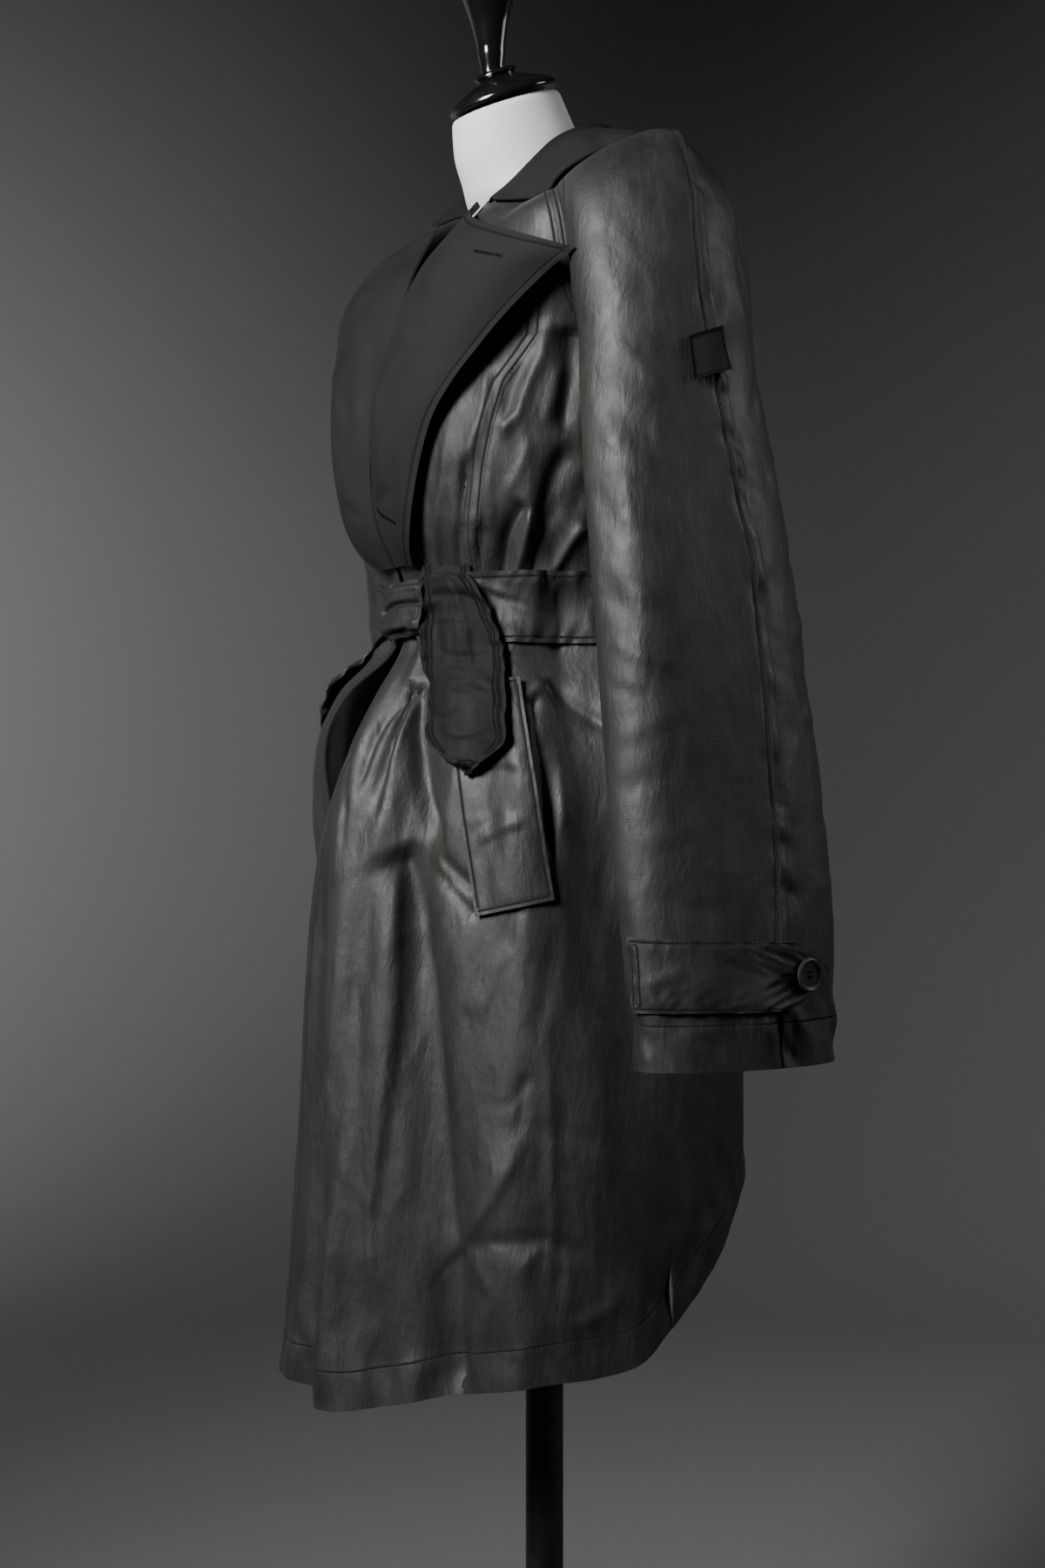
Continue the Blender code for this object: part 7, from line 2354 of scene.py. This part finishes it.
@dataclass
class Collar:
    """The folded collar: its fall, its roll and the stand that is sewn to the neck."""

    finishes: Finishes
    rows: int = 64
    columns: int = 170
    stitch_inset: float = 0.0055
    spread: float = 0.17
    sunk: float = 0.006

    def neckline(self, nets: dict) -> list:
        """Places on the neck edge from the left front's edge round the back to the right."""
        line = []
        for name, columns in NECK_COLUMNS:
            net = nets[name][..., :3]
            normals = outwards(net)
            line += [Vector(net[-1, c] - normals[-1, c] * WALL) for c in columns]
        return line

    def net(self, nets: dict) -> np.ndarray:
        """The collar's coarse net; its places are the part round and the row."""
        line = self.neckline(nets)
        lengths = [0.0]
        for a, b in zip(line, line[1:]):
            lengths.append(lengths[-1] + (b - a).length)
        columns, parts = [], []
        for seam, length in zip(line, lengths):
            part = length / lengths[-1]
            side = 1.0 if part <= 0.5 else -1.0
            turn = 2.0 * min(part, 1.0 - part)
            roll = Vector([curve(COLLAR, f"roll_{axis}", turn) for axis in "xyz"])
            edge = Vector([curve(COLLAR, f"edge_{axis}", turn) for axis in "xyz"])
            sunk = self.sunk * float(ease(1.0 - turn / 0.3))
            edge = roll + (edge - roll) * (1.0 + self.spread * float(ease(1.0 - turn / 0.5)))
            roll, edge = [Vector((p.x * side, p.y, p.z - sunk)) for p in (roll, edge)]
            seam.z += COLLAR_SEAM_GAP
            away = Vector((edge.x - roll.x, edge.y - roll.y, 0.0)).normalized()
            drop = Vector((0.0, 0.0, COLLAR_DROP))
            inner = roll - away * COLLAR_FOLD / 2.0 - drop
            outer = roll + away * COLLAR_FOLD / 2.0 - drop
            fall = []
            for step in (3.0, 2.0, 1.0):
                lift = COLLAR_BULGE * math.sin(math.pi * step / COLLAR_FALL_STEPS)
                point = outer.lerp(edge, step / COLLAR_FALL_STEPS)
                fall.append(point + Vector((away.x * lift, away.y * lift, lift)))
            columns.append(fall + [outer, roll, inner, inner.lerp(seam, 0.5), seam])
            parts.append(part)
        rows = [[column[row] for column in columns] for row in range(len(columns[0]))]
        return with_places(rows, parts, [float(i) for i in range(len(rows))])

    def build(self, nets: dict, trees: list) -> None:
        """Build the collar over the cloths it lies on."""
        cloth = Cloth(self.net(nets), self.rows, self.columns)
        fall = ease((3.2 - cloth.b) / 1.0)
        cloth.crumple(0.5, 0.045, 81, fall)
        cloth.crumple(0.2, 0.016, 82, fall)
        cloth.crease(COLLAR_CREASES, 2.0, 83)
        for rim in (Rim.LOW, Rim.FIRST, Rim.LAST):
            cloth.sewn_edge(rim, self.stitch_inset, (0.20, 0.010, 0.005), 84, 0.0003, 0.0016, fall)
        cloth.settle()
        Laying.clear(cloth, trees, COLLAR_CLEARANCE, cloth.b < 3.0)
        thread = Thread(self.finishes.thread)
        thread.along(cloth, Rim.LOW, self.stitch_inset, 0.02, 0.98)
        for rim in (Rim.FIRST, Rim.LAST):
            thread.along(cloth, rim, self.stitch_inset, 0.06, 0.40)
        stitches = thread.make("stitches_collar", "facing_cotton")
        piece = cloth.make("collar_cloth", WALL, self.finishes.facing)
        dress("collar")


@dataclass
class Pockets:
    """The slanted pocket welts."""

    finishes: Finishes
    rows: int = 90
    columns: int = 40
    stitch_inset: float = 0.0030

    def build(self, side: Side, trees: list) -> BVHTree:
        """Build one welt on the cloths under it, and return its outer face."""
        rows = Laying.strap(POCKET, trees, WELT_ROWS, side, WALL)
        net = with_places(rows, parts_of(STRAP_COLUMNS),
                          parts_of(WELT_ROWS))
        cloth = Cloth(net[:, ::-1] if side is Side.RIGHT else net, self.rows, self.columns)
        cloth.crumple(0.45, 0.030, 91)
        cloth.crease(POCKET_CREASES, 1.5, 92)
        for rim in Rim:
            cloth.sewn_edge(rim, self.stitch_inset, (0.30, 0.010, 0.006), 93, 0.0004, 0.0016)
        cloth.settle()
        thread = Thread(self.finishes.thread)
        for rim in Rim:
            thread.along(cloth, rim, self.stitch_inset, 0.03, 0.97)
        stitches = thread.make(f"stitches_pocket_{side.word}", "waxed_cotton")
        name = f"pocket_welt_{side.word}"
        piece = cloth.make(f"{name}_cloth", WALL, self.finishes.waxed)
        dress(name)
        return cloth.tree()


@dataclass
class Belt:
    """The cloth belt: its band, its knot and its two hanging ends."""

    finishes: Finishes
    body: CoatBody
    stitch_inset: float = 0.0042
    second_row: float = 0.0045
    knot_inset: float = 0.004
    knot_reach: float = 5.5
    band_rows: int = 22
    band_columns: int = 420

    def band_net(self) -> np.ndarray:
        """The band's coarse net, on the waist rows of the cloth; places are angle and height."""
        first = len(SKIRT_ROWS)
        columns = []
        for name in ("front_left", "back", "front_right"):
            net = self.body.nets[name]
            normals = outwards(net[..., :3])
            for column in range(net.shape[1]):
                columns.append([
                    Vector(net[first + r, column, :3] + normals[first + r, column] * BELT_LIFT)
                    for r in range(BELT_ROWS)
                ])
        kept = [columns[0]]
        for column in columns[1:]:
            if (column[1] - kept[-1][1]).length > BELT_NEAREST:
                kept.append(column)
        shaped, angles = [], []
        for low, middle, high in kept:
            narrow = 1.0 - float(ease(abs(angle_of(middle)) / BELT_NARROW_ANGLE - 0.5))
            bottom = low.lerp(high, BELT_NARROW_LOW * narrow)
            top = low.lerp(high, mix(1.0, BELT_NARROW_HIGH, narrow))
            centre = bottom.lerp(top, 0.5) + (middle - low.lerp(high, 0.5))
            shaped.append([bottom, centre, top])
            angles.append(angle_of(middle) % 360.0)
        angles[-1] += 360.0 if angles[-1] < 180.0 else 0.0
        rows = [[column[row] for column in shaped] for row in range(BELT_ROWS)]
        return with_places(rows, angles, [0.0, 0.5, 1.0])

    def worn(self, cloth: Cloth, rims: tuple, seed: int, depth: float) -> None:
        """Crumple a strap and pucker its stitched edges.

        Args:
            cloth: the strap's cloth.
            rims: the edges that are stitched.
            seed: picks its unevenness.
            depth: how worn it is, 1 for a little.
        """
        cloth.crumple(0.5 * depth, 0.026, seed)
        cloth.crumple(0.25 * depth, 0.012, seed + 4)
        puckers = (1.1 * depth, 0.0100, 0.009)
        for rim in rims:
            cloth.sewn_edge(rim, self.stitch_inset, puckers, seed + 1, 0.0004, 0.0018)

    def build_band(self, trees: list) -> BVHTree:
        """Build the band and return its outer face."""
        cloth = Cloth(self.band_net(), self.band_rows, self.band_columns)
        self.worn(cloth, (Rim.LOW, Rim.HIGH), 101, 2.0)
        cloth.crease(BAND_CREASES, 1.5, 103)
        cloth.settle()
        Laying.clear(cloth, trees, BELT_WALL + 0.0005)
        thread = Thread(self.finishes.thread)
        for rim in (Rim.LOW, Rim.HIGH):
            thread.along(cloth, rim, self.stitch_inset)
        stitches = thread.make("stitches_belt_band", "belt_cotton")
        piece = cloth.make("belt_band_cloth", BELT_WALL, self.finishes.belt)
        dress("belt_band")
        return cloth.tree()

    def end_net(self, table: list, trees: list, rows: int, side: Side, over: bool) -> np.ndarray:
        """The coarse net of a hanging end, from its point up.

        Args:
            table: its edges and lift.
            trees: the cloths under it.
            rows: how many steps it is drawn in.
            side: the side of the body.
            over: whether its top turns over the band and in behind it.

        Returns:
            The net; its places are the part across and the part up.
        """
        found = Laying.strap(table, trees, rows, side, BELT_WALL)
        places = parts_of(rows)
        if over:
            for turn in BELT_TURNS:
                row = []
                for point in found[rows]:
                    away = Vector((point.x, point.y, 0.0)).normalized()
                    row.append(point - away * turn.inward + Vector((0.0, 0.0, turn.rise)))
                found.append(row)
                places.append(turn.place)
        across = parts_of(STRAP_COLUMNS)
        net = with_places(found, across, places)
        return net[:, ::-1] if side is Side.RIGHT else net

    def build_strap(self, strap: Strap, net: np.ndarray) -> None:
        """Build a hanging end or the knot from its net."""
        cloth = Cloth(net, strap.rows, strap.columns)
        self.worn(cloth, (Rim.FIRST, Rim.LAST, Rim.LOW), strap.seed, strap.depth)
        cloth.crease(strap.creases, 1.5, 113)
        cloth.settle()
        thread = Thread(self.finishes.thread)
        if strap.held == "hung":
            for distance in (self.stitch_inset, self.stitch_inset + self.second_row):
                for rim in (Rim.FIRST, Rim.LAST):
                    thread.along(cloth, rim, distance, 0.10, 0.97)
                thread.along(cloth, Rim.LOW, distance, 0.14, 0.86)
        else:
            for rim in (Rim.LOW, Rim.HIGH):
                thread.along(cloth, rim, self.knot_inset)
        stitches = thread.make(f"stitches_{strap.name}", "belt_cotton")
        finish = self.finishes.dull if strap.dull else self.finishes.belt
        piece = cloth.make(f"{strap.name}_cloth", BELT_WALL, finish)
        dress(strap.name)

    def build(self, trees: list) -> None:
        """Build the ends and the knot on the cloths under them."""
        near = self.end_net(NEAR_END, trees, NEAR_END_ROWS, Side.LEFT, True)
        self.build_strap(BELT_END_NEAR, near)
        far = self.end_net(FAR_END, trees, FAR_END_ROWS, Side.RIGHT, False)
        self.build_strap(BELT_END_FAR, far)
        wide = [row._replace(right=row.right + self.knot_reach) for row in KNOT]
        knot = self.end_net(wide, trees, KNOT_ROWS, Side.LEFT, False)
        self.build_strap(BELT_KNOT, knot)


def join_rings(mesh: bmesh.types.BMesh, rings: list) -> None:
    """Join each ring of points to the next one up with faces."""
    for low, high in zip(rings, rings[1:]):
        for i in range(len(low)):
            j = (i + 1) % len(low)
            mesh.faces.new((low[i], low[j], high[j], high[i]))


def lathe(name: str, profile: list, steps: int, finish: bpy.types.Material) -> bpy.types.Object:
    """Turn a closed piece about +Z by extruding a circle up through a profile.

    Args:
        name: the piece's name.
        profile: radius and height, from the foot up, without the middles of its two ends.
        steps: faces round it.
        finish: its material.

    Returns:
        The piece, at the origin.
    """
    bpy.ops.object.select_all(action="DESELECT")
    radius, height = profile[0]
    bpy.ops.mesh.primitive_circle_add(vertices=steps, radius=radius, fill_type="NGON",
                                      location=(0.0, 0.0, height))
    made = bpy.context.active_object
    bpy.ops.object.mode_set(mode="EDIT")
    bpy.ops.mesh.select_all(action="SELECT")
    for wide, high in profile[1:]:
        bpy.ops.mesh.extrude_region_move(
            TRANSFORM_OT_translate={"value": (0.0, 0.0, high - height)}
        )
        bpy.ops.transform.resize(value=(wide / radius, wide / radius, 1.0))
        radius, height = wide, high
    bpy.ops.mesh.select_all(action="SELECT")
    bpy.ops.mesh.normals_make_consistent(inside=False)
    bpy.ops.object.mode_set(mode="OBJECT")
    bpy.ops.object.transform_apply(location=True, rotation=True, scale=True)
    made.name = made.data.name = name
    made.data.materials.append(finish)
    return made


@dataclass
class DressForm:
    """The limbless form with its cap and finial, the pole and the base."""

    finishes: Finishes
    steps: int = 96
    rows: int = 120
    least_radius: float = 0.0004

    def smooth_profile(self, profile: list, count: int) -> list:
        """A turned profile drawn finer through its points."""
        net = np.array([[[place.radius, 0.0, place.height]] for place in profile])
        fine = refine(net, count, 0)
        return [(max(float(p[0][0]), self.least_radius), float(p[0][2])) for p in fine]

    def torso(self) -> None:
        """The form's body and neck, closed at both ends."""
        rows = []
        for row in FORM:
            centre, half = (row.back - row.front) / 2.0, (row.back + row.front) / 2.0
            ring = []
            for i in range(FORM_COLUMNS + 1):
                turn = 2.0 * math.pi * i / FORM_COLUMNS
                ahead = -half * math.cos(turn)
                rise = ahead * math.tan(math.radians(row.lean))
                ring.append([row.side * math.sin(turn), centre + ahead, row.height + rise])
            rows.append(ring)
        fine = refine(np.array(rows), self.rows, 0)[:, :-1]
        mesh = bmesh.new()
        rings = [[mesh.verts.new(p) for p in ring] for ring in fine]
        join_rings(mesh, rings)
        mesh.faces.new(rings[0][::-1])
        mesh.faces.new(rings[-1])
        data = bpy.data.meshes.new("form_torso_cover")
        mesh.to_mesh(data)
        mesh.free()
        piece = finished(data, "form_torso_cover", self.finishes.jersey)
        smooth = piece.modifiers.new("round", "SUBSURF")
        smooth.levels = smooth.render_levels = 1
        bpy.ops.object.modifier_apply(modifier=smooth.name)
        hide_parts("form_torso")
        log.info("form_torso_cover: %d faces", len(piece.data.polygons))

    def turned(self, name: str, node: str, profile: list, matrix: Matrix, slot: str,
               finish: bpy.types.Material) -> None:
        """Turn one piece, put it in its place and let it stand for its node."""
        piece = lathe(name, profile, self.steps, finish)
        piece.data.transform(matrix)
        bpy.ops.object.shade_smooth_by_angle(angle=math.radians(TURNED_SMOOTH))
        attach(piece, BODY_NAME)
        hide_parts(node)
        log.info("%s: %d faces", name, len(piece.data.polygons))

    def build(self) -> None:
        """Build the form and its stand."""
        self.torso()
        neck = FORM[-1]
        seat = Vector((0.0, (neck.back - neck.front) / 2.0, neck.height))
        lean = Matrix.Rotation(math.radians(neck.lean), 4, "X")
        up = lean @ Vector((0.0, 0.0, 1.0))
        cap = self.smooth_profile(NECK_CAP, 60) + CAP_HOLLOW
        self.turned("neck_cap_turned", "neck_cap", cap,
                    Matrix.Translation(seat + up * HAND_GAP) @ lean, "black_lacquer",
                    self.finishes.lacquer)
        finial = FINIAL_STEM + self.smooth_profile(FINIAL, 70)
        tipped = Matrix.Rotation(math.radians(FINIAL_LEAN), 4, "X")
        ball = seat + up * (HAND_GAP + BALL_HEIGHT)
        self.turned("finial_turned", "finial", finial,
                    Matrix.Translation(ball) @ tipped, "black_lacquer", self.finishes.lacquer)
        for name in ("pole", "base"):
            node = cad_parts[name]
            node.data.materials.clear()
            node.data.materials.append(self.finishes.steel)


# The lights: where each stands round the object, its size, its power in watts and its aim
Light = namedtuple("Light", "name azimuth height distance width tall power aim")
LIGHTS = [
    Light("key", 17.0, 2.1, 2.1, 0.7, 1.0, 23.0, Vector((0.0, 0.0, 1.16))),
    Light("fill", 150.0, 2.0, 2.1, 0.8, 1.2, 3.0, Vector((0.0, 0.0, 1.0))),
    Light("wash", 330.0, 1.0, 1.9, 0.8, 1.6, 27.0, polar(280.0, 1.0, 3.6)),
]


@dataclass
class Studio:
    """A plain grey floor and backdrop, soft light and the camera at the photograph's angle.

    The backdrop stands all round, so the object shows only to a camera inside it.
    """

    camera_distance: float = 1.75
    camera_height: float = 0.95
    camera_azimuth: float = 62.0
    camera_aside: float = 0.017
    lens: float = 52.0
    sensor: float = 36.0
    floor_hole: float = 0.02
    floor_drop: float = 0.0006
    floor_steps: int = 96
    cove_radius: float = 1.6
    cove_start: float = 2.3
    cove_steps: int = 16
    wall_height: float = 5.0
    paint: tuple = (0.25, 0.25, 0.26)
    spread: float = 80.0
    world_strength: float = 0.012

    def floor(self) -> None:
        """A floor that turns up into a plain backdrop, all round."""
        start, radius = self.cove_start, self.cove_radius
        profile = [(self.floor_hole, 0.0), (start, 0.0)]
        for step in range(1, self.cove_steps + 1):
            turn = math.radians(90.0 * step / self.cove_steps)
            profile.append((start + radius * math.sin(turn), radius * (1.0 - math.cos(turn))))
        profile.append((start + radius, self.wall_height))
        turns = [2 * math.pi * i / self.floor_steps for i in range(self.floor_steps)]
        mesh = bmesh.new()
        rings = []
        for wide, high in profile:
            level = high - self.floor_drop
            rings.append([mesh.verts.new((wide * math.cos(turn), wide * math.sin(turn), level))
                          for turn in turns])
        join_rings(mesh, rings)
        mesh.faces.new(rings[0])
        data = bpy.data.meshes.new("studio_floor")
        mesh.to_mesh(data)
        mesh.free()
        for face in data.polygons:
            face.use_smooth = True
        floor = bpy.data.objects.new("studio_floor", data)
        bpy.context.scene.collection.objects.link(floor)
        shading = Shading("floor_paint", self.paint, 0.85)
        data.materials.append(shading.material)

    def light(self, light: Light) -> None:
        """A soft rectangular light, aimed at a point."""
        data = bpy.data.lights.new(light.name, "AREA")
        data.shape = "RECTANGLE"
        data.size, data.size_y = light.width, light.tall
        data.energy = light.power
        data.spread = math.radians(self.spread)
        lamp = bpy.data.objects.new(light.name, data)
        bpy.context.scene.collection.objects.link(lamp)
        lamp.location = polar(light.azimuth, light.height, light.distance)
        towards = light.aim - lamp.location
        lamp.rotation_euler = towards.to_track_quat("-Z", "Y").to_euler()

    def build(self) -> None:
        """Set up the floor, the lights and the camera."""
        self.floor()
        world = bpy.data.worlds.new("studio")
        world.use_nodes = True
        sky = world.node_tree.nodes["Background"].inputs
        sky["Color"].default_value = (1.0, 1.0, 1.0, 1.0)
        sky["Strength"].default_value = self.world_strength
        bpy.context.scene.world = world
        for light in LIGHTS:
            self.light(light)
        data = bpy.data.cameras.new("photograph")
        data.sensor_fit = "VERTICAL"
        data.sensor_height = self.sensor
        data.sensor_width = self.sensor
        data.lens = self.lens
        camera = bpy.data.objects.new("photograph", data)
        bpy.context.scene.collection.objects.link(camera)
        towards = polar(self.camera_azimuth, 0.0, 1.0)
        camera.location = towards * self.camera_distance
        camera.location += Vector((towards.y, -towards.x, 0.0)) * self.camera_aside
        camera.location.z = self.camera_height
        camera.rotation_euler = (-towards).to_track_quat("-Z", "Y").to_euler()
        bpy.context.scene.camera = camera


def main() -> None:
    """Build every piece in order."""
    logging.basicConfig(level=logging.INFO, format="%(message)s")
    finishes = Finishes()
    sleeves = Sleeves(finishes)
    for side in Side:
        sleeves.draw(side)
    body = CoatBody(finishes, sleeves)
    body.draw()
    trees = body.trees()
    arms = {side: sleeves.cloths[side].tree() for side in Side}
    for side in Side:
        sleeves.build(side)
    Patch(finishes, CuffTab(finishes, sleeves.pattern, Side.LEFT, arms[Side.LEFT])).build()
    body.build()
    lapels = Lapels(finishes, body)
    for side in Side:
        lapels.build(side, [trees[f"front_{side.word}"], arms[side]])
    nets = body.nets | {f"sleeve_{side.word}": sleeves.nets[side] for side in Side}
    Collar(finishes).build(nets, [*trees.values(), *arms.values()])
    pockets = Pockets(finishes)
    fronts = [trees["front_left"], trees["front_right"]]
    welts = [pockets.build(side, fronts) for side in Side]
    belt = Belt(finishes, body)
    band = belt.build_band(list(trees.values()))
    belt.build(fronts + welts + [band])
    DressForm(finishes).build()
    Studio().build()


if __name__ == "__main__":
    main()
